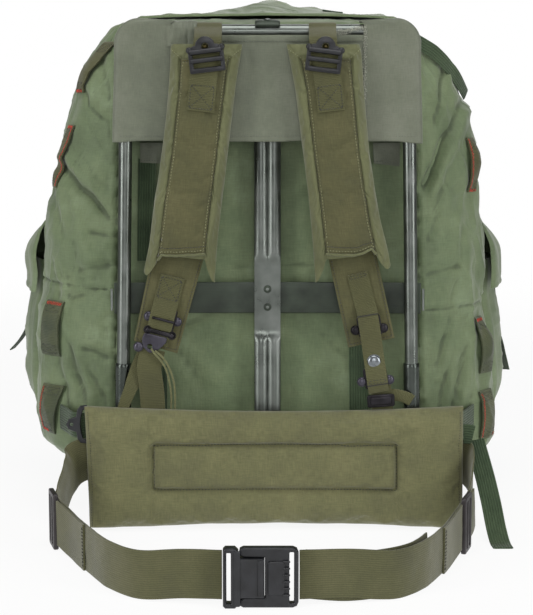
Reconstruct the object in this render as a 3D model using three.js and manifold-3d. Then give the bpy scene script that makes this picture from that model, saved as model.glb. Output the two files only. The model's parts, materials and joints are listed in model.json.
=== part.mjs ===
// External frame backpack: a large soft rucksack on an aluminium tube frame, with padded shoulder straps,
// a quilted kidney pad and a waist belt. It stands on the floor, and the belt lies on its edge in front of it.
// Millimetres, +Z up. The wearer's side faces -Y. The origin is the middle of the bag's flat bottom.
import * as THREE from 'three';
import { mergeVertices } from 'three/addons/utils/BufferGeometryUtils.js';
import Module from 'manifold-3d';

const wasm = await Module();
wasm.setup();

// Clearances
const gap = 0.3;
const softGap = 0.8;

// Frame
const frameHeight = 510;
const topTubeSpacing = 281;
const socketTubeSpacing = 294.4;
const upperTubeDiameter = 13.7;
const lowerTubeDiameter = 16.5;
const topCornerRadius = 48;
const bottomCornerRadius = 45;
const socketTopHeight = 168;
const socketDepth = 30;
const bottomBarBow = 20;
const postWidth = 27;
const postThickness = 10;
const postGrooveDepth = 3;
const postFlatLength = 64;
const crossbarMiddleHeight = 234;
const crossbarWidth = 32;
const crossbarThickness = 3;
const crossbarOverhang = 4;
const crossbarBow = 6;
const rivetDiameter = 8;
const rivetSpacing = 18.5;
const rivetHeadHeight = 1.6;

// Bag
const bagHeight = 517;
const bagHalfWidth = 250;
const bagDepth = 273;
const bagFrontPlane = 8.5;
const bagWall = 2.5;
const frontSquareness = 3.6;
const rearSquareness = 2.8;
const panelDent = 13;
const lidHalfWidth = 132;
const lidThickness = 2;
const lidHumpHeight = 18;
const lidClearance = 2.8;
const envelopeSideRoom = 4.65;
const envelopeBottom = 394;
const envelopeTop = 512.4;
const envelopeOpeningBottom = 491;
const clothThickness = 1.6;

// Lower pockets
const pocketBottom = 88;
const pocketHeight = 172;
const pocketDepth = 30;
const centerPocketDepth = 44;
const pocketWall = 2;
const flapHeight = 78;
const flapTop = 306;
const pocketStrapWidth = 19;

// Webbing
const webbingWidth = 27;
const webbingThickness = 1.6;
const beltWidth = 44.5;
const beltThickness = 2;
const keeperWidth = 26;

// Shoulder straps
const strapTop = 490;
const strapLength = 222;
const strapWidth = 67;
const strapThickness = 16;
const strapNotch = 14;
const strapTopOffset = 58;
const strapBottomOffset = 88;
const strapShift = -2;
const plateWidth = 48;
const plateThickness = 2.4;
const plateLength = 96;
const plateSpread = 25;

// Kidney pad
const padWidth = 380;
const padHeight = 126;
const padThickness = 20;
const padShift = 9;
const padBottom = 3;

// Buckles
const ladderWidth = 35;
const ladderHeight = 35;
const ladderThickness = 4;
const triGlideHeight = 56;
const triGlideLength = 30;
const triGlideThickness = 5;
const sideBuckleWidth = 54;
const sideBuckleLength = 66;
const sideBuckleThickness = 12;
const cordDiameter = 2.2;

// Derived places, with y = 0 in the plane of the side tubes
const upperTubeRadius = upperTubeDiameter / 2;
const envelopeHalfWidth = topTubeSpacing / 2 + upperTubeRadius + envelopeSideRoom;
const envelopeCornerRadius = topCornerRadius + 8;
const envelopeOpeningHalfWidth = envelopeHalfWidth - envelopeCornerRadius - 1;
const lowerTubeRadius = lowerTubeDiameter / 2;
const topBarHeight = frameHeight - upperTubeRadius;
const bottomBarHeight = lowerTubeRadius;
const halfSpacingSlope = (socketTubeSpacing - topTubeSpacing) / 2 / (topBarHeight - socketTopHeight);
const bagMiddle = bagFrontPlane + bagDepth / 2;
const envelopeFront = -(upperTubeRadius + 1 + clothThickness);
const plateBack = -(lowerTubeRadius + 1.5);
const plateFront = plateBack - plateThickness;
const strapBack = Math.min(envelopeFront - gap - webbingThickness, plateFront) - gap;
const padBack = -(lowerTubeRadius + gap + beltThickness + 0.7);
const onPlate = plateFront - gap - webbingThickness / 2;
const inPlateHardware = onPlate - webbingThickness / 2 - gap;

function sideTubeX(height) {
  return topTubeSpacing / 2 + halfSpacingSlope * (topBarHeight - height);
}

// Materials, one for each finish
function finish(name, color, roughness, metalness = 0) {
  const material = new THREE.MeshStandardMaterial({ color, roughness, metalness });
  material.name = name;
  return material;
}
const frameMetal = finish('frame_metal', 0x434a40, 0.35, 0.9);
const hardwareMetal = finish('hardware_metal', 0x2a2728, 0.4, 0.8);
const bagNylon = finish('bag_nylon', 0x66775a, 0.7);
const envelopeNylon = finish('envelope_nylon', 0x6e7466, 0.6);
const strapNylon = finish('strap_nylon', 0x6a6a45, 0.8);
const oliveWebbing = finish('olive_webbing', 0x5f6040, 0.85);
const greenWebbing = finish('green_webbing', 0x3c4a36, 0.85);
const blackPlastic = finish('black_plastic', 0x17181a, 0.45);

const backpack = new THREE.Group();
const pack = new THREE.Group();
pack.position.y = -bagMiddle;
backpack.add(pack);

function addPiece(name, geometry, material) {
  const mesh = new THREE.Mesh(geometry, material);
  mesh.name = name;
  pack.add(mesh);
  return mesh;
}

// A closed mesh from points and triangles, with its faces turned outwards
function closedMesh(points, triangles) {
  let volume = 0;
  for (const [a, b, c] of triangles) {
    volume += points[a].dot(points[b].clone().cross(points[c]));
  }
  const order = volume > 0 ? triangles : triangles.map(([a, b, c]) => [a, c, b]);
  const geometry = new THREE.BufferGeometry();
  geometry.setAttribute('position', new THREE.Float32BufferAttribute(points.flatMap((p) => p.toArray()), 3));
  geometry.setIndex(order.flat());
  return geometry;
}

// A solid through closed rings of equal count, closed at both ends by fans to the end rings' middles
function loft(rings) {
  const count = rings[0].length;
  const points = rings.flat();
  const triangles = [];
  for (let ring = 0; ring + 1 < rings.length; ring += 1) {
    for (let i = 0; i < count; i += 1) {
      const j = (i + 1) % count;
      const here = ring * count;
      const next = here + count;
      triangles.push([here + i, here + j, next + j], [here + i, next + j, next + i]);
    }
  }
  const ends = [[0, false], [rings.length - 1, true]];
  for (const [ring, last] of ends) {
    const middle = new THREE.Vector3();
    for (const point of rings[ring]) middle.addScaledVector(point, 1 / count);
    points.push(middle);
    const centre = points.length - 1;
    for (let i = 0; i < count; i += 1) {
      const a = ring * count + i;
      const b = ring * count + (i + 1) % count;
      triangles.push(last ? [a, b, centre] : [b, a, centre]);
    }
  }
  return closedMesh(points, triangles);
}

// A closed slab between two surfaces given over u and v from 0 to 1
function slab(across, along, front, back) {
  const points = [];
  const triangles = [];
  const row = across + 1;
  for (const surface of [front, back]) {
    for (let j = 0; j <= along; j += 1) {
      for (let i = 0; i <= across; i += 1) points.push(surface(i / across, j / along));
    }
  }
  const under = row * (along + 1);
  for (let j = 0; j < along; j += 1) {
    for (let i = 0; i < across; i += 1) {
      const a = j * row + i;
      triangles.push([a, a + 1, a + row + 1], [a, a + row + 1, a + row]);
      const b = under + a;
      triangles.push([b, b + row + 1, b + 1], [b, b + row, b + row + 1]);
    }
  }
  const rim = [];
  for (let i = 0; i < across; i += 1) rim.push(i);
  for (let j = 0; j < along; j += 1) rim.push(j * row + across);
  for (let i = across; i > 0; i -= 1) rim.push(along * row + i);
  for (let j = along; j > 0; j -= 1) rim.push(j * row);
  rim.forEach((a, k) => {
    const b = rim[(k + 1) % rim.length];
    triangles.push([a, under + b, b], [a, under + a, under + b]);
  });
  return closedMesh(points, triangles);
}

// A flat strap along a path, its width turned towards a hint
function ribbon(places, width, thickness, hint) {
  const rings = places.map((place, i) => {
    const before = places[Math.max(0, i - 1)].at;
    const after = places[Math.min(places.length - 1, i + 1)].at;
    const tangent = after.clone().sub(before).normalize();
    const wide = (place.hint ?? hint).clone();
    wide.addScaledVector(tangent, -wide.dot(tangent)).normalize();
    const normal = tangent.clone().cross(wide);
    const half = (place.width ?? width) / 2;
    const corner = (w, n) => {
      const side = place.at.clone().addScaledVector(wide, w * half);
      return side.addScaledVector(normal, n * thickness / 2);
    };
    return [corner(-1, -1), corner(1, -1), corner(1, 1), corner(-1, 1)];
  });
  return loft(rings);
}

function at(x, y, z) {
  return new THREE.Vector3(x, y, z);
}

function places(points) {
  return points.map(([x, y, z]) => ({ at: at(x, y, z) }));
}

const sideways = at(1, 0, 0);
const upright = at(0, 0, 1);

// A path that gives its own points back, for a tube with more sections in its bends
class PointPath extends THREE.Curve {
  constructor(points) {
    super();
    this.points = points;
  }
  getPoint(t) {
    const last = this.points.length - 1;
    const i = Math.min(last - 1, Math.floor(t * last + 1e-6));
    return this.points[i].clone().lerp(this.points[i + 1], t * last - i);
  }
  getPointAt(t) {
    return this.getPoint(t);
  }
  getTangentAt(t) {
    const last = this.points.length - 1;
    const i = Math.round(t * last);
    const before = this.points[Math.max(0, i - 1)];
    const after = this.points[Math.min(last, i + 1)];
    return after.clone().sub(before).normalize();
  }
}

function roundSection(radius, sides) {
  const shape = new THREE.Shape();
  for (let i = 0; i <= sides; i += 1) {
    const angle = (i / sides) * 2 * Math.PI;
    const x = radius * Math.cos(angle);
    const y = radius * Math.sin(angle);
    if (i === 0) shape.moveTo(x, y);
    else shape.lineTo(x, y);
  }
  return shape;
}

function tube(points, radius, sides) {
  const extrudePath = new PointPath(points);
  const steps = points.length - 1;
  return new THREE.ExtrudeGeometry(roundSection(radius, sides), { steps, extrudePath, bevelEnabled: false });
}

// Joining and cutting
function toSolid(geometry) {
  const bare = geometry.clone();
  bare.deleteAttribute('normal');
  bare.deleteAttribute('uv');
  const merged = mergeVertices(bare, 1e-4);
  const mesh = new wasm.Mesh({
    numProp: 3,
    vertProperties: new Float32Array(merged.attributes.position.array),
    triVerts: new Uint32Array(merged.index.array),
  });
  return new wasm.Manifold(mesh);
}

function fromSolid(manifold) {
  const { vertProperties, triVerts } = manifold.getMesh();
  const geometry = new THREE.BufferGeometry();
  geometry.setAttribute('position', new THREE.Float32BufferAttribute(vertProperties, 3));
  geometry.setIndex(Array.from(triVerts));
  return geometry;
}

// Frame tubes: an upper bow whose ends sit in the sockets of a lower bow
function arc(centre, radius, from, to, steps) {
  const points = [];
  for (let i = 0; i <= steps; i += 1) {
    const angle = THREE.MathUtils.degToRad(from + (to - from) * i / steps);
    points.push(at(centre.x + radius * Math.cos(angle), centre.y, centre.z + radius * Math.sin(angle)));
  }
  return points;
}

function upperFramePath() {
  const foot = socketTopHeight - socketDepth;
  const cornerX = sideTubeX(topBarHeight - topCornerRadius) - topCornerRadius;
  const cornerZ = topBarHeight - topCornerRadius;
  return [
    at(-sideTubeX(foot), 0, foot),
    at(-sideTubeX(crossbarMiddleHeight), 0, crossbarMiddleHeight),
    ...arc(at(-cornerX, 0, cornerZ), topCornerRadius, 180, 90, 6),
    ...arc(at(cornerX, 0, cornerZ), topCornerRadius, 90, 0, 6),
    at(sideTubeX(crossbarMiddleHeight), 0, crossbarMiddleHeight),
    at(sideTubeX(foot), 0, foot),
  ];
}

function bottomBarY(x) {
  const reach = sideTubeX(0) - bottomCornerRadius;
  return bottomBarBow * Math.max(0, 1 - (x / reach) ** 2);
}

function lowerFramePath() {
  const corner = bottomBarHeight + bottomCornerRadius;
  const cornerX = sideTubeX(corner) - bottomCornerRadius;
  const bar = [];
  const barSteps = 8;
  for (let i = 1; i < barSteps; i += 1) {
    const x = cornerX * (2 * i / barSteps - 1);
    bar.push(at(x, bottomBarY(x), bottomBarHeight));
  }
  return [
    at(-sideTubeX(socketTopHeight), 0, socketTopHeight),
    at(-sideTubeX(socketTopHeight / 2), 0, socketTopHeight / 2),
    ...arc(at(-cornerX, 0, corner), bottomCornerRadius, 180, 270, 6),
    ...bar,
    ...arc(at(cornerX, 0, corner), bottomCornerRadius, 270, 360, 6),
    at(sideTubeX(socketTopHeight / 2), 0, socketTopHeight / 2),
    at(sideTubeX(socketTopHeight), 0, socketTopHeight),
  ];
}

function makeFrame() {
  const tubeSides = 10;
  addPiece('upper_frame_tube', tube(upperFramePath(), upperTubeRadius, tubeSides), frameMetal);
  let lower = toSolid(tube(lowerFramePath(), lowerTubeRadius, tubeSides));
  for (const side of [-1, 1]) {
    const foot = socketTopHeight - socketDepth - gap;
    const above = socketTopHeight + 5;
    const bore = [at(side * sideTubeX(foot), 0, foot), at(side * sideTubeX(above), 0, above)];
    lower = lower.subtract(toSolid(tube(bore, upperTubeRadius + gap, tubeSides)));
  }
  addPiece('lower_frame_tube', fromSolid(lower), frameMetal);
}

// Centre post: two rounded lobes with a groove between, flattened where the crossbar is riveted on
const crossbarEndY = upperTubeRadius + gap;
const postFlatThickness = 4;

function crossbarFrontY(x) {
  const reach = sideTubeX(crossbarMiddleHeight);
  return crossbarEndY + crossbarBow * (1 - (x / reach) ** 2);
}

function postY(height) {
  const middle = crossbarFrontY(0) - gap - postFlatThickness / 2;
  const bottom = bottomBarY(0) - lowerTubeRadius - gap - postThickness / 2;
  const flatTop = crossbarMiddleHeight + postFlatLength / 2;
  if (height > flatTop) {
    const top = upperTubeRadius + gap + postFlatThickness / 2;
    const share = (height - flatTop) / (topBarHeight - flatTop);
    return THREE.MathUtils.lerp(middle, top, share);
  }
  const share = Math.max(0, (crossbarMiddleHeight - postFlatLength / 2 - height))
    / (crossbarMiddleHeight - postFlatLength / 2 - bottomBarHeight);
  return THREE.MathUtils.lerp(middle, bottom, share);
}

function postSection(height, width, thickness, groove, y) {
  const half = width / 2;
  const lobes = [
    [-1, 0], [-0.88, -0.6], [-0.5, -1], [-0.12, -0.6], [0, -0.6 + groove / thickness],
    [0.12, -0.6], [0.5, -1], [0.88, -0.6], [1, 0], [0.88, 0.7], [0.5, 1], [-0.5, 1], [-0.88, 0.7],
  ];
  return lobes.map(([x, depth]) => at(x * half, y + depth * thickness / 2, height));
}

function makePost() {
  const flatTop = crossbarMiddleHeight + postFlatLength / 2;
  const flatBottom = crossbarMiddleHeight - postFlatLength / 2;
  const blend = 9;
  const heights = [
    [bottomBarHeight - 4, 1], [flatBottom - blend, 1], [flatBottom, 0], [flatTop, 0], [flatTop + blend, 1],
    [THREE.MathUtils.lerp(flatTop, topBarHeight, 0.5), 1], [topBarHeight - 26, 1], [topBarHeight - 12, 0.35],
    [topBarHeight, 0],
  ];
  const rings = heights.map(([height, round]) => {
    const thickness = THREE.MathUtils.lerp(postFlatThickness, postThickness, round);
    const groove = postGrooveDepth * round;
    return postSection(height, postWidth, thickness, groove, postY(height));
  });
  const shank = toSolid(loft(rings));
  // The post's end is a plate wrapped over the top bar
  const wrap = [];
  const wrapRadius = upperTubeRadius + gap + postFlatThickness / 2;
  for (const angle of [-8, 20, 50, 80, 110, 140]) {
    const turn = THREE.MathUtils.degToRad(angle);
    const y = wrapRadius * Math.cos(turn);
    const z = topBarHeight + wrapRadius * Math.sin(turn);
    wrap.push({ at: at(0, y, z) });
  }
  const cap = toSolid(ribbon(wrap, postWidth - 2, postFlatThickness, sideways));
  addPiece('center_post', fromSolid(shank.add(cap)), frameMetal);
}

function makeCrossbar() {
  const reach = sideTubeX(crossbarMiddleHeight) + upperTubeRadius + crossbarOverhang;
  const steps = 10;
  const bar = [];
  for (let i = 0; i <= steps; i += 1) {
    const x = reach * (2 * i / steps - 1);
    bar.push({ at: at(x, crossbarFrontY(x) + crossbarThickness / 2, crossbarMiddleHeight) });
  }
  addPiece('crossbar', ribbon(bar, crossbarWidth, crossbarThickness, upright), frameMetal);
}

function makeRivet(name, height) {
  const radius = rivetDiameter / 2;
  const profile = [
    new THREE.Vector2(0, 0), new THREE.Vector2(radius, 0),
    new THREE.Vector2(radius * 0.85, rivetHeadHeight * 0.6), new THREE.Vector2(0, rivetHeadHeight),
  ];
  const rivet = addPiece(name, new THREE.LatheGeometry(profile, 12), frameMetal);
  rivet.rotation.x = Math.PI;
  rivet.position.set(0, postY(height) - postFlatThickness / 2 - gap, height);
}

// Bag sections from the bottom up. Heights are shares of the bag's height, left and right of its half width,
// front and rear of its depth behind the front plane.
const bagSections = [
  { height: 0, left: 0.52, right: 0.504, front: 0.12, rear: 0.825 },
  { height: 0.027, left: 0.664, right: 0.64, front: 0.06, rear: 0.891 },
  { height: 0.062, left: 0.768, right: 0.76, front: 0.025, rear: 0.935 },
  { height: 0.097, left: 0.852, right: 0.888, front: 0.01, rear: 0.964 },
  { height: 0.147, left: 0.984, right: 0.984, front: 0.002, rear: 0.986 },
  { height: 0.217, left: 1, right: 0.98, front: 0, rear: 0.996 },
  { height: 0.31, left: 1, right: 0.964, front: 0, rear: 1 },
  { height: 0.387, left: 0.988, right: 0.952, front: 0, rear: 0.996 },
  { height: 0.464, left: 0.972, right: 0.936, front: 0, rear: 0.989 },
  { height: 0.561, left: 0.956, right: 0.916, front: 0, rear: 0.974 },
  { height: 0.658, left: 0.92, right: 0.9, front: 0, rear: 0.956 },
  { height: 0.735, left: 0.888, right: 0.88, front: 0, rear: 0.934 },
  { height: 0.812, left: 0.836, right: 0.848, front: 0.003, rear: 0.905 },
  { height: 0.87, left: 0.8, right: 0.788, front: 0.006, rear: 0.868 },
  { height: 0.928, left: 0.736, right: 0.708, front: 0.014, rear: 0.817 },
  { height: 0.967, left: 0.672, right: 0.64, front: 0.03, rear: 0.758 },
  { height: 0.99, left: 0.608, right: 0.584, front: 0.062, rear: 0.692 },
  { height: 1, left: 0.488, right: 0.472, front: 0.17, rear: 0.6 },
];

// The bag's main folds: soft hollows round its sides. Turn is in degrees, 0 at the right, 90 at the rear and
// -90 at the wearer's side, height is a share of the bag's height, slope rises with each degree.
const bagFolds = [
  { turn: 190, height: 0.46, depth: 5, spread: 42, width: 0.05, slope: 0.0006 },
  { turn: 215, height: 0.27, depth: 4, spread: 30, width: 0.05, slope: -0.0012 },
  { turn: 185, height: 0.72, depth: 4, spread: 34, width: 0.05, slope: 0.0015 },
  { turn: -12, height: 0.41, depth: 5, spread: 42, width: 0.05, slope: 0.0007 },
  { turn: -30, height: 0.65, depth: 4, spread: 30, width: 0.06, slope: -0.0014 },
  { turn: 90, height: 0.6, depth: 5, spread: 50, width: 0.06, slope: 0 },
  { turn: 130, height: 0.78, depth: 4, spread: 25, width: 0.05, slope: 0.001 },
  { turn: 50, height: 0.8, depth: 4, spread: 25, width: 0.05, slope: -0.001 },
];

function bagSection(height) {
  const share = THREE.MathUtils.clamp(height / bagHeight, 0, 1);
  let i = 0;
  while (i + 2 < bagSections.length && bagSections[i + 1].height < share) i += 1;
  const below = bagSections[i];
  const above = bagSections[i + 1];
  const t = (share - below.height) / (above.height - below.height);
  const left = THREE.MathUtils.lerp(below.left, above.left, t) * bagHalfWidth;
  const right = THREE.MathUtils.lerp(below.right, above.right, t) * bagHalfWidth;
  const front = bagFrontPlane + THREE.MathUtils.lerp(below.front, above.front, t) * bagDepth;
  const rear = bagFrontPlane + THREE.MathUtils.lerp(below.rear, above.rear, t) * bagDepth;
  return {
    middleX: (right - left) / 2,
    halfX: (right + left) / 2,
    middleY: (front + rear) / 2,
    halfY: (rear - front) / 2,
  };
}

function foldScale(turn, height, halfX) {
  let hollow = 0;
  for (const fold of bagFolds) {
    let away = turn - fold.turn;
    away -= 360 * Math.round(away / 360);
    const rise = height / bagHeight - fold.height - fold.slope * away;
    hollow += fold.depth * Math.exp(-((away / fold.spread) ** 2) - (rise / fold.width) ** 2);
  }
  return 1 - hollow / halfX;
}

// How far the frame pushes the bag's back panel in, across the width between the side tubes
function panelPush(x, height) {
  const atBottom = THREE.MathUtils.smoothstep(height, 0, 60);
  const atTop = 1 - 0.7 * THREE.MathUtils.smoothstep(height, 400, 505);
  return panelDent * Math.max(0, 1 - (x / sideTubeX(height)) ** 2) * atBottom * atTop;
}

function bagPoint(turn, height, inset = 0) {
  const { middleX, halfX, middleY, halfY } = bagSection(height);
  const angle = THREE.MathUtils.degToRad(turn);
  const power = 2 / (Math.sin(angle) < 0 ? frontSquareness : rearSquareness);
  const scale = foldScale(turn, height, halfX);
  const shareX = Math.sign(Math.cos(angle)) * Math.abs(Math.cos(angle)) ** power;
  const x = middleX + shareX * (halfX * scale - inset);
  const reachY = halfY * scale - inset;
  let y = middleY + Math.sign(Math.sin(angle)) * Math.abs(Math.sin(angle)) ** power * reachY;
  if (y < middleY) y += panelPush(x, height) * (middleY - y) / reachY;
  return at(x, y, height);
}

// The bag's surface met from a point inside it along a direction
function bagTurnAt(x, y, section) {
  const side = y < section.middleY ? frontSquareness : rearSquareness;
  const shareX = (x - section.middleX) / section.halfX;
  const shareY = (y - section.middleY) / section.halfY;
  const radius = (Math.abs(shareX) ** side + Math.abs(shareY) ** side) ** (1 / side);
  const power = side / 2;
  const cos = Math.sign(shareX) * Math.abs(shareX / radius) ** power;
  const sin = Math.sign(shareY) * Math.abs(shareY / radius) ** power;
  return { radius, turn: THREE.MathUtils.radToDeg(Math.atan2(sin, cos)) };
}

function bagField(point) {
  const section = bagSection(point.z);
  let y = point.y;
  if (y < section.middleY) {
    const push = panelPush(point.x, point.z);
    y = (y - push * section.middleY / section.halfY) / (1 - push / section.halfY);
  }
  const { radius, turn } = bagTurnAt(point.x, y, section);
  const overSide = (radius - foldScale(turn, point.z, section.halfX)) * section.halfY;
  return Math.max(overSide, point.z - bagHeight, -point.z);
}

function bagNormal(point) {
  const reach = 3;
  const slope = [at(reach, 0, 0), at(0, reach, 0), at(0, 0, reach)].map((way) => (
    bagField(point.clone().add(way)) - bagField(point.clone().sub(way))
  ));
  return at(...slope).normalize();
}

function onBag(from, direction, outside = 0) {
  const way = direction.clone().normalize();
  let near = 0;
  let far = 500;
  for (let i = 0; i < 24; i += 1) {
    const middle = (near + far) / 2;
    if (bagField(from.clone().addScaledVector(way, middle)) < 0) near = middle;
    else far = middle;
  }
  const point = from.clone().addScaledVector(way, far);
  return point.addScaledVector(bagNormal(point), outside);
}

function makeBag() {
  const around = 32;
  const rings = [];
  const outerHeights = bagSections.map((row) => row.height * bagHeight);
  for (const height of outerHeights) {
    rings.push(Array.from({ length: around }, (_, i) => bagPoint(360 * i / around, height)));
  }
  const mouth = bagHeight - 0.1;
  const innerHeights = outerHeights.slice(1, -1).filter((height, i) => i % 2 === 0);
  innerHeights.push(mouth);
  for (const height of innerHeights.reverse()) {
    rings.push(Array.from({ length: around }, (_, i) => bagPoint(360 * i / around, height, bagWall)));
  }
  rings.push(rings[0].map((point) => at(point.x * 0.97, (point.y - bagMiddle) * 0.97 + bagMiddle, bagWall)));
  addPiece('bag_body', loft(rings), bagNylon);
}

// The lid is sewn along the bag's front top edge, covers the mouth and hangs down the rear
const lidSwells = [
  { x: -0.32, spread: 0.2, share: 0.35 },
  { x: 0.03, spread: 0.22, share: 1 },
  { x: 0.39, spread: 0.15, share: 0.45 },
];
const lidStart = 118;
const lidEnd = 8;

function lidPoint(u, v, outside) {
  const x = lidHalfWidth * (2 * u - 1);
  const degrees = THREE.MathUtils.lerp(lidStart, lidEnd, v);
  const turn = THREE.MathUtils.degToRad(degrees);
  const from = at(x * 0.9, bagMiddle - 20, bagHeight * 0.74);
  const direction = at(x * 0.1 / 140, Math.cos(turn), Math.sin(turn));
  let swell = 0;
  for (const row of lidSwells) {
    const away = (x / lidHalfWidth - row.x) / row.spread;
    swell += row.share * Math.exp(-(away ** 2));
  }
  const onTop = Math.exp(-(((degrees - 78) / 24) ** 2));
  return onBag(from, direction, outside + lidHumpHeight * swell * onTop);
}

function makeLid() {
  const outer = (u, v) => lidPoint(u, v, lidClearance + lidThickness);
  const inner = (u, v) => lidPoint(u, v, lidClearance);
  addPiece('bag_lid', slab(10, 13, outer, inner), bagNylon);
}

// The envelope over the frame's top: a front panel and a rim that reaches back to the bag
function envelopeRimPath(side) {
  const x = envelopeHalfWidth;
  const radius = envelopeCornerRadius;
  const path = [[x, envelopeBottom], [x, envelopeTop - radius]];
  for (const angle of [15, 30, 45, 60, 75, 90]) {
    const turn = THREE.MathUtils.degToRad(angle);
    path.push([x - radius + radius * Math.cos(turn), envelopeTop - radius + radius * Math.sin(turn)]);
  }
  path.push([envelopeOpeningHalfWidth, envelopeTop]);
  return path.map(([px, pz]) => [side * px, pz]);
}

function makeEnvelope() {
  const outline = new THREE.Shape();
  const right = envelopeRimPath(1);
  const left = envelopeRimPath(-1).reverse();
  outline.moveTo(...right[0]);
  for (const [x, z] of right.slice(1)) outline.lineTo(x, z);
  outline.lineTo(envelopeOpeningHalfWidth, envelopeOpeningBottom);
  outline.lineTo(-envelopeOpeningHalfWidth, envelopeOpeningBottom);
  for (const [x, z] of left) outline.lineTo(x, z);
  const panel = new THREE.ExtrudeGeometry(outline, { depth: clothThickness, bevelEnabled: false });
  panel.rotateX(Math.PI / 2);
  panel.translate(0, envelopeFront + clothThickness, 0);
  let whole = toSolid(panel);
  for (const side of [-1, 1]) {
    const path = envelopeRimPath(side);
    const middle = at(0, 0, envelopeBottom + 40);
    const rim = (depth) => (u, v) => {
      const place = u * (path.length - 1);
      const i = Math.min(path.length - 2, Math.floor(place));
      const x = THREE.MathUtils.lerp(path[i][0], path[i + 1][0], place - i);
      const z = THREE.MathUtils.lerp(path[i][1], path[i + 1][1], place - i);
      const inward = at(middle.x - x, 0, middle.z - z).normalize().multiplyScalar(depth);
      const rear = bagFrontY(x * 0.95, Math.min(z, bagHeight * 0.975)) - gap - softGap;
      return at(x + inward.x, THREE.MathUtils.lerp(envelopeFront, rear, v), z + inward.z);
    };
    whole = whole.add(toSolid(slab(path.length - 1, 1, rim(0), rim(clothThickness))));
  }
  addPiece('frame_pocket', fromSolid(whole), envelopeNylon);
}

function bagFrontY(x, height) {
  const { middleY } = bagSection(height);
  return onBag(at(x, middleY, height), at(0, -1, 0)).y;
}

// Lower pockets: each is a wall of cloth swelling from the bag, closed at the bottom and sides, under a flap
function outsideBag(turn, height, out) {
  const base = bagPoint(turn, height);
  const away = at(base.x, base.y - bagMiddle, 0).normalize();
  const ahead = bagPoint(turn + 1, height);
  const behind = bagPoint(turn - 1, height);
  const normal = ahead.sub(behind).cross(upright).normalize();
  if (normal.dot(away) < 0) normal.negate();
  return base.addScaledVector(normal, out);
}

const pocketRows = [
  { name: 'left_pocket', turn: 158, spread: 46, depth: pocketDepth, top: flapTop },
  { name: 'right_pocket', turn: 22, spread: 46, depth: pocketDepth, top: flapTop },
  { name: 'center_pocket', turn: 90, spread: 38, depth: centerPocketDepth, top: flapTop },
];

function pocketSwell(u) {
  return Math.sin(Math.PI * THREE.MathUtils.clamp(u, 0, 1)) ** 0.45;
}

function pocketRise(v) {
  return Math.sin(Math.min(1, v / 0.3) * Math.PI / 2) ** 0.8 * (1 - 0.12 * v);
}

function makePocket(row) {
  const clear = softGap + gap / 2;
  const wall = (thick) => (u, v) => {
    const turn = row.turn + row.spread * (u - 0.5);
    const height = pocketBottom + pocketHeight * v;
    return outsideBag(turn, height, clear + thick + row.depth * pocketSwell(u) * pocketRise(v));
  };
  addPiece(row.name, slab(10, 6, wall(pocketWall), wall(0)), bagNylon);
  const flapSpread = row.spread + 4;
  const flap = (thick) => (u, v) => {
    const turn = row.turn + flapSpread * (u - 0.5);
    const height = row.top - flapHeight * v;
    const fall = Math.sin(Math.min(1, v / 0.55) * Math.PI / 2);
    const out = (row.depth + pocketWall + softGap + 3) * pocketSwell(u * 0.96 + 0.02) * fall;
    return outsideBag(turn, height, clear + gap + thick + out);
  };
  addPiece(`${row.name}_flap`, slab(8, 4, flap(pocketWall), flap(0)), bagNylon);
}

// A pocket's closing strap: from the flap's edge down the pocket's face, ending in a free tail
const pocketStrapRows = [
  { name: 'left_pocket_strap', pocket: 0, tail: [[-6, -6, -24], [-20, 0, -46], [-27, 4, -54]], width: 0.7 },
  { name: 'right_pocket_strap', pocket: 1, tail: [[3, -4, -26], [10, -6, -52], [16, -8, -76]], width: 1 },
  { name: 'center_pocket_strap', pocket: 2, tail: [[0, 2, -26], [0, 4, -60]], width: 1 },
];

function makePocketStrap(row) {
  const pocket = pocketRows[row.pocket];
  const onFlap = pocket.depth + pocketWall + softGap + 3 + softGap + pocketWall + gap + webbingThickness;
  const lead = [0.5, 0.85, 1].map((v) => {
    const height = pocket.top - flapHeight * v;
    return outsideBag(pocket.turn, height, onFlap + 0.4);
  });
  const edge = lead[lead.length - 1];
  const under = outsideBag(pocket.turn, edge.z - 30, onFlap + 0.2);
  const tail = row.tail.map(([x, y, z]) => under.clone().add(at(x, y, z)));
  const path = [...lead, under, ...tail].map((point) => ({ at: point }));
  const outward = at(lead[1].x, lead[1].y - bagMiddle, 0).normalize();
  const across = outward.clone().cross(upright);
  addPiece(row.name, ribbon(path, pocketStrapWidth * row.width, webbingThickness, across), greenWebbing);
}

// Keepers and straps sewn on the bag: each lies on the surface and stands off a little in its middle
const tabRows = [
  { name: 'upper_left_tab', turn: 208, top: 0.955, bottom: 0.855, lean: -8, bow: 5, width: 20, lift: 0 },
  { name: 'left_tab', turn: 203, top: 0.79, bottom: 0.665, lean: -2, bow: 4, width: 14, lift: 0 },
  { name: 'mid_left_tab', turn: 206, top: 0.437, bottom: 0.325, lean: 0, bow: 4, width: keeperWidth, lift: -0.4 },
  { name: 'bottom_left_tab', turn: 206, top: 0.26, bottom: 0.165, lean: 0, bow: 4, width: 22, lift: 0 },
  { name: 'right_tab', turn: -22, top: 0.765, bottom: 0.655, lean: 2, bow: 4, width: 14, lift: 0 },
  { name: 'mid_right_tab', turn: -24, top: 0.4, bottom: 0.285, lean: 1, bow: 5, width: 20, lift: 0 },
  { name: 'bottom_right_tab', turn: -26, top: 0.25, bottom: 0.15, lean: 1, bow: 4, width: keeperWidth, lift: -0.5 },
];

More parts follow.
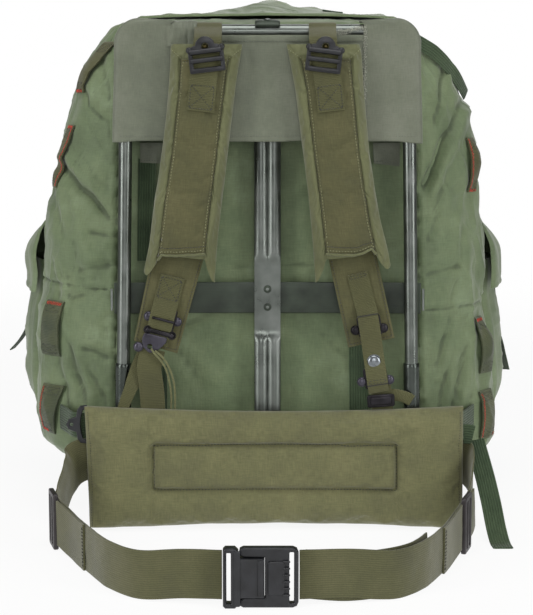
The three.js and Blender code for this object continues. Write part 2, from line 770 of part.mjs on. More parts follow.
function makeTab(row) {
  const steps = 5;
  const path = [];
  for (let i = 0; i <= steps; i += 1) {
    const t = i / steps;
    const height = THREE.MathUtils.lerp(row.top, row.bottom, t) * bagHeight;
    const out = softGap + gap / 2 + row.lift + webbingThickness / 2 + row.bow * Math.sin(Math.PI * t);
    path.push({ at: outsideBag(row.turn + row.lean * (t - 0.5), height, out) });
  }
  const middle = path[2].at;
  const across = outsideBag(row.turn + 1, middle.z, 0).sub(outsideBag(row.turn - 1, middle.z, 0));
  addPiece(row.name, ribbon(path, row.width, webbingThickness, across), oliveWebbing);
}

function makeUpperRightStrap() {
  const path = [[-36, 0.955], [-27, 0.935], [-18, 0.9], [-10, 0.85]].map(([turn, share]) => (
    { at: outsideBag(turn, share * bagHeight, softGap + 6) }
  ));
  addPiece('upper_right_strap', ribbon(path, 14, webbingThickness, upright), greenWebbing);
}

// Lid straps run from the lid down the rear to the bag above the centre pocket
function makeLidStrap(name, u) {
  const path = [];
  for (const v of [0.68, 0.76, 0.84, 0.92, 0.99]) {
    path.push({ at: lidPoint(u, v, lidClearance + lidThickness + gap + 2.6) });
  }
  const last = path[path.length - 1].at;
  for (const drop of [30, 62]) {
    const height = last.z - drop;
    const { middleY } = bagSection(height);
    const rear = onBag(at(last.x, middleY, height), at(0, 1, 0));
    path.push({ at: at(last.x, rear.y + softGap + lidThickness + webbingThickness, height) });
  }
  addPiece(name, ribbon(path, webbingWidth, webbingThickness, sideways), greenWebbing);
}

// Shoulder pad, top to bottom: where its middle runs, as a share from the top offset to the bottom one, and
// its width as a share of the strap's width. Edge rises are shares of its thickness.
const strapSections = [
  { down: 0, middle: 0, wide: 1.06, thick: 0.55 },
  { down: 0.05, middle: 0.04, wide: 1.05, thick: 0.9 },
  { down: 0.2, middle: 0.22, wide: 1.01, thick: 1 },
  { down: 0.41, middle: 0.36, wide: 0.985, thick: 1 },
  { down: 0.54, middle: 0.48, wide: 0.985, thick: 1 },
  { down: 0.69, middle: 0.62, wide: 1.005, thick: 1 },
  { down: 0.87, middle: 0.84, wide: 1.03, thick: 0.92 },
  { down: 0.95, middle: 0.94, wide: 1.07, thick: 0.75 },
  { down: 1, middle: 1, wide: 1.09, thick: 0.45 },
];

function tableValue(rows, key, share, column) {
  let i = 0;
  while (i + 2 < rows.length && rows[i + 1][key] < share) i += 1;
  const t = (share - rows[i][key]) / (rows[i + 1][key] - rows[i][key]);
  return THREE.MathUtils.lerp(rows[i][column], rows[i + 1][column], t);
}

function strapMiddleX(side, down) {
  const share = tableValue(strapSections, 'down', down, 'middle');
  return strapShift + side * THREE.MathUtils.lerp(strapTopOffset, strapBottomOffset, share);
}

function strapFrontY(down) {
  return strapBack - strapThickness * tableValue(strapSections, 'down', down, 'thick');
}

function makeShoulderPad(side, name) {
  const alongSteps = 11;
  const surface = (front) => (u, v) => {
    const width = strapWidth * tableValue(strapSections, 'down', v, 'wide');
    const x = strapMiddleX(side, v) + side * (u - 0.5) * width;
    const edge = 1 - Math.abs(2 * u - 1) ** 6 * 0.6;
    const notch = strapNotch * Math.sin(Math.PI * u) * THREE.MathUtils.smoothstep(v, 0.8, 1);
    const z = strapTop - strapLength * v + notch;
    const thick = strapThickness * tableValue(strapSections, 'down', v, 'thick') * edge;
    return at(x, front ? strapBack - thick : strapBack, z);
  };
  addPiece(name, slab(8, alongSteps, surface(true), surface(false)), strapNylon);
}

// The plate is sewn behind the pad's end and runs down to the lower hardware
function plateMiddle(side, drop) {
  const top = strapTop - strapLength + strapNotch;
  const x = strapMiddleX(side, 1) + side * plateSpread * drop / plateLength;
  return at(x, plateBack - plateThickness / 2, top - drop);
}

function makeStrapPlate(side, name) {
  const drops = [-12, 20, 60, plateLength];
  const path = drops.map((drop) => ({ at: plateMiddle(side, drop) }));
  addPiece(name, ribbon(path, plateWidth, plateThickness, sideways), strapNylon);
}

// Top webbing: sewn on the pad's face, up through the buckle, round the top bar and down the pad's back
const sewnEndDown = 0.295;
const buckleDown = 0.1;

function strapX(side, down) {
  return strapMiddleX(side, down) + side * -1;
}

function makeTopWebbing(side, name) {
  const onFace = (down, lift) => {
    const y = strapFrontY(down) - lift - webbingThickness / 2;
    return at(strapX(side, down), y, strapTop - strapLength * down);
  };
  const path = [onFace(sewnEndDown, gap), onFace(0.2, gap), onFace(buckleDown, gap), onFace(0.05, gap + 0.3)];
  const topX = strapX(side, 0);
  const frontTop = strapFrontY(0) - 3;
  path.push(at(topX, frontTop, strapTop + 4));
  const radius = upperTubeRadius + gap + webbingThickness / 2 + 0.2;
  for (const degrees of [150, 125, 100, 75, 50, 25, 0, -25, -50, -75, -100]) {
    const turn = THREE.MathUtils.degToRad(degrees);
    path.push(at(topX, radius * Math.cos(turn), topBarHeight + radius * Math.sin(turn)));
  }
  const behind = envelopeFront - gap - webbingThickness / 2;
  const hem = envelopeOpeningBottom + webbingThickness;
  path.push(at(topX, envelopeFront + 4, hem + 1.6));
  path.push(at(topX, envelopeFront + 0.3, hem + 1));
  path.push(at(topX, behind, hem - 2.2));
  path.push(at(topX, behind, strapTop - 8));
  path.push(at(topX + side, behind, strapTop - 30));
  const route = path.map((point) => ({ at: point }));
  addPiece(name, ribbon(route, webbingWidth, webbingThickness, sideways), oliveWebbing);
}

// Ladder buckle, drawn in its own plane: a domed tab with a hole above two bars
function roundedRectangle(width, height, radius, x = 0, y = 0, path = new THREE.Shape()) {
  const w = width / 2;
  const h = height / 2;
  path.moveTo(x - w + radius, y - h);
  path.lineTo(x + w - radius, y - h);
  path.absarc(x + w - radius, y - h + radius, radius, -Math.PI / 2, 0, false);
  path.lineTo(x + w, y + h - radius);
  path.absarc(x + w - radius, y + h - radius, radius, 0, Math.PI / 2, false);
  path.lineTo(x - w + radius, y + h);
  path.absarc(x - w + radius, y + h - radius, radius, Math.PI / 2, Math.PI, false);
  path.lineTo(x - w, y - h + radius);
  path.absarc(x - w + radius, y - h + radius, radius, Math.PI, 1.5 * Math.PI, false);
  return path;
}

function flatPlate(shape, thickness, curveSegments = 2) {
  const geometry = new THREE.ExtrudeGeometry(shape, { depth: thickness, bevelEnabled: false, curveSegments });
  geometry.rotateX(Math.PI / 2);
  return geometry;
}

function ladderShape(width, height) {
  const w = width / 2;
  const shoulder = height * 0.17;
  const domeRadius = Math.min(width, height) * 0.28;
  const shape = new THREE.Shape();
  shape.moveTo(-w, -height / 2);
  shape.lineTo(w, -height / 2);
  shape.lineTo(w, shoulder);
  shape.lineTo(domeRadius, shoulder + 2);
  shape.absarc(0, height / 2 - domeRadius, domeRadius, 0, Math.PI, false);
  shape.lineTo(-domeRadius, shoulder + 2);
  shape.lineTo(-w, shoulder);
  shape.closePath();
  const hole = new THREE.Path();
  hole.absarc(0, height / 2 - domeRadius, domeRadius * 0.36, 0, 2 * Math.PI, true);
  shape.holes.push(hole);
  const slotHeight = height * 0.14;
  for (const level of [-0.02, -0.29]) {
    shape.holes.push(roundedRectangle(width - 8, slotHeight, 1, 0, height * level, new THREE.Path()));
  }
  return shape;
}

function makeLadderBuckle(side, name) {
  const plate = flatPlate(ladderShape(ladderWidth, ladderHeight), ladderThickness);
  const buckle = addPiece(name, plate, blackPlastic);
  const height = strapTop - strapLength * 0.045;
  const face = strapFrontY(buckleDown) - gap - webbingThickness - gap - 0.3;
  buckle.position.set(strapX(side, 0.045), face, height);
  buckle.rotation.y = side * THREE.MathUtils.degToRad(7);
}

// Left lower hardware: sewn webbing on the plate, a quick release frame and lever, webbing down to the belt
const hardwareThickness = 2.5;

function plateSlant(side) {
  return side * -Math.atan2(plateSpread, plateLength);
}

function onPlateAt(side, drop, aside = 0) {
  const point = plateMiddle(side, drop);
  return at(point.x + aside, onPlate, point.z);
}

function releaseShape(width, height) {
  const shape = roundedRectangle(width, height, 3);
  shape.holes.push(roundedRectangle(width - 7, height * 0.2, 1, 0, height * 0.24, new THREE.Path()));
  shape.holes.push(roundedRectangle(width - 7, height * 0.2, 1, 0, -height * 0.24, new THREE.Path()));
  return shape;
}

function makeLeftHardware() {
  const path = [20, 40, 62, plateLength - 4].map((drop) => ({ at: onPlateAt(-1, drop, 2) }));
  addPiece('left_lower_webbing', ribbon(path, webbingWidth, webbingThickness, sideways), oliveWebbing);

  const frame = addPiece('release_frame', flatPlate(releaseShape(31, 24), hardwareThickness), hardwareMetal);
  const frameAt = onPlateAt(-1, 66, 2);
  frame.position.set(frameAt.x, inPlateHardware, frameAt.z);
  frame.rotation.y = plateSlant(-1);

  const lever = new THREE.Shape();
  lever.moveTo(-11, 8);
  lever.lineTo(-13, 2);
  lever.lineTo(-10, -7);
  lever.lineTo(-2, -11.5);
  lever.lineTo(6, -6);
  lever.lineTo(11.5, 2.5);
  lever.lineTo(11.5, 8);
  lever.closePath();
  const hole = new THREE.Path();
  hole.absarc(-3.5, -5, 2.6, 0, 2 * Math.PI, true);
  lever.holes.push(hole);
  const leverPlate = addPiece('release_lever', flatPlate(lever, hardwareThickness), hardwareMetal);
  const leverAt = onPlateAt(-1, 91, 1);
  leverPlate.position.set(leverAt.x, inPlateHardware, leverAt.z);
  leverPlate.rotation.y = plateSlant(-1);
}

function makeLeftFrameWebbing() {
  const end = plateMiddle(-1, plateLength);
  const path = places([
    [end.x + 1, onPlate + 0.4, end.z - gap - 3],
    [end.x - 3, onPlate + 1, end.z - 24],
    [end.x - 6, padBack + 2.2, padBottom + padHeight + 6],
    [end.x - 7, padBack + gap + webbingThickness / 2, padBottom + padHeight - 1],
    [end.x - 7, padBack + gap + webbingThickness / 2, padBottom + padHeight - 9],
  ]);
  addPiece('left_frame_webbing', ribbon(path, webbingWidth - 3, webbingThickness, sideways), oliveWebbing);
}

// Pull cord: a thin doubled cord on the lever that hangs down behind the kidney pad
const pullCordPoints = [
  [-112, -17.6, 192], [-108, -18.6, 187], [-103, -17.6, 179.5], [-97.5, -15.5, 170], [-94.8, -12, 153],
  [-94, -8.5, 136], [-94.4, -6.5, 122], [-95.6, -5.5, 112.5], [-98.2, -5, 108.6], [-101, -5.5, 112.5],
  [-101.6, -6.5, 122], [-101, -8.5, 136], [-101, -12, 153], [-104.4, -15.5, 168], [-109, -17.6, 177],
  [-112.6, -18.6, 185],
];

function makePullCord() {
  const chosen = pullCordPoints.map(([x, y, z]) => at(x, y - 0.4, z));
  const curve = new THREE.CatmullRomCurve3(chosen, false, 'centripetal');
  const step = 3 * cordDiameter;
  const points = curve.getSpacedPoints(Math.round(curve.getLength() / step));
  addPiece('pull_cord', tube(points, cordDiameter / 2, 8), oliveWebbing);
}

// Right lower hardware: a snap strap over the plate, held by two slides, and webbing down to the frame
function slideShape(width, height) {
  const shape = roundedRectangle(width, height, 2.5);
  shape.holes.push(roundedRectangle(width - 7, height - 6.5, 1, 0, 0, new THREE.Path()));
  return shape;
}

function makeSlide(name, side, drop, aside) {
  const slide = addPiece(name, flatPlate(slideShape(31, 13), hardwareThickness), hardwareMetal);
  const place = onPlateAt(side, drop, aside);
  slide.position.set(place.x, inPlateHardware, place.z);
  slide.rotation.y = plateSlant(side);
}

const snapStrapWidth = 21;

function makeRightHardware() {
  const path = [22, 50, 80, 108, 124].map((drop) => ({ at: onPlateAt(1, drop, 0) }));
  addPiece('snap_strap', ribbon(path, snapStrapWidth, webbingThickness, sideways), oliveWebbing);
  makeSlide('upper_slide', 1, 73, 0);
  makeSlide('lower_slide', 1, 125, -4);
  const capProfile = [[0, 0], [7.6, 0], [7.6, 1.2], [6, 3.2], [3.4, 4], [0, 4.2]];
  const profile = capProfile.map(([radius, height]) => new THREE.Vector2(radius, height));
  const cap = addPiece('snap_cap', new THREE.LatheGeometry(profile, 16), hardwareMetal);
  const capAt = onPlateAt(1, 104, 0);
  cap.position.set(capAt.x, inPlateHardware, capAt.z);
  cap.rotation.x = Math.PI;
}

function makeRightFrameWebbing() {
  const end = onPlateAt(1, 124, -4);
  const top = padBottom + padHeight;
  const path = places([
    [end.x, onPlate, end.z - 3],
    [end.x + 1, onPlate, end.z - 14],
    [end.x + 2, padBack + 2, top + 4],
    [end.x + 3, padBack + gap + webbingThickness / 2, top - 1],
    [end.x + 3, padBack + gap + webbingThickness / 2, top - 9],
  ]);
  addPiece('right_frame_webbing', ribbon(path, snapStrapWidth, webbingThickness, sideways), oliveWebbing);
  const buckle = addPiece('frame_buckle', flatPlate(slideShape(28, 13), hardwareThickness), blackPlastic);
  buckle.position.set(end.x + 2, onPlate - webbingThickness / 2 - gap, end.z - 19);
  buckle.rotation.y = THREE.MathUtils.degToRad(4);
}

// Kidney pad: a quilted cushion, flat behind, with a raised frame and two sewn channels in front
const quiltHalfWidth = 0.32;
const quiltBottom = 0.35;
const quiltTop = 0.72;
const quiltLines = [quiltBottom, 0.49, 0.59, quiltTop];

function padFrontDepth(u, v) {
  const crown = (1 - Math.abs(2 * u - 1) ** 10) * (1 - Math.abs(2 * v - 1) ** 5);
  let seam = 0;
  const acrossQuilt = Math.abs(2 * u - 1) < 2 * quiltHalfWidth + 0.02;
  if (acrossQuilt) {
    for (const line of quiltLines) seam = Math.max(seam, Math.exp(-(((v - line) / 0.022) ** 2)));
  }
  return padThickness * (0.35 + 0.65 * crown ** 0.5) * (1 - 0.2 * seam);
}

function makeKidneyPad() {
  const rows = [0, 0.06, 0.2, 0.31, 0.35, 0.39, 0.45, 0.49, 0.54, 0.59, 0.66, 0.72, 0.77, 0.9, 1];
  const columns = [0, 0.02, 0.1, 0.165, 0.19, 0.4, 0.6, 0.81, 0.835, 0.9, 0.98, 1];
  const surface = (front) => (u, v) => {
    const across = columns[Math.round(u * (columns.length - 1))];
    const up = rows[Math.round(v * (rows.length - 1))];
    const x = padShift + padWidth * (across - 0.5);
    const z = padBottom + padHeight * up;
    return at(x, front ? padBack - padFrontDepth(across, up) : padBack, z);
  };
  const cushion = slab(columns.length - 1, rows.length - 1, surface(true), surface(false));
  addPiece('kidney_pad', cushion, strapNylon);
}

// Bag ties: webbing from the bag's lower sides round the front of the frame, behind the kidney pad
const tieHeight = padBottom + padHeight - 24;

function makeBagTie(side, name) {
  const tubeX = sideTubeX(tieHeight);
  const y = -(lowerTubeRadius + gap + webbingThickness / 2);
  const start = onBag(at(side * 150, bagMiddle, tieHeight), at(side * 0.62, -1, 0), softGap + 1.6);
  const path = places([
    [start.x, start.y, tieHeight],
    [side * 207, start.y * 0.4, tieHeight],
    [side * 196, y * 0.7, tieHeight],
    [side * 176, y, tieHeight],
    [side * tubeX, y, tieHeight],
    [side * (tubeX - 34), y, tieHeight],
  ]);
  addPiece(name, ribbon(path, webbingWidth - 1, webbingThickness, upright), greenWebbing);
}

function makePadBuckle() {
  const buckle = addPiece('pad_ladder_buckle', flatPlate(ladderShape(33, 23), ladderThickness), blackPlastic);
  const y = -(lowerTubeRadius + gap + webbingThickness + gap) - 2;
  buckle.rotation.y = -Math.PI / 2;
  buckle.position.set(padShift - padWidth / 2 - 12, y, tieHeight + 2);
}

// Waist belt: a loop standing on its edge on the floor, from behind the kidney pad round to the side buckle
const beltOnFloor = beltWidth / 2 + 2 * gap;
const beltAtGlide = triGlideHeight / 2;
const beltAtBuckle = sideBuckleWidth / 2;
const beltBehindPad = tieHeight - webbingWidth / 2 - gap - beltWidth / 2;
const beltBehindY = -(lowerTubeRadius + gap + beltThickness / 2);
const beltReach = 268;
const buckleMiddleX = -6;
const buckleMouthLeft = buckleMiddleX - sideBuckleLength / 2;
const buckleMouthRight = buckleMiddleX + sideBuckleLength / 2;

// Each belt half: the stretch behind the pad, then the loop in front, its depth a share of the reach
const leftBeltPoints = [
  [-4, beltBehindY, beltBehindPad], [-90, beltBehindY, beltBehindPad], [-150, beltBehindY, beltBehindPad],
  [-176, beltBehindY, beltBehindPad], [-189, beltBehindY, beltBehindPad],
  [-196, -0.045 * beltReach, beltBehindPad - 5], [-201, -0.082 * beltReach, beltBehindPad - 13],
  [-205, -0.149 * beltReach, beltAtGlide + 16], [-208, -0.216 * beltReach, beltAtGlide + 5],
  [-209, -0.28 * beltReach, beltAtGlide], [-203, -0.358 * beltReach, beltAtGlide],
  [-184, -0.496 * beltReach, beltOnFloor], [-160, -0.709 * beltReach, beltOnFloor],
  [-140, -0.851 * beltReach, beltOnFloor], [-113, -0.948 * beltReach, beltOnFloor],
  [-75, -0.989 * beltReach, beltAtBuckle], [buckleMouthLeft - 1, -beltReach, beltAtBuckle],
];
const rightBeltPoints = [
  [4, beltBehindY, beltBehindPad], [90, beltBehindY, beltBehindPad], [150, beltBehindY, beltBehindPad],
  [180, beltBehindY, beltBehindPad], [191, beltBehindY, beltBehindPad],
  [200, beltBehindY, beltBehindPad - 1], [206, -0.075 * beltReach, beltBehindPad - 9],
  [206, -0.157 * beltReach, beltAtGlide + 16], [201, -0.246 * beltReach, beltAtGlide + 5],
  [193, -0.336 * beltReach, beltAtGlide], [186, -0.418 * beltReach, beltAtGlide],
  [174, -0.53 * beltReach, beltOnFloor], [160, -0.683 * beltReach, beltOnFloor],
  [138, -0.851 * beltReach, beltOnFloor], [112, -0.948 * beltReach, beltOnFloor],
  [70, -0.985 * beltReach, beltAtBuckle], [buckleMouthRight + 1, -beltReach, beltAtBuckle],
];
const tailInside = 0.0095 * beltReach;
const tailPoints = [
  [buckleMouthRight + 4, -beltReach + tailInside, beltAtBuckle], [70, -0.972 * beltReach, beltOnFloor],
  [106, -0.925 * beltReach, beltOnFloor], [128, -0.858 * beltReach, beltOnFloor],
  [146, -0.731 * beltReach, beltOnFloor],
];

function smoothPath(points, steps) {
  const curve = new THREE.CatmullRomCurve3(points.map(([x, y, z]) => at(x, y, z)), false, 'centripetal');
  return curve.getSpacedPoints(steps).map((point) => ({ at: point }));
}

function makeBelt() {
  const rows = [
    { name: 'waist_belt_left', points: leftBeltPoints, steps: 38, width: beltWidth },
    { name: 'waist_belt_right', points: rightBeltPoints, steps: 38, width: beltWidth },
    { name: 'belt_tail', points: tailPoints, steps: 10, width: beltWidth - 0.4 },
  ];
  for (const row of rows) {
    const path = smoothPath(row.points, row.steps);
    addPiece(row.name, ribbon(path, row.width, beltThickness, upright), oliveWebbing);
  }
}

function triGlideShape() {
  const shape = roundedRectangle(triGlideLength, triGlideHeight, 3);
  for (const x of [-0.21, 0.21]) {
    const path = new THREE.Path();
    shape.holes.push(roundedRectangle(triGlideLength * 0.24, beltWidth + 2, 1, triGlideLength * x, 0, path));
  }
  return shape;
}

function makeTriGlide(name, before, after, outwardX) {
  const glide = addPiece(name, flatPlate(triGlideShape(), triGlideThickness), blackPlastic);
  const along = at(after[0] - before[0], after[1] - before[1], 0).normalize();
  const out = at(-along.y, along.x, 0);
  if (out.x * outwardX < 0) out.negate();
  const middle = at((before[0] + after[0]) / 2, (before[1] + after[1]) / 2, beltAtGlide);
  const offset = beltThickness / 2 + 3 * gap;
  glide.position.copy(middle.addScaledVector(out, offset));
  glide.rotation.z = Math.atan2(out.y, out.x) + Math.PI / 2;
}

// Side release buckle: a socket with hollowed sides, and a prong half whose arms lie in those hollows
function makeSideBuckle() {
  const half = sideBuckleWidth / 2;
  const armWidth = 9;
  const socketLength = sideBuckleLength * 0.55;
  const prongBase = sideBuckleLength - socketLength - gap;
  const armReach = socketLength * 0.62;

  const socket = new THREE.Shape();
  socket.moveTo(0, -half);
  socket.lineTo(socketLength - armReach - gap, -half);
  socket.lineTo(socketLength - armReach - gap, -half + armWidth + gap);
  socket.lineTo(socketLength, -half + armWidth + gap);
  socket.lineTo(socketLength, half - armWidth - gap);
  socket.lineTo(socketLength - armReach - gap, half - armWidth - gap);
  socket.lineTo(socketLength - armReach - gap, half);
  socket.lineTo(0, half);
  socket.closePath();
  socket.holes.push(roundedRectangle(4, beltWidth + 1, 1, 5, 0, new THREE.Path()));

  const prongs = new THREE.Shape();
  prongs.moveTo(sideBuckleLength, half - 3);
  prongs.lineTo(sideBuckleLength, -half + 3);
  prongs.lineTo(sideBuckleLength - 3, -half);
  prongs.lineTo(socketLength - armReach, -half);
  prongs.lineTo(socketLength - armReach, -half + armWidth - 3);
  prongs.lineTo(socketLength - armReach + 5, -half + armWidth);
  prongs.lineTo(sideBuckleLength - prongBase, -half + armWidth);
  prongs.lineTo(sideBuckleLength - prongBase, half - armWidth);
  prongs.lineTo(socketLength - armReach + 5, half - armWidth);
  prongs.lineTo(socketLength - armReach, half - armWidth + 3);
  prongs.lineTo(socketLength - armReach, half);
  prongs.lineTo(sideBuckleLength - 3, half);
  prongs.closePath();
  prongs.holes.push(roundedRectangle(4, beltWidth + 1, 1, sideBuckleLength - 6, 0, new THREE.Path()));

  const rows = [
    ['buckle_socket', socket, sideBuckleThickness],
    ['buckle_prongs', prongs, sideBuckleThickness - 3],
  ];
  for (const [name, shape, thickness] of rows) {
    const piece = addPiece(name, flatPlate(shape, thickness), blackPlastic);
    piece.position.set(buckleMouthLeft, -beltReach - beltThickness / 2 - gap, beltAtBuckle);
  }
}

// A spare end of the right bag tie's webbing, which falls to the floor and lies on it
const floorTailPoints = [
  [213, -2, 88], [219.5, -22, 62], [224.5, -46, 36], [228, -66, 12], [230, -80, 2], [231, -96, 1],
];
const floorTailWidth = 20;

function makeFloorTail() {
  const path = places(floorTailPoints);
  addPiece('floor_tail', ribbon(path, floorTailWidth, webbingThickness, sideways), greenWebbing);
}

const topTabWidth = 12;

function makeTopTab() {
  const lift = lidClearance + lidThickness + gap + 1.4;
  const path = [0.72, 0.76, 0.8].map((u) => ({ at: lidPoint(u, 0.16, lift) }));
  addPiece('top_tab', ribbon(path, topTabWidth, webbingThickness, at(0, 1, 0)), greenWebbing);
}

makeFrame();
makePost();
makeCrossbar();
makeRivet('upper_rivet', crossbarMiddleHeight + rivetSpacing / 2);
makeRivet('lower_rivet', crossbarMiddleHeight - rivetSpacing / 2);
makeBag();
makeLid();
makeEnvelope();
pocketRows.forEach(makePocket);
pocketStrapRows.forEach(makePocketStrap);
tabRows.forEach(makeTab);
makeUpperRightStrap();
makeLidStrap('left_lid_strap', 0.25);
makeLidStrap('right_lid_strap', 0.75);
makeTopTab();
for (const [side, name] of [[-1, 'left'], [1, 'right']]) {
  makeShoulderPad(side, `${name}_shoulder_pad`);
  makeStrapPlate(side, `${name}_strap_plate`);
  makeTopWebbing(side, `${name}_top_webbing`);
  makeLadderBuckle(side, `${name}_ladder_buckle`);
  makeBagTie(side, `${name}_bag_tie`);
}
makeLeftHardware();
makeLeftFrameWebbing();
makePullCord();
makeRightHardware();
makeRightFrameWebbing();
makeKidneyPad();
makePadBuckle();
makeBelt();
makeTriGlide('left_tri_glide', leftBeltPoints[9], leftBeltPoints[10], -1);
makeTriGlide('right_tri_glide', rightBeltPoints[9], rightBeltPoints[10], 1);
makeSideBuckle();
makeFloorTail();

export default backpack;
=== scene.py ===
"""The looks of an external frame backpack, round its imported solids.

Lengths are in millimetres unless a comment says otherwise. Points are given as in the part's source: y = 0
is the plane of the frame's side tubes, and the wearer's side is at -y. part() gives them in the row frame.
"""
import itertools
import json
import math

import bmesh
import bpy
import numpy as np
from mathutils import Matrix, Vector
from mathutils.bvhtree import BVHTree

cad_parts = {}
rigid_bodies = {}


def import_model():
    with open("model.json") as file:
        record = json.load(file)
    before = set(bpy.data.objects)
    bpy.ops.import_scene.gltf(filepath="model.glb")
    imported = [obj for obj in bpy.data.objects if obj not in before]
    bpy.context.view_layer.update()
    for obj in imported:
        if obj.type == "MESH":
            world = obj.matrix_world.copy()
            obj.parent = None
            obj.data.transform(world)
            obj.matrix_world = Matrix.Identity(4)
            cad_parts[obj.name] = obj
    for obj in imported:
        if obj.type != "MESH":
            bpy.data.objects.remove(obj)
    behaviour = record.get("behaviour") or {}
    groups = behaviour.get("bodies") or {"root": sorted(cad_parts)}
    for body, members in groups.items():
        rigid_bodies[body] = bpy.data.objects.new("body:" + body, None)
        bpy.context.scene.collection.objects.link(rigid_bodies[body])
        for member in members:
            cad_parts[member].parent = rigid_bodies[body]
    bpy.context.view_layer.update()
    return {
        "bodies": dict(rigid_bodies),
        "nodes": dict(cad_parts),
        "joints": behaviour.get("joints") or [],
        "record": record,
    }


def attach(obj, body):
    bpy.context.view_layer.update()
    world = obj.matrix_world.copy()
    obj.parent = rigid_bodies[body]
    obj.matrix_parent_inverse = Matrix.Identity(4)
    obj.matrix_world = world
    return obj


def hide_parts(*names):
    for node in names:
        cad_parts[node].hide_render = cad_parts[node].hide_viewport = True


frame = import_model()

MM = 0.001
# Between two pieces that lie on each other
GAP = 0.3
CLOTH_MAP = "cloth"
# From the side tubes' plane to the part's origin
BAG_MIDDLE = 145.0
TO_ROW = (0, BAG_MIDDLE, 0)


def floats(values):
    return np.asarray(values, float)


def part(points):
    """Points in millimetres, y = 0 at the side tubes, as metres in the row frame."""
    return (floats(points) - TO_ROW) * MM


# Driving sizes, as in the part's source
FRAME_HEIGHT = 510.0
TOP_TUBE_SPACING = 281.0
SOCKET_TUBE_SPACING = 294.4
UPPER_RADIUS = 13.7 / 2
LOWER_RADIUS = 16.5 / 2
SOCKET_TOP = 168.0
TOP_CORNER = 48.0
BOTTOM_CORNER = 45.0
BOTTOM_BAR_BOW = 20.0
POST_WIDTH = 27.0
CROSSBAR_HEIGHT = 234.0
CROSSBAR_BOW = 6.0
BAG_HEIGHT = 517.0
BAG_HALF_WIDTH = 250.0
BAG_DEPTH = 273.0
BAG_FRONT = 8.5
BAG_WALL = 2.5
WEBBING = 27.0
WEBBING_THICK = 1.6
BELT = 44.5
BELT_THICK = 2.0
STRAP_TOP = 490.0
STRAP_LENGTH = 222.0
STRAP_THICK = 16.0
STRAP_NOTCH = 14.0
PLATE_WIDTH = 48.0
PLATE_LENGTH = 96.0
PLATE_SPREAD = 25.0
PAD_WIDTH = 380.0
PAD_HEIGHT = 126.0
PAD_THICK = 20.0
PAD_SHIFT = 9.0
PAD_BOTTOM = 3.0
PAD_BACK = -(LOWER_RADIUS + GAP + BELT_THICK + 0.7)
TOP_BAR = FRAME_HEIGHT - UPPER_RADIUS
ENVELOPE_FRONT = -(UPPER_RADIUS + 1 + 1.6)
PLATE_BACK = -(LOWER_RADIUS + 1.5)
PLATE_THICK = 2.4
PLATE_FRONT = PLATE_BACK - PLATE_THICK
STRAP_BACK = PLATE_FRONT - GAP
ON_PLATE = PLATE_FRONT - GAP - WEBBING_THICK / 2
TUBE_SLOPE = (SOCKET_TUBE_SPACING - TOP_TUBE_SPACING) / 2 / (TOP_BAR - SOCKET_TOP)

UP = np.array((0.0, 0.0, 1.0))
WEARER = (0, -1, 0)
SIDEWAYS = np.array((1.0, 0.0, 0.0))


def tube_x(height):
    return TOP_TUBE_SPACING / 2 + TUBE_SLOPE * (TOP_BAR - height)


def smoothstep(value, low, high):
    t = np.clip((floats(value) - low) / (high - low), 0, 1)
    return t * t * (3 - 2 * t)


def unit(vectors):
    vectors = floats(vectors)
    return vectors / np.maximum(np.linalg.norm(vectors, axis=-1, keepdims=True), 1e-9)


def run_of(points):
    """The length along a line of points, up to each of them."""
    return np.concatenate(([0.0], np.cumsum(np.linalg.norm(np.diff(points, axis=0), axis=1))))


def sampled(wanted, places, rows):
    """Rows of x, y and z, given at some places, read at the wanted places."""
    return np.stack([np.interp(wanted, places, rows[:, k]) for k in range(3)], -1)


def ridge(distance, width):
    """A rounded ridge, 1 where the distance is 0."""
    return np.exp(-(distance / width) ** 2)


def lumps(points, size, seed=0):
    """Smooth noise from -1 to 1 at each point, with lumps about size mm across, the same each run."""
    place = floats(points) / size + 19.37 * seed
    corner = np.floor(place).astype(np.int64)
    inside = place - corner
    weight = inside ** 3 * (inside * (inside * 6 - 15) + 10)
    total = np.zeros(place.shape[:-1])
    for step in itertools.product((0, 1), repeat=3):
        x, y, z = np.moveaxis(corner + step, -1, 0)
        mixed = (x * 73856093) ^ (y * 19349663) ^ (z * 83492791) ^ (seed * 2971)
        mixed = ((mixed & 0xFFFFFFFF) * 2654435761) & 0xFFFFFFFF
        mixed = ((mixed ^ (mixed >> 15)) * 2246822519) & 0xFFFFFFFF
        share = np.prod(np.where(step, weight, 1 - weight), axis=-1)
        total += share * (((mixed >> 8) & 0xFFFF) / 32767.5 - 1)
    return total


# Camera: the photograph's angle, found by fitting the frame's known sizes
CAMERA_PLACE = (-0.001, -1.8285, 0.4621)
CAMERA_DOWN = 8.0
PHOTO_FOCAL = 1670.0
PHOTO_LONG_SIDE = 615.0
SENSOR = 36.0


def make_camera():
    data = bpy.data.cameras.new("camera")
    data.sensor_width = SENSOR
    data.lens = PHOTO_FOCAL * SENSOR / PHOTO_LONG_SIDE
    camera = bpy.data.objects.new("camera", data)
    camera.location = CAMERA_PLACE
    camera.rotation_euler = (math.radians(90 - CAMERA_DOWN), 0, 0)
    bpy.context.scene.collection.objects.link(camera)
    bpy.context.scene.camera = camera


make_camera()
# Colours as they are, with no film look
bpy.context.scene.view_settings.view_transform = "Standard"


# Materials

def colour(code):
    """An sRGB hex colour as linear RGBA."""
    channels = [int(code[i:i + 2], 16) / 255 for i in (0, 2, 4)]
    linear = [c / 12.92 if c <= 0.04045 else ((c + 0.055) / 1.055) ** 2.4 for c in channels]
    return (*linear, 1.0)


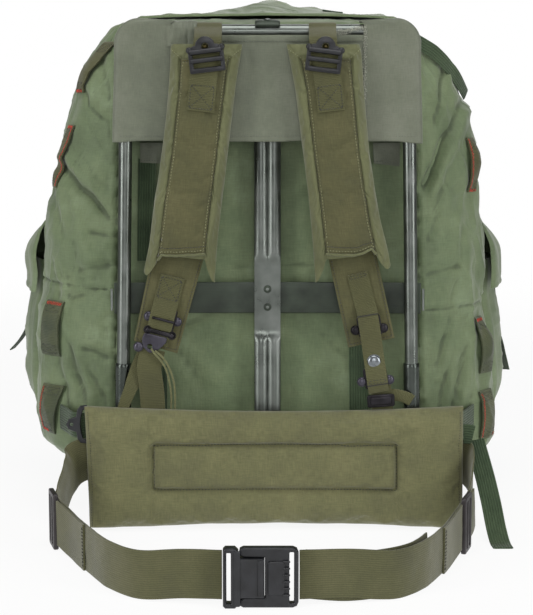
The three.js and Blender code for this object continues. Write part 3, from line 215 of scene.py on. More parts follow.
def node(tree, kind, inputs=None, **settings):
    """Adds a shader node with its settings. inputs maps sockets, by name or number, to values or sockets."""
    made = tree.nodes.new("ShaderNode" + kind)
    for name, value in settings.items():
        setattr(made, name, value)
    for name, value in (inputs or {}).items():
        if isinstance(value, bpy.types.NodeSocket):
            tree.links.new(value, made.inputs[name])
        else:
            made.inputs[name].default_value = value
    return made


def spread(tree, value, low, high, to_low=0.0, to_high=1.0):
    """A value between low and high, spread from to_low to to_high."""
    return node(tree, "MapRange", {"Value": value, "From Min": low, "From Max": high, "To Min": to_low,
        "To Max": to_high}).outputs[0]


def new_object(name, data):
    made = bpy.data.objects.new(name, data)
    bpy.context.scene.collection.objects.link(made)
    return made


def new_material(name):
    material = bpy.data.materials.new(name)
    material.use_nodes = True
    material.node_tree.nodes.clear()
    return material, material.node_tree


def ramp(tree, factor, stops):
    """A colour ramp: stops are (place, linear colour)."""
    made = node(tree, "ValToRGB", {"Fac": factor})
    elements = made.color_ramp.elements
    while len(elements) < len(stops):
        elements.new(0.5)
    for element, (place, value) in zip(elements, stops):
        element.position = place
        element.color = value
    return made.outputs["Color"]


def close_material(tree, inputs):
    shader = node(tree, "BsdfPrincipled", inputs)
    node(tree, "OutputMaterial", {"Surface": shader.outputs[0]})


def stretched_noise(tree, place, across, along, detail=1.0, rough=0.5):
    """Noise whose grains are across by along mm on the cloth."""
    scaled = node(tree, "VectorMath", {0: place, 1: (1 / (across * MM), 1 / (along * MM),
        1 / (along * MM))}, operation="MULTIPLY")
    made = node(tree, "TexNoise", {"Vector": scaled.outputs[0], "Scale": 1.0, "Detail": detail,
        "Roughness": rough})
    return made.outputs["Fac"]


def total(tree, *values):
    """The sum of some sockets or numbers."""
    out = values[0]
    for value in values[1:]:
        out = node(tree, "Math", {0: out, 1: value}, operation="ADD").outputs[0]
    return out


def times(tree, value, factor):
    return node(tree, "Math", {0: value, 1: factor}, operation="MULTIPLY").outputs[0]


def shaded(tree, base, grain, strength):
    """A colour made lighter and darker by a grain round 0.5."""
    level = spread(tree, grain, 0.25, 0.75, 1 - strength, 1 + strength)
    mixed = node(tree, "Mix", {0: 1.0, 6: base, 7: level}, data_type="RGBA", blend_type="MULTIPLY")
    return mixed.outputs[2]


def bump(tree, height, depth, normal=None):
    inputs = {"Height": height, "Distance": depth * MM, "Strength": 1.0}
    if normal is not None:
        inputs["Normal"] = normal
    return node(tree, "Bump", inputs).outputs[0]


# Across a patch of fine creases
CREASE_GRAIN = 22.0


def woven(name, shades, thread, contrast, depth, crease, roughness, sheen, specular, patch=60.0, rib=None,
        painted_fold_shade=0.0):
    """A woven cloth. shades run from its dark to its faded colour, and thread is the drawn spacing. rib is
    the pitch, depth and direction of ribs, if any. crease is the depth of creases too fine for the mesh,
    and the last argument is how much shade is painted into the colour: darker in folds than on ridges."""
    material, tree = new_material(name)
    place = node(tree, "UVMap", uv_map=CLOTH_MAP).outputs[0]
    space = node(tree, "TexCoord").outputs["Object"]
    warp = stretched_noise(tree, place, thread, thread * 9)
    weft = stretched_noise(tree, place, thread * 9, thread)
    grain = times(tree, total(tree, warp, weft), 0.5)
    faded = stretched_noise(tree, space, patch, patch, 4.0, 0.6)
    steps = [(0.34 + 0.32 * i / (len(shades) - 1), colour(shade)) for i, shade in enumerate(shades)]
    base = shaded(tree, ramp(tree, faded, steps), grain, contrast)
    # Painted shade: the colour is darkened in the mesh's folds, found from its pointiness, and lightened on
    # flat and raised cloth
    if painted_fold_shade:
        bend = node(tree, "NewGeometry").outputs["Pointiness"]
        painted_fold_level = spread(tree, bend, 0.44, 0.51)
        base = shaded(tree, base, painted_fold_level, painted_fold_shade)
    rumple = stretched_noise(tree, space, CREASE_GRAIN, CREASE_GRAIN, 5.0, 0.55)
    normal = bump(tree, rumple, crease)
    if rib is not None:
        pitch, rib_depth, along = rib
        direction = "Y" if along else "X"
        # A wave texture's period is 0.314 over its scale
        wave = node(tree, "TexWave", {"Vector": place, "Scale": 0.31416 / (pitch * MM), "Distortion": 0.35,
            "Detail": 1.0}, wave_type="BANDS", bands_direction=direction)
        ribs = wave.outputs["Fac"]
        base = shaded(tree, base, ribs, contrast * 0.8)
        normal = bump(tree, ribs, rib_depth, normal)
    normal = bump(tree, grain, depth, normal)
    close_material(tree, {"Base Color": base, "Roughness": roughness, "Sheen Weight": sheen,
        "Sheen Roughness": 0.45, "Specular IOR Level": specular, "Normal": normal})
    return material


# Nylon packcloth, dyed sage, worn and washed: a low satin sheen, faded patches and a fine plain weave. Its
# threads lie 0.35 mm apart, drawn at 1.3 mm so that the render can show them.
# Shade is painted into its colour: darker in the folds, lighter on flat and raised cloth
packcloth = woven("sage_nylon_packcloth", ["4f5b41", "566347", "5c684b", "647155"], 1.3, 0.16, 0.16, 1.3,
    0.6, 0.25, 0.35, painted_fold_shade=0.3)
# Coated nylon, worn grey: finer threads and a smoother skin than the packcloth
coated_nylon = woven("grey_coated_nylon", ["5a5f51", "636858", "6c7061"], 0.9, 0.14, 0.12, 0.5, 0.55, 0.2,
    0.35)
# Textured olive nylon packcloth over foam: matt, with brownish and greenish threads 0.5 mm apart, drawn at
# 1.1 mm
pad_cloth = woven("olive_textured_nylon", ["616144", "676747", "6d6c4b"], 1.1, 0.24, 0.2, 0.3, 0.8, 0.3,
    0.25, patch=45.0)
# The straps' cloth: the same, browner and darker from wear
strap_cloth = woven("olive_worn_textured_nylon", ["4b4b32", "515034", "575538"], 1.1, 0.22, 0.2, 0.3, 0.8,
    0.3, 0.25, patch=45.0)
# The straps' rolled side pieces: a smoother, paler olive cloth
edge_cloth = woven("olive_plain_nylon", ["595c3f", "5f6242", "656847"], 1.0, 0.12, 0.14, 0.5, 0.7, 0.3, 0.3)
# Olive nylon webbing: dull, with weft ribs 1 mm apart, drawn at 1.7 mm
olive_webbing = woven("olive_nylon_webbing", ["4c4c32", "515134", "57573a"], 1.0, 0.12, 0.12, 0.2, 0.78,
    0.25, 0.25, rib=(1.7, 0.25, True))
# Belt webbing: the same yarn in a broken twill, smoother to the eye, with faint long ribs 2 mm apart
belt_webbing = woven("olive_twill_webbing", ["4d4d35", "535337", "59583c"], 1.0, 0.14, 0.15, 0.2, 0.75, 0.3,
    0.25, rib=(2.0, 0.12, False))
# Dark green nylon webbing with long ribs 2.6 mm apart
green_webbing = woven("green_nylon_webbing", ["2a3826", "36462f", "425239"], 1.1, 0.16, 0.15, 0.2, 0.75,
    0.2, 0.3, rib=(2.6, 0.5, False))


# The keepers' webbing, the dark green of the bag's own straps with the olive keepers' cross ribs
dark_webbing = woven("dark_olive_webbing", ["3a4230", "4a5038", "585b3e"], 1.0, 0.14, 0.14, 0.2, 0.78, 0.25,
    0.25, rib=(1.7, 0.3, True))


def metal(name, shades, roughness, scratch, metallic=1.0):
    """Metal with drawn lines along the piece; its roughness wanders with handling."""
    material, tree = new_material(name)
    place = node(tree, "UVMap", uv_map=CLOTH_MAP).outputs[0]
    space = node(tree, "TexCoord").outputs["Object"]
    drawn = stretched_noise(tree, place, 0.8, 70.0, 2.0)
    handled = stretched_noise(tree, space, 18.0, 18.0, 3.0)
    steps = [(0.3 + 0.4 * i / (len(shades) - 1), colour(shade)) for i, shade in enumerate(shades)]
    base = shaded(tree, ramp(tree, handled, steps), drawn, scratch)
    rough = spread(tree, handled, 0.3, 0.7, roughness * 0.8, roughness * 1.25)
    close_material(tree, {"Base Color": base, "Metallic": metallic, "Roughness": rough,
        "Normal": bump(tree, drawn, 0.03)})
    return material


# Anodised aluminium tube, dark grey-green: satin, with bright lines where the lamps reflect
anodised = metal("anodised_aluminium", ["6a6f6a", "737873", "7d817d"], 0.34, 0.03)
# The frame's foot, a darker copy of the tube's metal as painted shade: a dull green-grey with broad soft
# highlights
shade_painted_anodised = metal("dark_anodised_aluminium", ["454a46", "4d524e", "565b57"], 0.28, 0.12)
# Painted flat strip: duller and darker than the tube
painted_strip = metal("painted_aluminium", ["293028", "333b31", "3b4439"], 0.42, 0.08, metallic=0.35)
# Blackened steel
black_steel = metal("blackened_steel", ["1a191b", "29272a", "3a383c"], 0.3, 0.15, metallic=0.85)
# Purple-grey phosphated steel of the quick release
grey_steel = metal("phosphated_steel", ["3d3b43", "4b4952", "5a5862"], 0.32, 0.15, metallic=0.8)
# Brass rivet, tarnished
brass_metal = metal("tarnished_brass", ["4a4228", "5d5433"], 0.35, 0.1)
# Chromed snap cap, dark
snap_metal = metal("dark_chrome", ["7a7f83", "8c9195"], 0.26, 0.05)


def moulded(name, shades, roughness):
    """Moulded acetal: near black, with a fine grained skin."""
    material, tree = new_material(name)
    space = node(tree, "TexCoord").outputs["Object"]
    skin = stretched_noise(tree, space, 0.7, 0.7, 2.0)
    handled = stretched_noise(tree, space, 12.0, 12.0, 3.0)
    steps = [(0.35, colour(shades[0])), (0.65, colour(shades[1]))]
    close_material(tree, {"Base Color": ramp(tree, handled, steps), "Roughness": roughness,
        "Specular IOR Level": 0.5, "Normal": bump(tree, skin, 0.05)})
    return material


# Black acetal: buckles
acetal = moulded("black_acetal", ["101114", "1f2024"], 0.38)
# The tri-glides' older moulding, brownish black
brown_acetal = moulded("brown_black_acetal", ["1c1819", "2c2728"], 0.42)


def plain_thread(name, shade):
    """Sewing thread: twisted nylon, one dyed colour that varies a little along its length."""
    material, tree = new_material(name)
    space = node(tree, "TexCoord").outputs["Object"]
    grain = stretched_noise(tree, space, 2.0, 2.0, 2.0)
    base = shaded(tree, colour(shade), grain, 0.3)
    close_material(tree, {"Base Color": base, "Roughness": 0.7, "Sheen Weight": 0.2})
    return material


olive_thread = plain_thread("olive_nylon_thread", "24241a")
pale_thread = plain_thread("pale_olive_thread", "80825c")
dark_thread = plain_thread("black_nylon_thread", "191b14")
red_thread = plain_thread("red_nylon_thread", "c23a22")
fray_thread = plain_thread("frayed_grey_thread", "a9ab9c")
grey_thread = plain_thread("grey_green_thread", "474c42")
# Braided cover of the pull cord
cord_cover = plain_thread("olive_braided_cord", "63643f")


# Kinds of stitches: the spacing, length and width of one stitch in millimetres
SEWN = {"pitch": 3.0, "length": 2.0, "width": 0.8}
TOPSTITCH = {"pitch": 3.0, "length": 2.1, "width": 0.75}
FINE = {"pitch": 3.0, "length": 1.9, "width": 0.5}
TAB_THREAD = {"pitch": 2.4, "length": 1.7, "width": 0.5}
TACK = {"pitch": 1.9, "length": 1.9, "width": 0.75, "lift": 0.4}
QUILTING = {"pitch": 3.2, "length": 2.4, "width": 0.85, "lift": 0.3}


# Mesh making

def quad_faces(index):
    """The four corners of each face of a grid of point numbers, or of anything else on the grid."""
    return np.stack((index[:-1, :-1], index[:-1, 1:], index[1:, 1:], index[1:, :-1]), 2)


def loop_between(one, other):
    """Two rings of points as the closed rows of a grid."""
    rows = np.stack((one, other))
    return np.concatenate((rows, rows[:, :1]), 1)


class Shell:
    """Collects grids of points with their place on the cloth, then makes one mesh of them."""

    def __init__(self):
        self.points = []
        self.faces = []
        self.corners = []
        self.count = 0

    def add_points(self, points):
        points = floats(points)
        self.points.append(points.reshape(-1, 3))
        index = self.count + np.arange(points.size // 3).reshape(points.shape[:-1])
        self.count += points.size // 3
        return index

    def quads(self, index, cloth):
        """Faces over a grid of point numbers, with the cloth place of each grid point."""
        self.faces.append(quad_faces(index).reshape(-1, 4))
        self.corners.append(quad_faces(cloth).reshape(-1, 4, 2))

    def grid(self, points, cloth, closed=False):
        """A grid of points; a closed one joins its last column to its first."""
        index = self.add_points(points)
        used = np.concatenate((index, index[:, :1]), 1) if closed else index
        self.quads(used, cloth)
        return index

    def fan(self, ring):
        """Closes a ring of point numbers with quads and triangles to its middle."""
        flat = np.concatenate(self.points)
        middle = self.add_points(flat[ring].mean(0)[None])[0]
        following = np.roll(ring, -1)
        faces = np.stack((ring, following, np.full(len(ring), middle), np.full(len(ring), middle)), -1)
        self.faces.append(faces)
        self.corners.append(np.zeros((len(ring), 4, 2)))

    def build(self, name, material, smooth_angle=40.0):
        points = part(np.concatenate(self.points))
        faces = np.concatenate(self.faces)
        corners = np.concatenate(self.corners)
        lists = []
        places = []
        for face, corner in zip(faces.tolist(), corners.tolist()):
            if face[2] == face[3]:
                face = face[:3]
                corner = corner[:3]
            lists.append(face)
            places.extend(corner)
        mesh = bpy.data.meshes.new(name)
        mesh.from_pydata(points.tolist(), [], lists)
        layer = mesh.uv_layers.new(name=CLOTH_MAP)
        layer.uv.foreach_set("vector", (np.asarray(places, np.float32) * MM).ravel())
        return finish_mesh(name, mesh, material, smooth_angle)


def finish_mesh(name, mesh, material, smooth_angle=40.0):
    """Turns a closed mesh's faces out, smooths it up to an angle and makes it a piece on the part."""
    work = bmesh.new()
    work.from_mesh(mesh)
    bmesh.ops.remove_doubles(work, verts=work.verts, dist=1e-6)
    bmesh.ops.dissolve_degenerate(work, edges=work.edges, dist=1e-7)
    bmesh.ops.recalc_face_normals(work, faces=work.faces)
    work.to_mesh(mesh)
    work.free()
    mesh.shade_smooth()
    mesh.set_sharp_from_angle(angle=math.radians(smooth_angle))
    mesh.materials.append(material)
    piece = new_object(name, mesh)
    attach(piece, "root")
    return piece


def stands_for(piece, slot, *nodes):
    if nodes:
        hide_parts(*nodes)
    return piece


def flat_cloth(points):
    """Cloth coordinates of a grid from the lengths along its rows and columns."""
    across = np.linalg.norm(np.diff(points, axis=1), axis=-1)
    along = np.linalg.norm(np.diff(points, axis=0), axis=-1)
    u = np.concatenate((np.zeros((len(points), 1)), np.cumsum(across, 1)), 1)
    v = np.concatenate((np.zeros((1, points.shape[1])), np.cumsum(along, 0)), 0)
    return np.stack((u - u[:, -1:] / 2, v), -1)


def rim_of(index):
    return np.concatenate((index[0, :-1], index[:-1, -1], index[-1, :0:-1], index[:0:-1, 0]))


def slab(name, front, back, material, cloth=None, smooth_angle=50.0):
    """A closed piece of cloth between two grids of points."""
    front = floats(front)
    cloth = flat_cloth(front) if cloth is None else cloth
    shell = Shell()
    top = shell.grid(front, cloth)
    under = shell.grid(floats(back), cloth)
    grid_numbers = np.arange(cloth.shape[0] * cloth.shape[1]).reshape(cloth.shape[:2])
    edge = cloth.reshape(-1, 2)[rim_of(grid_numbers)]
    loop = loop_between(rim_of(top), rim_of(under))
    edge = np.concatenate((edge, edge[:1]))
    shell.quads(loop, np.stack((edge, edge + (0.0, 1.0))))
    return shell.build(name, material, smooth_angle)


def spline(points, spacing):
    """Points at even steps along a centripetal curve through the given points."""
    points = floats(points)
    if len(points) < 3:
        dense = points
    else:
        ends = np.concatenate((2 * points[:1] - points[1:2], points, 2 * points[-1:] - points[-2:-1]))
        knots = np.concatenate(([0.0], np.cumsum(np.sqrt(np.linalg.norm(np.diff(ends, axis=0), axis=1)) +
            1e-9)))
        pieces = []
        for i in range(1, len(ends) - 2):
            t = np.linspace(knots[i], knots[i + 1], 24, endpoint=False)[:, None]
            p0, p1, p2, p3 = ends[i - 1:i + 3]
            t0, t1, t2, t3 = knots[i - 1:i + 3]
            a1 = (t1 - t) / (t1 - t0) * p0 + (t - t0) / (t1 - t0) * p1
            a2 = (t2 - t) / (t2 - t1) * p1 + (t - t1) / (t2 - t1) * p2
            a3 = (t3 - t) / (t3 - t2) * p2 + (t - t2) / (t3 - t2) * p3
            b1 = (t2 - t) / (t2 - t0) * a1 + (t - t0) / (t2 - t0) * a2
            b2 = (t3 - t) / (t3 - t1) * a2 + (t - t1) / (t3 - t1) * a3
            pieces.append((t2 - t) / (t2 - t1) * b1 + (t - t1) / (t2 - t1) * b2)
        dense = np.concatenate((*pieces, points[-1:]))
    lengths = run_of(dense)
    count = max(2, int(round(lengths[-1] / spacing)) + 1)
    wanted = np.linspace(0, lengths[-1], count)
    return sampled(wanted, lengths, dense)


class Strap:
    """A flat strap's middle line with its width and normal directions at each step."""

    def __init__(self, path, width, across, spacing=2.5):
        self.middle = spline(path, spacing)
        count = len(self.middle)
        self.along = unit(np.gradient(self.middle, axis=0))
        hint = floats(across)
        if hint.ndim == 2:
            share = np.linspace(0, len(hint) - 1, count)
            hint = sampled(share, np.arange(len(hint)), hint)
        else:
            hint = np.tile(hint, (count, 1))
        self.across = unit(hint - self.along * (hint * self.along).sum(1, keepdims=True))
        self.normal = np.cross(self.along, self.across)
        widths = floats(width)
        if widths.ndim:
            self.width = np.interp(np.linspace(0, 1, count), np.linspace(0, 1, len(widths)), widths)
        else:
            self.width = np.full(count, float(widths))
        self.length = run_of(self.middle)

    def at(self, offset, distance, lift=0.0):
        """Points at offsets across (mm) and distances along (mm), lifted along the normal."""
        distance = floats(distance)

        def pick(values):
            return sampled(distance, self.length, values)

        offset = floats(offset)[..., None]
        lift = floats(lift)[..., None]
        return pick(self.middle) + offset * unit(pick(self.across)) + lift * unit(pick(self.normal))

    def facing(self, distance):
        return unit(sampled(distance, self.length, self.normal))


def strap_piece(name, strap, thickness, material, steps=8, wave=0.0, seed=1):
    """The cloth of a strap, with slightly thinner edges and a soft wave across its face."""
    w = np.linspace(-1, 1, steps + 1)
    half = strap.width[:, None] / 2
    edge = 1 - 0.45 * np.abs(w) ** 10
    base = strap.middle[:, None] + strap.across[:, None] * (w[None, :, None] * half[..., None])
    rise = wave * lumps(base, 14.0, seed)
    outer = (rise + thickness / 2 * edge[None])[..., None] * strap.normal[:, None]
    inner = (rise - thickness / 2 * edge[None])[..., None] * strap.normal[:, None]
    cloth = np.stack(np.broadcast_arrays(w[None] * half, strap.length[:, None]), -1)
    return slab(name, base + outer, base + inner, material, cloth)


def stitch_line(points, normals, pitch=3.4, length=2.3, width=0.6):
    """Places of single stitches along a line: middles, directions, normals."""
    points = floats(points)
    lengths = run_of(points)
    count = max(1, int(lengths[-1] / pitch))
    wanted = (np.arange(count) + 0.5) * lengths[-1] / count
    at = sampled(wanted, lengths, points)
    step = 0.5 * length
    ahead = sampled(wanted + step, lengths, points)
    behind = sampled(wanted - step, lengths, points)
    normals = floats(normals)
    if normals.ndim == 1:
        facing = np.tile(normals, (count, 1))
    else:
        facing = unit(sampled(wanted, lengths, normals))
    return np.concatenate((at, unit(ahead - behind), facing), 1), (length, width)


def make_stitches(name, lines, material):
    """One mesh of many small round-ended stitches."""
    points = []
    faces = []
    count = 0
    ring = np.array([(1, 0), (0, 1), (-1, 0), (0, -1)], float)
    for rows, (length, width) in lines:
        at, way, facing = rows[:, :3], rows[:, 3:6], rows[:, 6:]
        side = unit(np.cross(way, facing))
        body = [at - way * length / 2, *[
            at + way * length * end + side * (a * width / 2) + facing * (b * width * 0.4)
            for end in (-0.28, 0.28) for a, b in ring
        ], at + way * length / 2]
        points.append(np.stack(body, 1).reshape(-1, 3))
        shape = [(0, 1 + i, 1 + (i + 1) % 4) for i in range(4)]
        shape += [(1 + i, 5 + i, 5 + (i + 1) % 4, 1 + (i + 1) % 4) for i in range(4)]
        shape += [(9, 5 + (i + 1) % 4, 5 + i) for i in range(4)]
        for k in range(len(rows)):
            faces.extend([tuple(count + 10 * k + v for v in face) for face in shape])
        count += 10 * len(rows)
    mesh = bpy.data.meshes.new(name)
    mesh.from_pydata(part(np.concatenate(points)).tolist(), [], faces)
    mesh.shade_smooth()
    mesh.materials.append(material)
    piece = new_object(name, mesh)
    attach(piece, "root")
    return piece


def tree_of(piece):
    """A search tree over a piece's faces, in the row frame."""
    mesh = piece.data
    return BVHTree.FromPolygons([v.co[:] for v in mesh.vertices], [p.vertices[:] for p in mesh.polygons])


def moulding(name, outlines, depth, place, turn, material, edge=0.5):
    """A flat part with rounded edges from an outline and its holes, drawn in x and z. place is its middle,
    and turn its rotations about x, y and z in degrees. Its depth runs along y, to both sides of place."""
    data = bpy.data.curves.new(name, "CURVE")
    data.dimensions = "2D"
    data.fill_mode = "BOTH"
    data.extrude = (depth / 2 - edge) * MM
    data.bevel_depth = edge * MM
    data.bevel_resolution = 2
    data.offset = -edge * MM
    for outline in outlines:
        curve = data.splines.new("POLY")
        curve.points.add(len(outline) - 1)
        for point, (x, z) in zip(curve.points, outline):
            point.co = (x * MM, z * MM, 0, 1)
        curve.use_cyclic_u = True
    drawn = new_object(name + "_outline", data)
    bpy.context.view_layer.update()
    mesh = bpy.data.meshes.new_from_object(drawn.evaluated_get(bpy.context.evaluated_depsgraph_get()))
    bpy.data.objects.remove(drawn)
    rx, ry, rz = (math.radians(angle) for angle in turn)
    points = np.array([v.co[:] for v in mesh.vertices])
    points = np.stack((points[:, 0], -points[:, 2], points[:, 1]), -1) / MM
    for axis, angle in (("y", ry), ("x", rx), ("z", rz)):
        c, s = math.cos(angle), math.sin(angle)
        spin = {"x": [[1, 0, 0], [0, c, -s], [0, s, c]], "y": [[c, 0, s], [0, 1, 0], [-s, 0, c]],
                "z": [[c, -s, 0], [s, c, 0], [0, 0, 1]]}[axis]
        points = points @ np.array(spin).T
    points = part(points + floats(place))
    mesh.vertices.foreach_set("co", points.astype(np.float32).ravel())
    mesh.name = name
    mesh.materials.clear()
    layer = mesh.uv_layers.get(CLOTH_MAP) or mesh.uv_layers.new(name=CLOTH_MAP)
    corner = np.empty(len(mesh.loops), int)
    mesh.loops.foreach_get("vertex_index", corner)
    layer.uv.foreach_set("vector", points[corner][:, (0, 2)].astype(np.float32).ravel())
    return finish_mesh(name, mesh, material, 35.0)


def arc(x, z, radius, first, last, steps):
    """Points of an arc in x and z, from a first angle to a last one in degrees."""
    angles = np.radians(np.linspace(first, last, steps + 1))
    return [(x + radius * math.cos(a), z + radius * math.sin(a)) for a in angles]


def rounded(width, height, radius, x=0.0, z=0.0):
    """A rectangle with round corners."""
    steps = 5
    w = width / 2 - radius
    h = height / 2 - radius
    return [*arc(x + w, z - h, radius, -90, 0, steps), *arc(x + w, z + h, radius, 0, 90, steps),
            *arc(x - w, z + h, radius, 90, 180, steps), *arc(x - w, z - h, radius, 180, 270, steps)]


def circle(x, z, radius):
    return arc(x, z, radius, 0, 360, 20)[:-1]


def sweep(name, path, radii, material, sides=28):
    """A round bar along close points, with one radius or one at each point."""
    path = floats(path)
    along = unit(np.gradient(path, axis=0))
    same = np.linalg.norm(np.gradient(path, axis=0), axis=1) < 1e-6
    for i in np.where(same)[0]:
        along[i] = along[i - 1]
    side = unit(np.cross(along, np.array((0.0, 1.0, 0.0))))
    other = np.cross(along, side)
    angles = np.linspace(0, 2 * math.pi, sides + 1)
    ring = np.cos(angles)[None, :, None] * side[:, None] + np.sin(angles)[None, :, None] * other[:, None]
    points = path[:, None] + ring * np.broadcast_to(floats(radii), len(path))[:, None, None]
    length = run_of(path)
    cloth = np.stack(np.broadcast_arrays(angles[None] * UPPER_RADIUS, length[:, None]), -1)
    shell = Shell()
    index = shell.grid(points[:, :-1], cloth, closed=True)
    shell.fan(index[0])
    shell.fan(index[-1])
    return shell.build(name, material)


# The frame's metal

def upper_path():
    foot = SOCKET_TOP - 24
    corner_z = TOP_BAR - TOP_CORNER
    corner_x = tube_x(corner_z) - TOP_CORNER
    half = [(-tube_x(z), 0, z) for z in np.linspace(foot, corner_z - 4, 24)]
    bend = [(x, 0, z) for x, z in arc(-corner_x, corner_z, TOP_CORNER, 180, 90, 16)]
    bar = [(x, 0, TOP_BAR) for x in np.linspace(-corner_x + 6, 0, 10)]
    left = half + bend + bar
    return left + [(-x, y, z) for x, y, z in left[-2::-1]]


def bottom_bar_y(x):
    reach = tube_x(0) - BOTTOM_CORNER
    return BOTTOM_BAR_BOW * max(0.0, 1 - (x / reach) ** 2)


def lower_path():
    """The lower bow with its sockets: points and radii, from inside one socket round to inside the other."""
    bore = UPPER_RADIUS + 0.25
    mouth = SOCKET_TOP - 0.6
    inside = [(SOCKET_TOP - 22, bore), (mouth, bore), (SOCKET_TOP, bore + 0.5),
        (SOCKET_TOP, LOWER_RADIUS - 0.4), (mouth, LOWER_RADIUS)]
    corner_z = LOWER_RADIUS + BOTTOM_CORNER
    corner_x = tube_x(corner_z) - BOTTOM_CORNER
    points = [((-tube_x(z), 0, z), r) for z, r in inside]
    points += [((-tube_x(z), 0, z), LOWER_RADIUS) for z in np.linspace(SOCKET_TOP - 4, corner_z + 2, 14)]
    points += [((x, 0, z), LOWER_RADIUS) for x, z in arc(-corner_x, corner_z, BOTTOM_CORNER, 180, 270, 12)]
    points += [((x, bottom_bar_y(x), LOWER_RADIUS), LOWER_RADIUS) for x in np.linspace(-corner_x + 8, 0,
        12)]
    mirrored = [((-x, y, z), r) for (x, y, z), r in points[-2::-1]]
    return zip(*(points + mirrored))


def crossbar_y(x):
    reach = tube_x(CROSSBAR_HEIGHT)
    return UPPER_RADIUS + GAP + CROSSBAR_BOW * (1 - (x / reach) ** 2)


POST_FLAT_THICK = 4.0
POST_THICK = 10.0
POST_FLAT_TOP = CROSSBAR_HEIGHT + 32
POST_FLAT_BOTTOM = CROSSBAR_HEIGHT - 32


def post_y(height):
    middle = crossbar_y(0) - GAP - POST_FLAT_THICK / 2
    top = UPPER_RADIUS + GAP + POST_FLAT_THICK / 2
    bottom = bottom_bar_y(0) - LOWER_RADIUS - GAP - POST_THICK / 2
    heights = (LOWER_RADIUS, POST_FLAT_BOTTOM, POST_FLAT_TOP, TOP_BAR)
    return float(np.interp(height, heights, (bottom, middle, middle, top)))


def post_ring(height, roundness):
    """Two rounded lobes with a groove between them, which flatten into one plate."""
    half = POST_WIDTH / 2
    angles = np.linspace(0, 2 * math.pi, 73)[:-1]
    x = np.cos(angles)
    lobe = np.abs(np.sin(math.pi * np.clip(np.abs(x), 0, 1)) ** 2) ** 0.42
    round_depth = np.where(np.sin(angles) < 0, -(0.34 + 0.66 * lobe), 0.3 + 0.7 * lobe)
    round_depth *= np.minimum(1, np.abs(np.sin(angles)) * 6) ** 0.6
    flat_depth = np.sign(np.sin(angles)) * np.minimum(1, np.abs(np.sin(angles)) * 9) ** 0.6
    thick = POST_FLAT_THICK + (POST_THICK - POST_FLAT_THICK) * roundness
    depth = flat_depth * (1 - roundness) + round_depth * roundness
    return np.stack((x * half, post_y(height) + depth * thick / 2, np.full(len(x), height)), -1)


def round_edges(piece, radius):
    bevel = piece.modifiers.new("rounded", "BEVEL")
    bevel.width = radius * MM
    bevel.segments = 2


def make_post():
    rows = [(LOWER_RADIUS - 4, 1)]
    rows += [(z, 1) for z in np.linspace(20, POST_FLAT_BOTTOM - 15, 12)]
    rows += [(z, float(smoothstep(POST_FLAT_BOTTOM - z, 2, 13))) for z in np.linspace(POST_FLAT_BOTTOM - 13,
        POST_FLAT_BOTTOM, 7)]
    rows += [(z, 0) for z in np.linspace(POST_FLAT_BOTTOM + 4, POST_FLAT_TOP - 4, 6)]
    rows += [(z, float(smoothstep(z - POST_FLAT_TOP, 2, 13))) for z in np.linspace(POST_FLAT_TOP,
        POST_FLAT_TOP + 13, 7)]
    rows += [(z, 1) for z in np.linspace(POST_FLAT_TOP + 16, TOP_BAR - 28, 14)]
    rows += [(z, 1 - float(smoothstep(z, TOP_BAR - 26, TOP_BAR - 8))) for z in np.linspace(TOP_BAR - 26,
        TOP_BAR - 6, 7)]
    rings = np.array([post_ring(z, roundness) for z, roundness in rows])
    shell = Shell()
    around = np.concatenate(([0.0], np.cumsum(np.linalg.norm(np.diff(rings[3], axis=0), axis=1)), [64.0]))
    cloth = np.stack(np.broadcast_arrays(around[None], np.array([[z] for z, _ in rows])), -1)
    index = shell.grid(rings, cloth, closed=True)
    shell.fan(index[0])
    shell.fan(index[-1])
    shank = shell.build("post_shank", anodised, 50)
    wrap = []
    radius = UPPER_RADIUS + GAP + POST_FLAT_THICK / 2
    for angle in np.linspace(-42, 148, 20):
        turn = math.radians(angle)
        wrap.append((0, radius * math.cos(turn), TOP_BAR + radius * math.sin(turn)))
    cap_line = Strap(wrap, POST_WIDTH - 2, SIDEWAYS, 1.2)
    cap = strap_piece("post_cap", cap_line, POST_FLAT_THICK, painted_strip, steps=10)
    round_edges(cap, 0.8)
    stands_for(shank, "frame_metal", "center_post")
    stands_for(cap, "frame_metal")


def dome(name, place, radius, height, material, way=WEARER, rings=7, sides=24, rim=0.0):
    """A rivet head or stud that faces a direction."""
    way = unit(np.array(way, float))
    side = unit(np.cross(way, (0.3, 0.2, 0.9)))
    other = np.cross(way, side)
    angles = np.linspace(0, 2 * math.pi, sides, endpoint=False)
    profile = [(radius, 0.0), (radius, rim), *[
        ((radius - rim * 0.6) * math.cos(a), rim + (height - rim) * math.sin(a))
        for a in np.linspace(0, math.pi / 2 * 0.96, rings)
    ]]
    rows = []
    for r, h in profile:
        ring = np.cos(angles)[:, None] * side + np.sin(angles)[:, None] * other
        rows.append(floats(place) + ring * r + way * h)
    rows = np.array(rows)
    shell = Shell()
    cloth = np.stack(np.broadcast_arrays(np.linspace(0, radius * 6, sides + 1)[None],
        np.arange(len(rows))[:, None] * 1.0), -1)
    index = shell.grid(rows, cloth, closed=True)
    shell.fan(index[0])
    shell.fan(index[-1])
    return shell.build(name, material, 45)


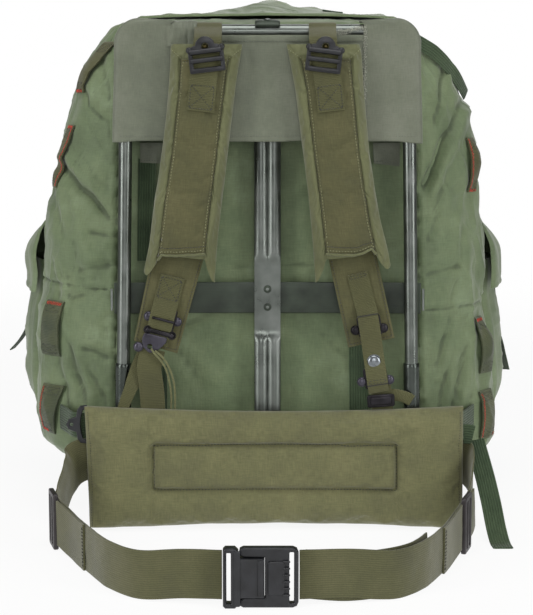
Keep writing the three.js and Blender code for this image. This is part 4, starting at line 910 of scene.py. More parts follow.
def make_frame():
    path = upper_path()
    upper = sweep("upper_tube", path, UPPER_RADIUS, anodised)
    stands_for(upper, "frame_metal", "upper_frame_tube")
    path, radii = lower_path()
    # The lower bow takes the darker copy of the tube metal: painted shade
    lower = sweep("lower_tube", path, radii, shade_painted_anodised)
    stands_for(lower, "frame_metal", "lower_frame_tube")
    make_post()
    reach = tube_x(CROSSBAR_HEIGHT) + UPPER_RADIUS + 4
    bar = Strap([(x, crossbar_y(x) + 1.5, CROSSBAR_HEIGHT) for x in np.linspace(-reach, reach, 41)], 32, UP,
        4)
    strip = strap_piece("crossbar_strip", bar, 3.0, painted_strip, steps=6)
    round_edges(strip, 0.7)
    stands_for(strip, "frame_metal", "crossbar")
    # The crossbar's bent ends beside the tubes, in the lighter tube metal
    for label, side in (("left", -1), ("right", 1)):
        lip = [(side * (reach + 1.2), -4.0, CROSSBAR_HEIGHT + t) for t in np.linspace(-11, 11, 6)]
        stands_for(sweep(f"crossbar_end_{label}", lip, 1.4, anodised, sides=12), "frame_metal")
    for name, height in (("upper_rivet", CROSSBAR_HEIGHT + 9.25), ("lower_rivet", CROSSBAR_HEIGHT - 9.25)):
        place = (0, post_y(height) - POST_FLAT_THICK / 2 - 0.1, height)
        head = dome(name + "_head", place, 4.0, 1.9, painted_strip, rim=0.4)
        stands_for(head, "frame_metal", name)
        pin = dome(name + "_pin", (place[0], place[1] - 1.7, place[2]), 1.6, 0.6, anodised, rim=0.1)
        stands_for(pin, "frame_metal")
    top_rivet = dome("cap_rivet", (0, 0, TOP_BAR + UPPER_RADIUS + GAP + POST_FLAT_THICK), 3.6, 1.4,
        anodised, way=(0, 0, 1))
    stands_for(top_rivet, "frame_metal")


make_frame()


# The bag. Its sections and folds are those of the part's source, followed by smooth curves.
# Rows of the sections: height, left, right, front and rear, as shares
BAG_SECTIONS = np.array([(0, 0.52, 0.504, 0.12, 0.825), (0.027, 0.664, 0.64, 0.06, 0.891),
    (0.062, 0.768, 0.76, 0.025, 0.935), (0.097, 0.852, 0.888, 0.01, 0.964),
    (0.147, 0.984, 0.984, 0.002, 0.986), (0.217, 1, 0.98, 0, 0.996), (0.31, 1, 0.964, 0, 1),
    (0.387, 0.988, 0.952, 0, 0.996), (0.464, 0.972, 0.936, 0, 0.989), (0.561, 0.956, 0.916, 0, 0.974),
    (0.658, 0.92, 0.9, 0, 0.956), (0.735, 0.888, 0.88, 0, 0.934), (0.812, 0.836, 0.848, 0.003, 0.905),
    (0.87, 0.8, 0.788, 0.006, 0.868), (0.928, 0.736, 0.708, 0.014, 0.817),
    (0.967, 0.672, 0.64, 0.03, 0.758), (0.99, 0.608, 0.584, 0.062, 0.692), (1, 0.488, 0.472, 0.17, 0.6),])
# Folds: turn, height, depth, spread, width and slope
BAG_FOLDS = [
    (190, 0.46, 5, 42, 0.05, 0.0006), (215, 0.27, 4, 30, 0.05, -0.0012), (185, 0.72, 4, 34, 0.05, 0.0015),
    (-12, 0.41, 5, 42, 0.05, 0.0007), (-30, 0.65, 4, 30, 0.06, -0.0014), (90, 0.6, 5, 50, 0.06, 0),
    (130, 0.78, 4, 25, 0.05, 0.001), (50, 0.8, 4, 25, 0.05, -0.001),
]
FRONT_SQUARE = 3.6
REAR_SQUARE = 2.8
PANEL_DENT = 13.0


def smooth_column(share, column):
    """A column of the section table along a curve that keeps between its rows."""
    x = BAG_SECTIONS[:, 0]
    y = BAG_SECTIONS[:, column]
    slope = np.diff(y) / np.diff(x)
    middle = np.where(slope[:-1] * slope[1:] > 0, 2 * slope[:-1] * slope[1:] /
        (slope[:-1] + slope[1:] + 1e-12), 0)
    tangent = np.concatenate((slope[:1], middle, slope[-1:]))
    i = np.clip(np.searchsorted(x, share, side="right") - 1, 0, len(x) - 2)
    width = x[i + 1] - x[i]
    t = np.clip((share - x[i]) / width, 0, 1)
    return ((2 * t ** 3 - 3 * t ** 2 + 1) * y[i] + (t ** 3 - 2 * t ** 2 + t) * width * tangent[i]
            + (3 * t ** 2 - 2 * t ** 3) * y[i + 1] + (t ** 3 - t ** 2) * width * tangent[i + 1])


def bag_section(height):
    share = np.clip(floats(height) / BAG_HEIGHT, 0, 1)
    left, right = (smooth_column(share, k) * BAG_HALF_WIDTH for k in (1, 2))
    front, rear = (BAG_FRONT + smooth_column(share, k) * BAG_DEPTH for k in (3, 4))
    return (right - left) / 2, (right + left) / 2, (front + rear) / 2, (rear - front) / 2


def fold_scale(turn, height, half_x):
    hollow = 0
    for at_turn, at_height, depth, spread, width, slope in BAG_FOLDS:
        away = turn - at_turn
        away = away - 360 * np.round(away / 360)
        rise = height / BAG_HEIGHT - at_height - slope * away
        hollow = hollow + depth * np.exp(-((away / spread) ** 2) - (rise / width) ** 2)
    return 1 - hollow / half_x


def panel_push(x, height):
    fade = smoothstep(height, 0, 60) * (1 - 0.7 * smoothstep(height, 400, 505))
    return PANEL_DENT * np.maximum(0, 1 - (x / tube_x(height)) ** 2) * fade


def bag_points(turn, height, inset=0.0):
    turn, height = np.broadcast_arrays(floats(turn), floats(height))
    middle_x, half_x, middle_y, half_y = bag_section(height)
    angle = np.radians(turn)
    power = 2 / np.where(np.sin(angle) < 0, FRONT_SQUARE, REAR_SQUARE)
    scale = fold_scale(turn, height, half_x)
    x = middle_x + np.sign(np.cos(angle)) * np.abs(np.cos(angle)) ** power * (half_x * scale - inset)
    reach = half_y * scale - inset
    y = middle_y + np.sign(np.sin(angle)) * np.abs(np.sin(angle)) ** power * reach
    y = np.where(y < middle_y, y + panel_push(x, height) * (middle_y - y) / reach, y)
    return np.stack((x, y, height), -1)


def bag_field(points):
    """Below zero inside the bag and above it outside, in millimetres close to its surface."""
    x, y, z = np.moveaxis(points, -1, 0)
    middle_x, half_x, middle_y, half_y = bag_section(z)
    push = panel_push(x, z)
    y = np.where(y < middle_y, (y - push * middle_y / half_y) / (1 - push / half_y), y)
    side = np.where(y < middle_y, FRONT_SQUARE, REAR_SQUARE)
    share_x = (x - middle_x) / half_x
    share_y = (y - middle_y) / half_y
    radius = (np.abs(share_x) ** side + np.abs(share_y) ** side) ** (1 / side)
    cos = np.sign(share_x) * np.abs(share_x / radius) ** (side / 2)
    sin = np.sign(share_y) * np.abs(share_y / radius) ** (side / 2)
    turn = np.degrees(np.arctan2(sin, cos))
    over = (radius - fold_scale(turn, z, half_x)) * half_y
    return np.maximum(over, np.maximum(z - BAG_HEIGHT, -z))


def bag_normal(points):
    reach = 3.0
    slope = [bag_field(points + reach * way) - bag_field(points - reach * way) for way in np.eye(3)]
    return unit(np.stack(slope, -1))


def on_bag(start, direction, outside=0.0):
    """Points of the bag's surface met from inside it, and then moved out."""
    start = floats(start)
    way = unit(direction)
    near = np.zeros(start.shape[:-1])
    far = np.full(start.shape[:-1], 500.0)
    for _ in range(24):
        middle = (near + far) / 2
        inside = bag_field(start + way * middle[..., None]) < 0
        near = np.where(inside, middle, near)
        far = np.where(inside, far, middle)
    point = start + way * far[..., None]
    return point + bag_normal(point) * floats(outside)[..., None]


def outside_bag(turn, height, out):
    base = bag_points(turn, height)
    ahead = bag_points(np.asarray(turn) + 1.0, height)
    behind = bag_points(np.asarray(turn) - 1.0, height)
    normal = unit(np.cross(ahead - behind, UP))
    away = base - TO_ROW
    normal = normal * np.sign((normal * away)[..., :2].sum(-1))[..., None]
    return base + normal * floats(out)[..., None]


# Creases that the photograph shows, as lines across its front: x and z of both ends, depth and width
BAG_CREASES = [
    (-186, 440, -172, 418, 2.6, 3.0), (-176, 436, -160, 402, 1.6, 4.0), (-214, 366, -172, 330, 4.6, 5.0),
    (-200, 350, -158, 314, 2.6, 4.0), (-232, 352, -214, 300, 3.0, 6.0), (-206, 318, -196, 262, 2.4, 6.0),
    (-178, 300, -156, 296, 2.0, 3.5), (-190, 262, -156, 268, 2.0, 4.0), (-206, 232, -176, 238, 2.0, 4.0),
    (-204, 176, -190, 128, 3.4, 4.0), (-218, 160, -208, 118, 2.6, 4.5), (-188, 178, -158, 172, 2.4, 4.0),
    (-182, 150, -160, 118, 2.0, 4.5), (-226, 262, -222, 232, 2.4, 4.0), (-168, 474, -160, 440, 2.2, 4.5),
    (181, 470, 172, 420, 3.0, 3.5), (196, 424, 164, 356, 5.2, 5.5), (182, 392, 162, 350, 2.6, 4.0),
    (206, 376, 216, 350, 2.8, 4.5), (176, 336, 166, 296, 1.8, 5.0), (214, 330, 219, 262, 3.2, 6.0),
    (206, 300, 196, 240, 2.2, 6.0), (188, 206, 176, 168, 2.2, 4.5), (206, 170, 196, 122, 3.6, 4.5),
    (186, 150, 178, 118, 2.6, 4.5), (222, 190, 226, 140, 2.6, 5.0), (196, 262, 160, 256, 1.8, 4.0),
    (46, 206, 74, 176, 2.6, 4.0), (30, 210, 44, 196, 1.8, 3.0), (-88, 176, -68, 142, 2.6, 4.0),
    (-92, 204, -60, 216, 2.4, 5.0), (38, 272, 33, 258, 2.6, 2.2), (-46, 282, -26, 256, 2.2, 3.5),
    (-36, 300, -30, 272, 1.6, 3.0), (62, 300, 80, 262, 1.8, 4.0), (-20, 200, -44, 168, 1.4, 5.0),
    (100, 300, 112, 256, 2.0, 4.0), (-150, 110, -120, 96, 1.6, 4.0), (24, 330, 60, 352, 1.2, 6.0),
]


def from_line(x, z, line):
    """How far points are along a line in x and z and beside it, and the line's length."""
    x0, z0, x1, z1 = line
    length = math.hypot(x1 - x0, z1 - z0)
    ux, uz = (x1 - x0) / length, (z1 - z0) / length
    return (x - x0) * ux + (z - z0) * uz, (x - x0) * -uz + (z - z0) * ux, length


def creases(points):
    """How far the listed creases move the cloth: in along their line, out beside it."""
    x, y, z = np.moveaxis(points, -1, 0)
    move = np.zeros(x.shape)
    sway = 2.5 * lumps(points, 17.0, 5)
    for *line, depth, width in BAG_CREASES:
        along, beside, length = from_line(x, z, line)
        beside = beside + sway
        taper = np.exp(-(np.clip(np.maximum(-along, along - length), 0, None) / (length * 0.22)) ** 2)
        raised = ridge(beside - 1.9 * width, 1.3 * width)
        move += taper * depth * (0.75 * raised - ridge(beside, width))
    return move * (y < 105)


SEAM_BESIDE_TUBE = 9.0
BAG_SEAM_LEVELS = ((-1, 243.0), (1, 221.0))


def bag_relief(points, turn):
    """Seams, puckers and wrinkles of the bag's cloth, in millimetres outwards."""
    x, y, z = np.moveaxis(points, -1, 0)
    front = y < 60
    seam_x = tube_x(z) + SEAM_BESIDE_TUBE
    from_seam = np.abs(np.abs(x) - seam_x)
    move = np.zeros(x.shape)
    # The panel seam beside each tube, pulled in, with puckers that run off it
    pucker = lumps(points * (0.25, 0.25, 1.0), 6.5, 11)
    move += front * (-3.2 * ridge(from_seam, 2.2) + 1.3 * ridge(from_seam - 5, 3.4))
    move += front * 1.5 * pucker * np.exp(-from_seam / 13)
    # The side panels' cross seams
    for side, level in BAG_SEAM_LEVELS:
        from_level = np.abs(z - level - 0.03 * (np.abs(x) - 200))
        here = (x * side > 0) * (np.abs(x) > seam_x)
        gather = lumps(points * (1.0, 0.6, 0.22), 7.0, 12)
        move += here * (-1.6 * ridge(from_level, 1.6) + 0.9 * ridge(from_level - 4, 2.6))
        move += here * 1.3 * gather * np.exp(-from_level / 16)
    # Loose cloth: long soft folds that lean both ways, and small ridges between them
    leaning = points @ np.array([[0.8, 0.1, 0.5], [0.1, 0.9, 0.1], [-0.35, 0.1, 0.45]]).T
    other = points @ np.array([[0.8, 0.1, -0.5], [0.1, 0.9, 0.1], [0.4, 0.1, 0.4]]).T
    slack = np.where(np.abs(x) > seam_x, 1.0, 0.45) * smoothstep(z, 10, 70)
    move += slack * 2.3 * lumps(leaning, 34.0, 1)
    move += slack * 1.5 * lumps(other, 19.0, 2)
    sharp = 1 - np.abs(lumps(leaning, 26.0, 3)) * 2
    move += slack * 1.5 * np.clip(sharp, 0, 1) ** 3
    sharp = 1 - np.abs(lumps(other, 17.0, 4)) * 2
    move += slack * 1.0 * np.clip(sharp, 0, 1) ** 3
    move += creases(points)
    # The gathered edge under the lid and the flat bottom
    crown = smoothstep(z, 470, 508)
    move += crown * 1.6 * lumps(np.stack((turn * 3.4, z * 0.25, z * 0), -1), 9.0, 6)
    return move * smoothstep(z, 1, 26)


def turn_steps():
    """Columns round the bag: close on the wearer's side and the flanks, wider at the rear."""
    density = [(-180, 1.6), (-170, 2.2), (-110, 1.0), (-70, 1.0), (-10, 2.2), (0, 1.6), (30, 0.8),
        (150, 0.8), (180, 1.6)]
    fine = np.linspace(-180, 180, 3601)
    weight = np.interp(fine, [a for a, _ in density], [w for _, w in density])
    reach = np.concatenate(([0.0], np.cumsum((weight[1:] + weight[:-1]) / 2)))
    return np.interp(np.linspace(0, reach[-1], 361)[:-1], reach, fine)


def make_bag():
    turns = turn_steps()
    heights = np.concatenate((np.linspace(0, 36, 16)[:-1], np.linspace(36, 470, 176)[:-1],
        np.linspace(470, BAG_HEIGHT, 30)))
    outer = bag_points(turns[None], heights[:, None])
    # The relief moves the cloth along its normal, which is kept level at the bottom edge
    normal = np.cross(np.gradient(outer, axis=1), np.gradient(outer, axis=0))
    normal = unit(normal)
    centre = np.stack(np.broadcast_arrays(0.0, BAG_MIDDLE, heights[:, None]), -1)
    normal *= np.sign((normal * (outer - centre)).sum(-1, keepdims=True))
    normal[:2] = unit(normal[:2] * (1, 1, 0) + 1e-6)
    relief = bag_relief(outer, np.broadcast_to(turns[None], outer.shape[:2]))
    outer = outer + normal * relief[..., None]
    outer[..., 2] = np.clip(outer[..., 2], 0, BAG_HEIGHT)
    # Nothing reaches into the frame's plane
    limit = BAG_FRONT - 3
    outer[..., 1] = np.maximum(outer[..., 1], limit)
    step = np.linalg.norm(np.diff(outer, axis=1, append=outer[:, :1]), axis=-1)
    around = np.concatenate((np.zeros((len(outer), 1)), np.cumsum(step, 1)), 1)
    around = np.broadcast_to(around[110][None], around.shape)
    cloth = np.stack((around, np.broadcast_to(heights[:, None], around.shape)), -1)
    inner_heights = np.array([BAG_HEIGHT - 0.1, 500, 470, 420, 360, 300, 240, 180, 120, 76, 50, 32, 14])
    inner = bag_points(turns[None], inner_heights[:, None], BAG_WALL + 3)
    floor_ring = inner[-1:].copy()
    floor_ring[..., 2] = BAG_WALL
    shell = Shell()
    first = shell.grid(outer, cloth, closed=True)
    rows = np.concatenate((inner, floor_ring))
    inner_cloth = np.stack((np.broadcast_to(around[0][None], (len(rows), around.shape[1])),
                            np.broadcast_to(rows[:, :1, 2], (len(rows), around.shape[1]))), -1)
    second = shell.grid(rows, inner_cloth, closed=True)
    shell.quads(loop_between(first[-1], second[0]), np.stack((cloth[-1], inner_cloth[0])))
    shell.fan(first[0])
    shell.fan(second[-1])
    bag = shell.build("bag_shell", packcloth, 75)
    return stands_for(bag, "bag_nylon", "bag_body")


bag_shell = make_bag()
bag_tree = tree_of(bag_shell)


class Face:
    """A grid of points for stitches and patches. Places on it are shares across and along."""

    def __init__(self, points, outward):
        self.points = floats(points)
        normal = unit(np.cross(np.gradient(self.points, axis=1), np.gradient(self.points, axis=0)))
        self.normal = normal * np.where((normal * outward).sum(-1, keepdims=True) < 0, -1, 1)

    def pick(self, grid, u, v):
        u, v = np.broadcast_arrays(floats(u), floats(v))
        rows, columns = grid.shape[:2]
        u = np.clip(u, 0, 1) * (columns - 1)
        v = np.clip(v, 0, 1) * (rows - 1)
        i = np.minimum(v.astype(int), rows - 2)
        j = np.minimum(u.astype(int), columns - 2)
        down, over = (v - i)[..., None], (u - j)[..., None]
        first = grid[i, j] * (1 - over) + grid[i, j + 1] * over
        second = grid[i + 1, j] * (1 - over) + grid[i + 1, j + 1] * over
        return first * (1 - down) + second * down

    def facing(self, u, v):
        return unit(self.pick(self.normal, u, v))

    def at(self, u, v, lift=0.0):
        return self.pick(self.points, u, v) + self.facing(u, v) * floats(lift)[..., None]

    def seam(self, corners, lift=0.25, **stitch):
        """Stitches along straight lines between corners."""
        corners = floats(corners)
        share = np.concatenate([np.linspace(i, i + 1, 24, endpoint=False) for i in range(len(corners) - 1)]
            + [[len(corners) - 1.0]])
        u, v = (np.interp(share, np.arange(len(corners)), corners[:, k]) for k in (0, 1))
        return stitch_line(self.at(u, v, lift), self.facing(u, v), **stitch)

    def box(self, u0, u1, v0, v1, cross=True, **stitch):
        lines = [self.seam([(u0, v0), (u1, v0)], **stitch), self.seam([(u0, v1), (u1, v1)], **stitch),
                 self.seam([(u0, v0), (u0, v1)], **stitch), self.seam([(u1, v0), (u1, v1)], **stitch)]
        if cross:
            lines += [self.seam([(u0, v0), (u1, v1)], **stitch), self.seam([(u0, v1), (u1, v0)], **stitch)]
        return lines

    def zigzag(self, start, end, reach, count, **stitch):
        """A tack that runs to and fro from start to end."""
        start, end = floats(start), floats(end)
        way = end - start
        side = np.array((-way[1], way[0])) / max(np.hypot(*way), 1e-9) * floats(reach)
        corners = [start + way * k / count + side * (1 if k % 2 else -1) for k in range(count + 1)]
        return self.seam(corners, **stitch)


def smooth_rows(values, passes=2):
    for _ in range(passes):
        wide = np.pad(values, 1, mode="edge")
        values = (wide[1:-1, :-2] + wide[1:-1, 2:] + wide[:-2, 1:-1] + wide[2:, 1:-1] + 4 * values) / 8
    return values


def laid(points, outward, lift, passes=3):
    """A grid of points moved onto the bag and then above it, without following its sharp dips."""
    points = floats(points)
    outward = np.broadcast_to(unit(outward), points.shape)
    rise = np.zeros(points.shape[:-1])
    for place in np.ndindex(rise.shape):
        start = Vector(part(points[place] + outward[place] * 60))
        hit = bag_tree.ray_cast(start, Vector(-outward[place]), 0.16)[0]
        if hit is not None:
            rise[place] = (np.array(hit) / MM + TO_ROW - points[place]) @ outward[place]
    rise = np.maximum(rise, smooth_rows(rise, passes))
    rise = smooth_rows(rise, 1)
    return points + outward * (rise + lift)[..., None]


# Pull cord of the quick release
CORD_DIAMETER = 2.2
CORD_POINTS = [(-117.5, -17.6, 186), (-114, -18.6, 181), (-109.4, -17.6, 175.5), (-103.5, -15.5, 166),
    (-99.6, -12, 150), (-98.2, -8.5, 136), (-98.6, -6.5, 122), (-99, -5.5, 112.5), (-97, -5, 108.6),
    (-95, -5.5, 112.5), (-94.6, -6.5, 122), (-94.2, -8.5, 136), (-95.4, -12, 151), (-99.5, -15.5, 165.5),
    (-106, -17.6, 177), (-113.5, -18.6, 184),]


def make_cord():
    path = spline(np.array(CORD_POINTS) - (0, 0.4, 0), 1.2)
    cord = sweep("release_cord", path, CORD_DIAMETER / 2, cord_cover, sides=12)
    stands_for(cord, "olive_webbing", "pull_cord")


make_cord()


# The envelope over the frame's top
ENVELOPE_HALF = TOP_TUBE_SPACING / 2 + UPPER_RADIUS + 4.65
ENVELOPE_BOTTOM = 394.0
ENVELOPE_TOP = 512.4
OPENING_HALF = 95.0
OPENING_HEIGHT = 499.0
ENVELOPE_ROLL = 5.0
# Where rays towards the bag start, and the depth taken where they pass it
BEFORE_ALL = -90.0
BAG_ROUND_EDGE = 30.0


def envelope_y(x, z):
    points = np.stack(np.broadcast_arrays(x, 0.0, z), -1)
    from_tube = np.abs(np.abs(x) - tube_x(z))
    sag = 0.9 * smoothstep(from_tube, 6, 30)
    folds = 0.9 * lumps(points * (1.0, 1.0, 0.16), 17.0, 21) + 0.35 * lumps(points * (1.0, 1.0, 0.3), 6.0,
        22)
    flare = -1.0 * smoothstep(ENVELOPE_BOTTOM + 16 - z, 0, 16)
    beside_strap = 0.8 * ridge(np.abs(x + 2) - 103, 5.0) * smoothstep(z, 400, 430)
    crease = 1.3 * ridge(x + 92.5 + 0.12 * (z - 505), 1.8) * smoothstep(z, 484, 494)
    return ENVELOPE_FRONT + sag + folds * smoothstep(from_tube, 2, 12) + flare + beside_strap + crease


def bag_front(x, z):
    """The y of the bag's cloth on the wearer's side."""
    def depth(one_x, one_z):
        hit = bag_tree.ray_cast(Vector(part((one_x, BEFORE_ALL, one_z))), Vector((0, 1, 0)))[0]
        return BAG_ROUND_EDGE if hit is None else hit.y / MM + BAG_MIDDLE

    return np.vectorize(depth)(x, z)


def make_envelope():
    half = ENVELOPE_HALF - ENVELOPE_ROLL
    # The cloth stands out round the tube's corners
    radius = 20.0
    top = ENVELOPE_TOP - ENVELOPE_ROLL + 3
    corner = half - radius
    bend = [corner + radius * math.sin(math.radians(a)) for a in np.linspace(3, 90, 26)]
    side = [OPENING_HALF + 0.8, *bend]
    x = np.array([-v for v in side[::-1]] + list(np.linspace(-OPENING_HALF, OPENING_HALF, 86)) + side)
    over = np.clip(np.abs(x) - corner, 0, radius)
    z_top = np.where(np.abs(x) > OPENING_HALF + 0.1, top - radius +
        np.sqrt(np.maximum(radius ** 2 - over ** 2, 0)), OPENING_HEIGHT + 0.8 *
        lumps(x[:, None] * (1, 0, 0), 30.0, 23))
    hang = lumps(x[:, None] * (1, 0, 0), 38.0, 24)
    z_bottom = ENVELOPE_BOTTOM + 1.6 * hang - 2.0 * smoothstep(np.abs(x), 120, 147)
    v = np.linspace(0, 1, 60)[:, None]
    z = z_bottom + (z_top - z_bottom) * v
    # The sides lean out towards the bottom
    lean = 2.6 * smoothstep(ENVELOPE_TOP - 30 - z, 0, 90) * np.sign(x) * smoothstep(np.abs(x), 100, 147)
    wide = np.broadcast_to(x, z.shape) + lean
    front = np.stack((wide, envelope_y(wide, z), z), -1)
    shell = Shell()
    index = shell.grid(front, front[..., (0, 2)])
    for side_sign in (-1, 1):
        column = 0 if side_sign < 0 else len(x) - 1
        inner = len(side) - 1
        tops = range(1, inner + 1) if side_sign < 0 else range(len(x) - 2, len(x) - inner - 2, -1)
        edge_index = np.concatenate((index[:, column], index[-1, list(tops)]))
        edge = np.concatenate((front[:, column], front[-1, list(tops)]))
        centre = np.array((side_sign * corner, 0, top - radius))
        outward = np.where(edge[:, 2:] < centre[2], (side_sign, 0, 0), unit((edge - centre) * (1, 0, 1)))
        reach = run_of(edge)
        rear = bag_front(edge[:, 0] * 0.94, np.minimum(edge[:, 2], BAG_HEIGHT * 0.972)) - 0.6
        rows = [edge]
        for angle in (22, 45, 68, 90):
            turn = math.radians(angle)
            rows.append(edge + outward * ENVELOPE_ROLL * math.sin(turn) + np.array((0, 1, 0)) *
                ENVELOPE_ROLL * (1 - math.cos(turn)))
        start = rows[-1]
        for share in (0.25, 0.5, 0.75, 1.0):
            row = start.copy()
            row[:, 1] = start[:, 1] + (rear - start[:, 1]) * share
            wrinkle = lumps(np.stack((reach, row[:, 1] * 1.6, reach * 0), -1), 9.0, 25)
            row += outward * (1.1 * wrinkle * math.sin(math.pi * share * 0.7) - 1.5 * share)[:, None]
            rows.append(row)
        rows = np.array(rows)
        added = shell.add_points(rows[1:])
        across = np.concatenate(([0.0], np.cumsum(np.linalg.norm(np.diff(rows, axis=0), axis=-1).mean(1))))
        cloth = np.stack(np.broadcast_arrays(across[:, None] + 160, reach[None]), -1)
        shell.quads(np.concatenate((edge_index[None], added)), cloth)
    piece = shell.build("envelope_cloth", coated_nylon, 60)
    thick = piece.modifiers.new("cloth_thickness", "SOLIDIFY")
    thick.thickness = 1.3 * MM
    thick.offset = 0
    stands_for(piece, "envelope_nylon", "frame_pocket")


make_envelope()


def on_envelope(x, z, lift):
    x, z = np.broadcast_arrays(floats(x), floats(z))
    return np.stack((x, envelope_y(x, z) - lift, z), -1)


def envelope_strip(name, x0, x1, z0, z1, lift, material, columns=60, rows=6):
    """A hem or facing that lies on the envelope's front."""
    x = np.linspace(x0, x1, columns)[None]
    z = np.linspace(z0, z1, rows)[:, None]
    shape = np.sin(np.linspace(0, math.pi, rows))[:, None] ** 0.4
    wave = 0.35 * lumps(np.stack(np.broadcast_arrays(x, 0.0, z), -1), 7.0, 26)
    front = on_envelope(x + 0 * z, z + 0 * x, lift * (0.3 + 0.7 * shape) + wave + 0.5)
    back = on_envelope(x + 0 * z, z + 0 * x, 0.2)
    piece = slab(name, front, back, material)
    stands_for(piece, "envelope_nylon")
    return Face(front, WEARER)


def fray(points, reach, seed, count=3):
    """Loose thread ends along a line: middles, directions and facings for make_stitches."""
    points = np.repeat(floats(points), count, axis=0)
    rng = np.random.default_rng(seed)
    way = unit(rng.normal(size=points.shape) * (1.0, 0.4, 1.2))
    facing = unit(np.cross(way, rng.normal(size=points.shape)))
    shift = rng.normal(size=points.shape) * (0.9, 0.3, 0.9)
    return np.concatenate((points + shift, way, facing), 1), (reach, 0.28)


def make_envelope_details():
    hem = envelope_strip("opening_hem", -OPENING_HALF + 1, OPENING_HALF - 1, OPENING_HEIGHT - 7.5,
        OPENING_HEIGHT + 0.3, 1.0, coated_nylon, 90)
    lines = [hem.seam([(0, 0.2), (1, 0.2)], pitch=2.6, length=1.6, width=0.7)]
    bottom = on_envelope(np.linspace(-148, 148, 120), ENVELOPE_BOTTOM + 5.5, 0.75)
    lines.append(stitch_line(bottom, WEARER, **FINE))
    for x, low, high in ((-95.8, 488, 508), (98.6, 398, 505)):
        edge = on_envelope(np.full(30, x), np.linspace(low, high, 30), 1.5)
        lines.append(stitch_line(edge, WEARER, **FINE))
    seam = make_stitches("envelope_stitches", lines, grey_thread)
    stands_for(seam, "envelope_nylon")
    # The opening's right side: a raw edge that has frayed
    facing = envelope_strip("opening_facing", 96.0, 101.5, 400, 507, 1.1, coated_nylon, 6, 60)
    edge = facing.at(np.full(150, 0.05), np.linspace(0.35, 0.97, 150), 0.4)
    corner = on_envelope(np.linspace(66, 97, 70), np.linspace(501, 507, 70), 0.6)
    lower = on_envelope(np.linspace(62, 80, 40), 500.5, 0.6)
    threads = make_stitches("frayed_edge", [fray(edge, 2.6, 31, 2), fray(corner, 3.6, 32, 3),
        fray(lower, 3.0, 33, 2)], fray_thread)
    stands_for(threads, "envelope_nylon")


make_envelope_details()


def make_gathered_cloth():
    """The envelope's cloth where it is drawn over the tube beside the left strap."""
    x = np.linspace(-100, -70, 61)
    reach = UPPER_RADIUS + 2.0
    arc_turn = np.radians(np.arange(180, -1, -15))
    line = [(-reach - 0.8, 488), (-reach - 0.4, 496), *zip(reach * np.cos(arc_turn),
        TOP_BAR + reach * np.sin(arc_turn)), (reach, TOP_BAR - 14)]
    line = spline(np.array([(0, y, z) for y, z in line]), 1.5)
    outward = unit(line - (0, 0, TOP_BAR)) * (line[:, 2:] > TOP_BAR) + np.where(line[:, 1:2] < 0, WEARER,
        (0, 1, 0)) * (line[:, 2:] <= TOP_BAR)
    flat = line[:, None] + x[None, :, None] * (1, 0, 0)
    ripple = 1.0 * np.abs(lumps(flat * (1.0, 0.25, 0.25), 5.5, 51)) + 0.5 * lumps(flat * (1.0, 0.4, 0.4),
        3.4, 52)
    ripple = ripple * smoothstep(np.abs(flat[..., 0] + 85), 15, 12)
    base = flat + outward[:, None] * ripple[..., None]
    piece = slab("gathered_cloth", base + outward[:, None] * 0.9, base, coated_nylon)
    stands_for(piece, "envelope_nylon")


make_gathered_cloth()


# The lid
LID_HALF = 132.0
LID_START, LID_END = 118.0, 8.0
LID_LIFT = 2.8
LID_THICK = 2.0
LID_SWELLS = ((-0.32, 0.2, 0.35), (0.03, 0.22, 1.0), (0.39, 0.15, 0.45))
LID_HUMP = 18.0


def lid_points(u, v, outside):
    u, v = np.broadcast_arrays(floats(u), floats(v))
    x = LID_HALF * (2 * u - 1)
    degrees = LID_START + (LID_END - LID_START) * v
    turn = np.radians(degrees)
    start = np.stack((x * 0.9, np.full(x.shape, BAG_MIDDLE - 20), np.full(x.shape, BAG_HEIGHT * 0.74)), -1)
    direction = np.stack((x * 0.1 / 140, np.cos(turn), np.sin(turn)), -1)
    swell = sum(share * ridge(x / LID_HALF - place, spread) for place, spread, share in LID_SWELLS)
    on_top = ridge(degrees - 78, 24)
    return on_bag(start, direction, outside + LID_HUMP * swell * on_top)


def make_lid():
    u = np.linspace(0, 1, 111)[None]
    v = np.linspace(0, 1, 151)[:, None]
    base = lid_points(u, v, LID_LIFT)
    normal = unit(np.cross(np.gradient(base, axis=1), np.gradient(base, axis=0)))
    normal *= np.where(normal[:60].mean((0, 1))[2] < 0, -1, 1)
    leaning = base @ np.array([[1.0, 0.2, 0.1], [0.35, 0.8, 0.1], [0.2, 0.2, 0.9]]).T
    relief = 1.3 * lumps(leaning, 22.0, 41) + 1.2 * np.clip(1 - 2 * np.abs(lumps(leaning, 15.0, 42)), 0,
        1) ** 2
    edge = np.minimum(np.minimum(u, 1 - u) * LID_HALF * 2, np.minimum(v, 1 - v) * 420)
    relief = relief * smoothstep(edge, 0, 14) + 0.9 * ridge(edge - 3, 2.0) - 0.8 * ridge(edge - 8.5, 1.2)
    outer = base + normal * (2.0 + np.maximum(relief, -1.2))[..., None]
    inner = base + normal * (0.6 + np.maximum(relief, -1.2))[..., None] * 0.6
    lid = slab("lid_cloth", outer, inner, packcloth, smooth_angle=70)
    stands_for(lid, "bag_nylon", "bag_lid")


make_lid()


# Lower pockets with flaps and closing straps
POCKET_BOTTOM = 88.0
POCKET_HEIGHT = 172.0
POCKET_WALL = 2.0
FLAP_HEIGHT = 78.0
FLAP_TOP = 306.0
SOFT_GAP = 0.8
# Pockets: name, turn, spread and depth
POCKETS = (("left_pocket", 158.0, 46.0, 30.0), ("right_pocket", 22.0, 46.0, 30.0),
    ("center_pocket", 90.0, 38.0, 44.0),)


def pocket_swell(u):
    return np.sin(math.pi * np.clip(u, 0, 1)) ** 0.45


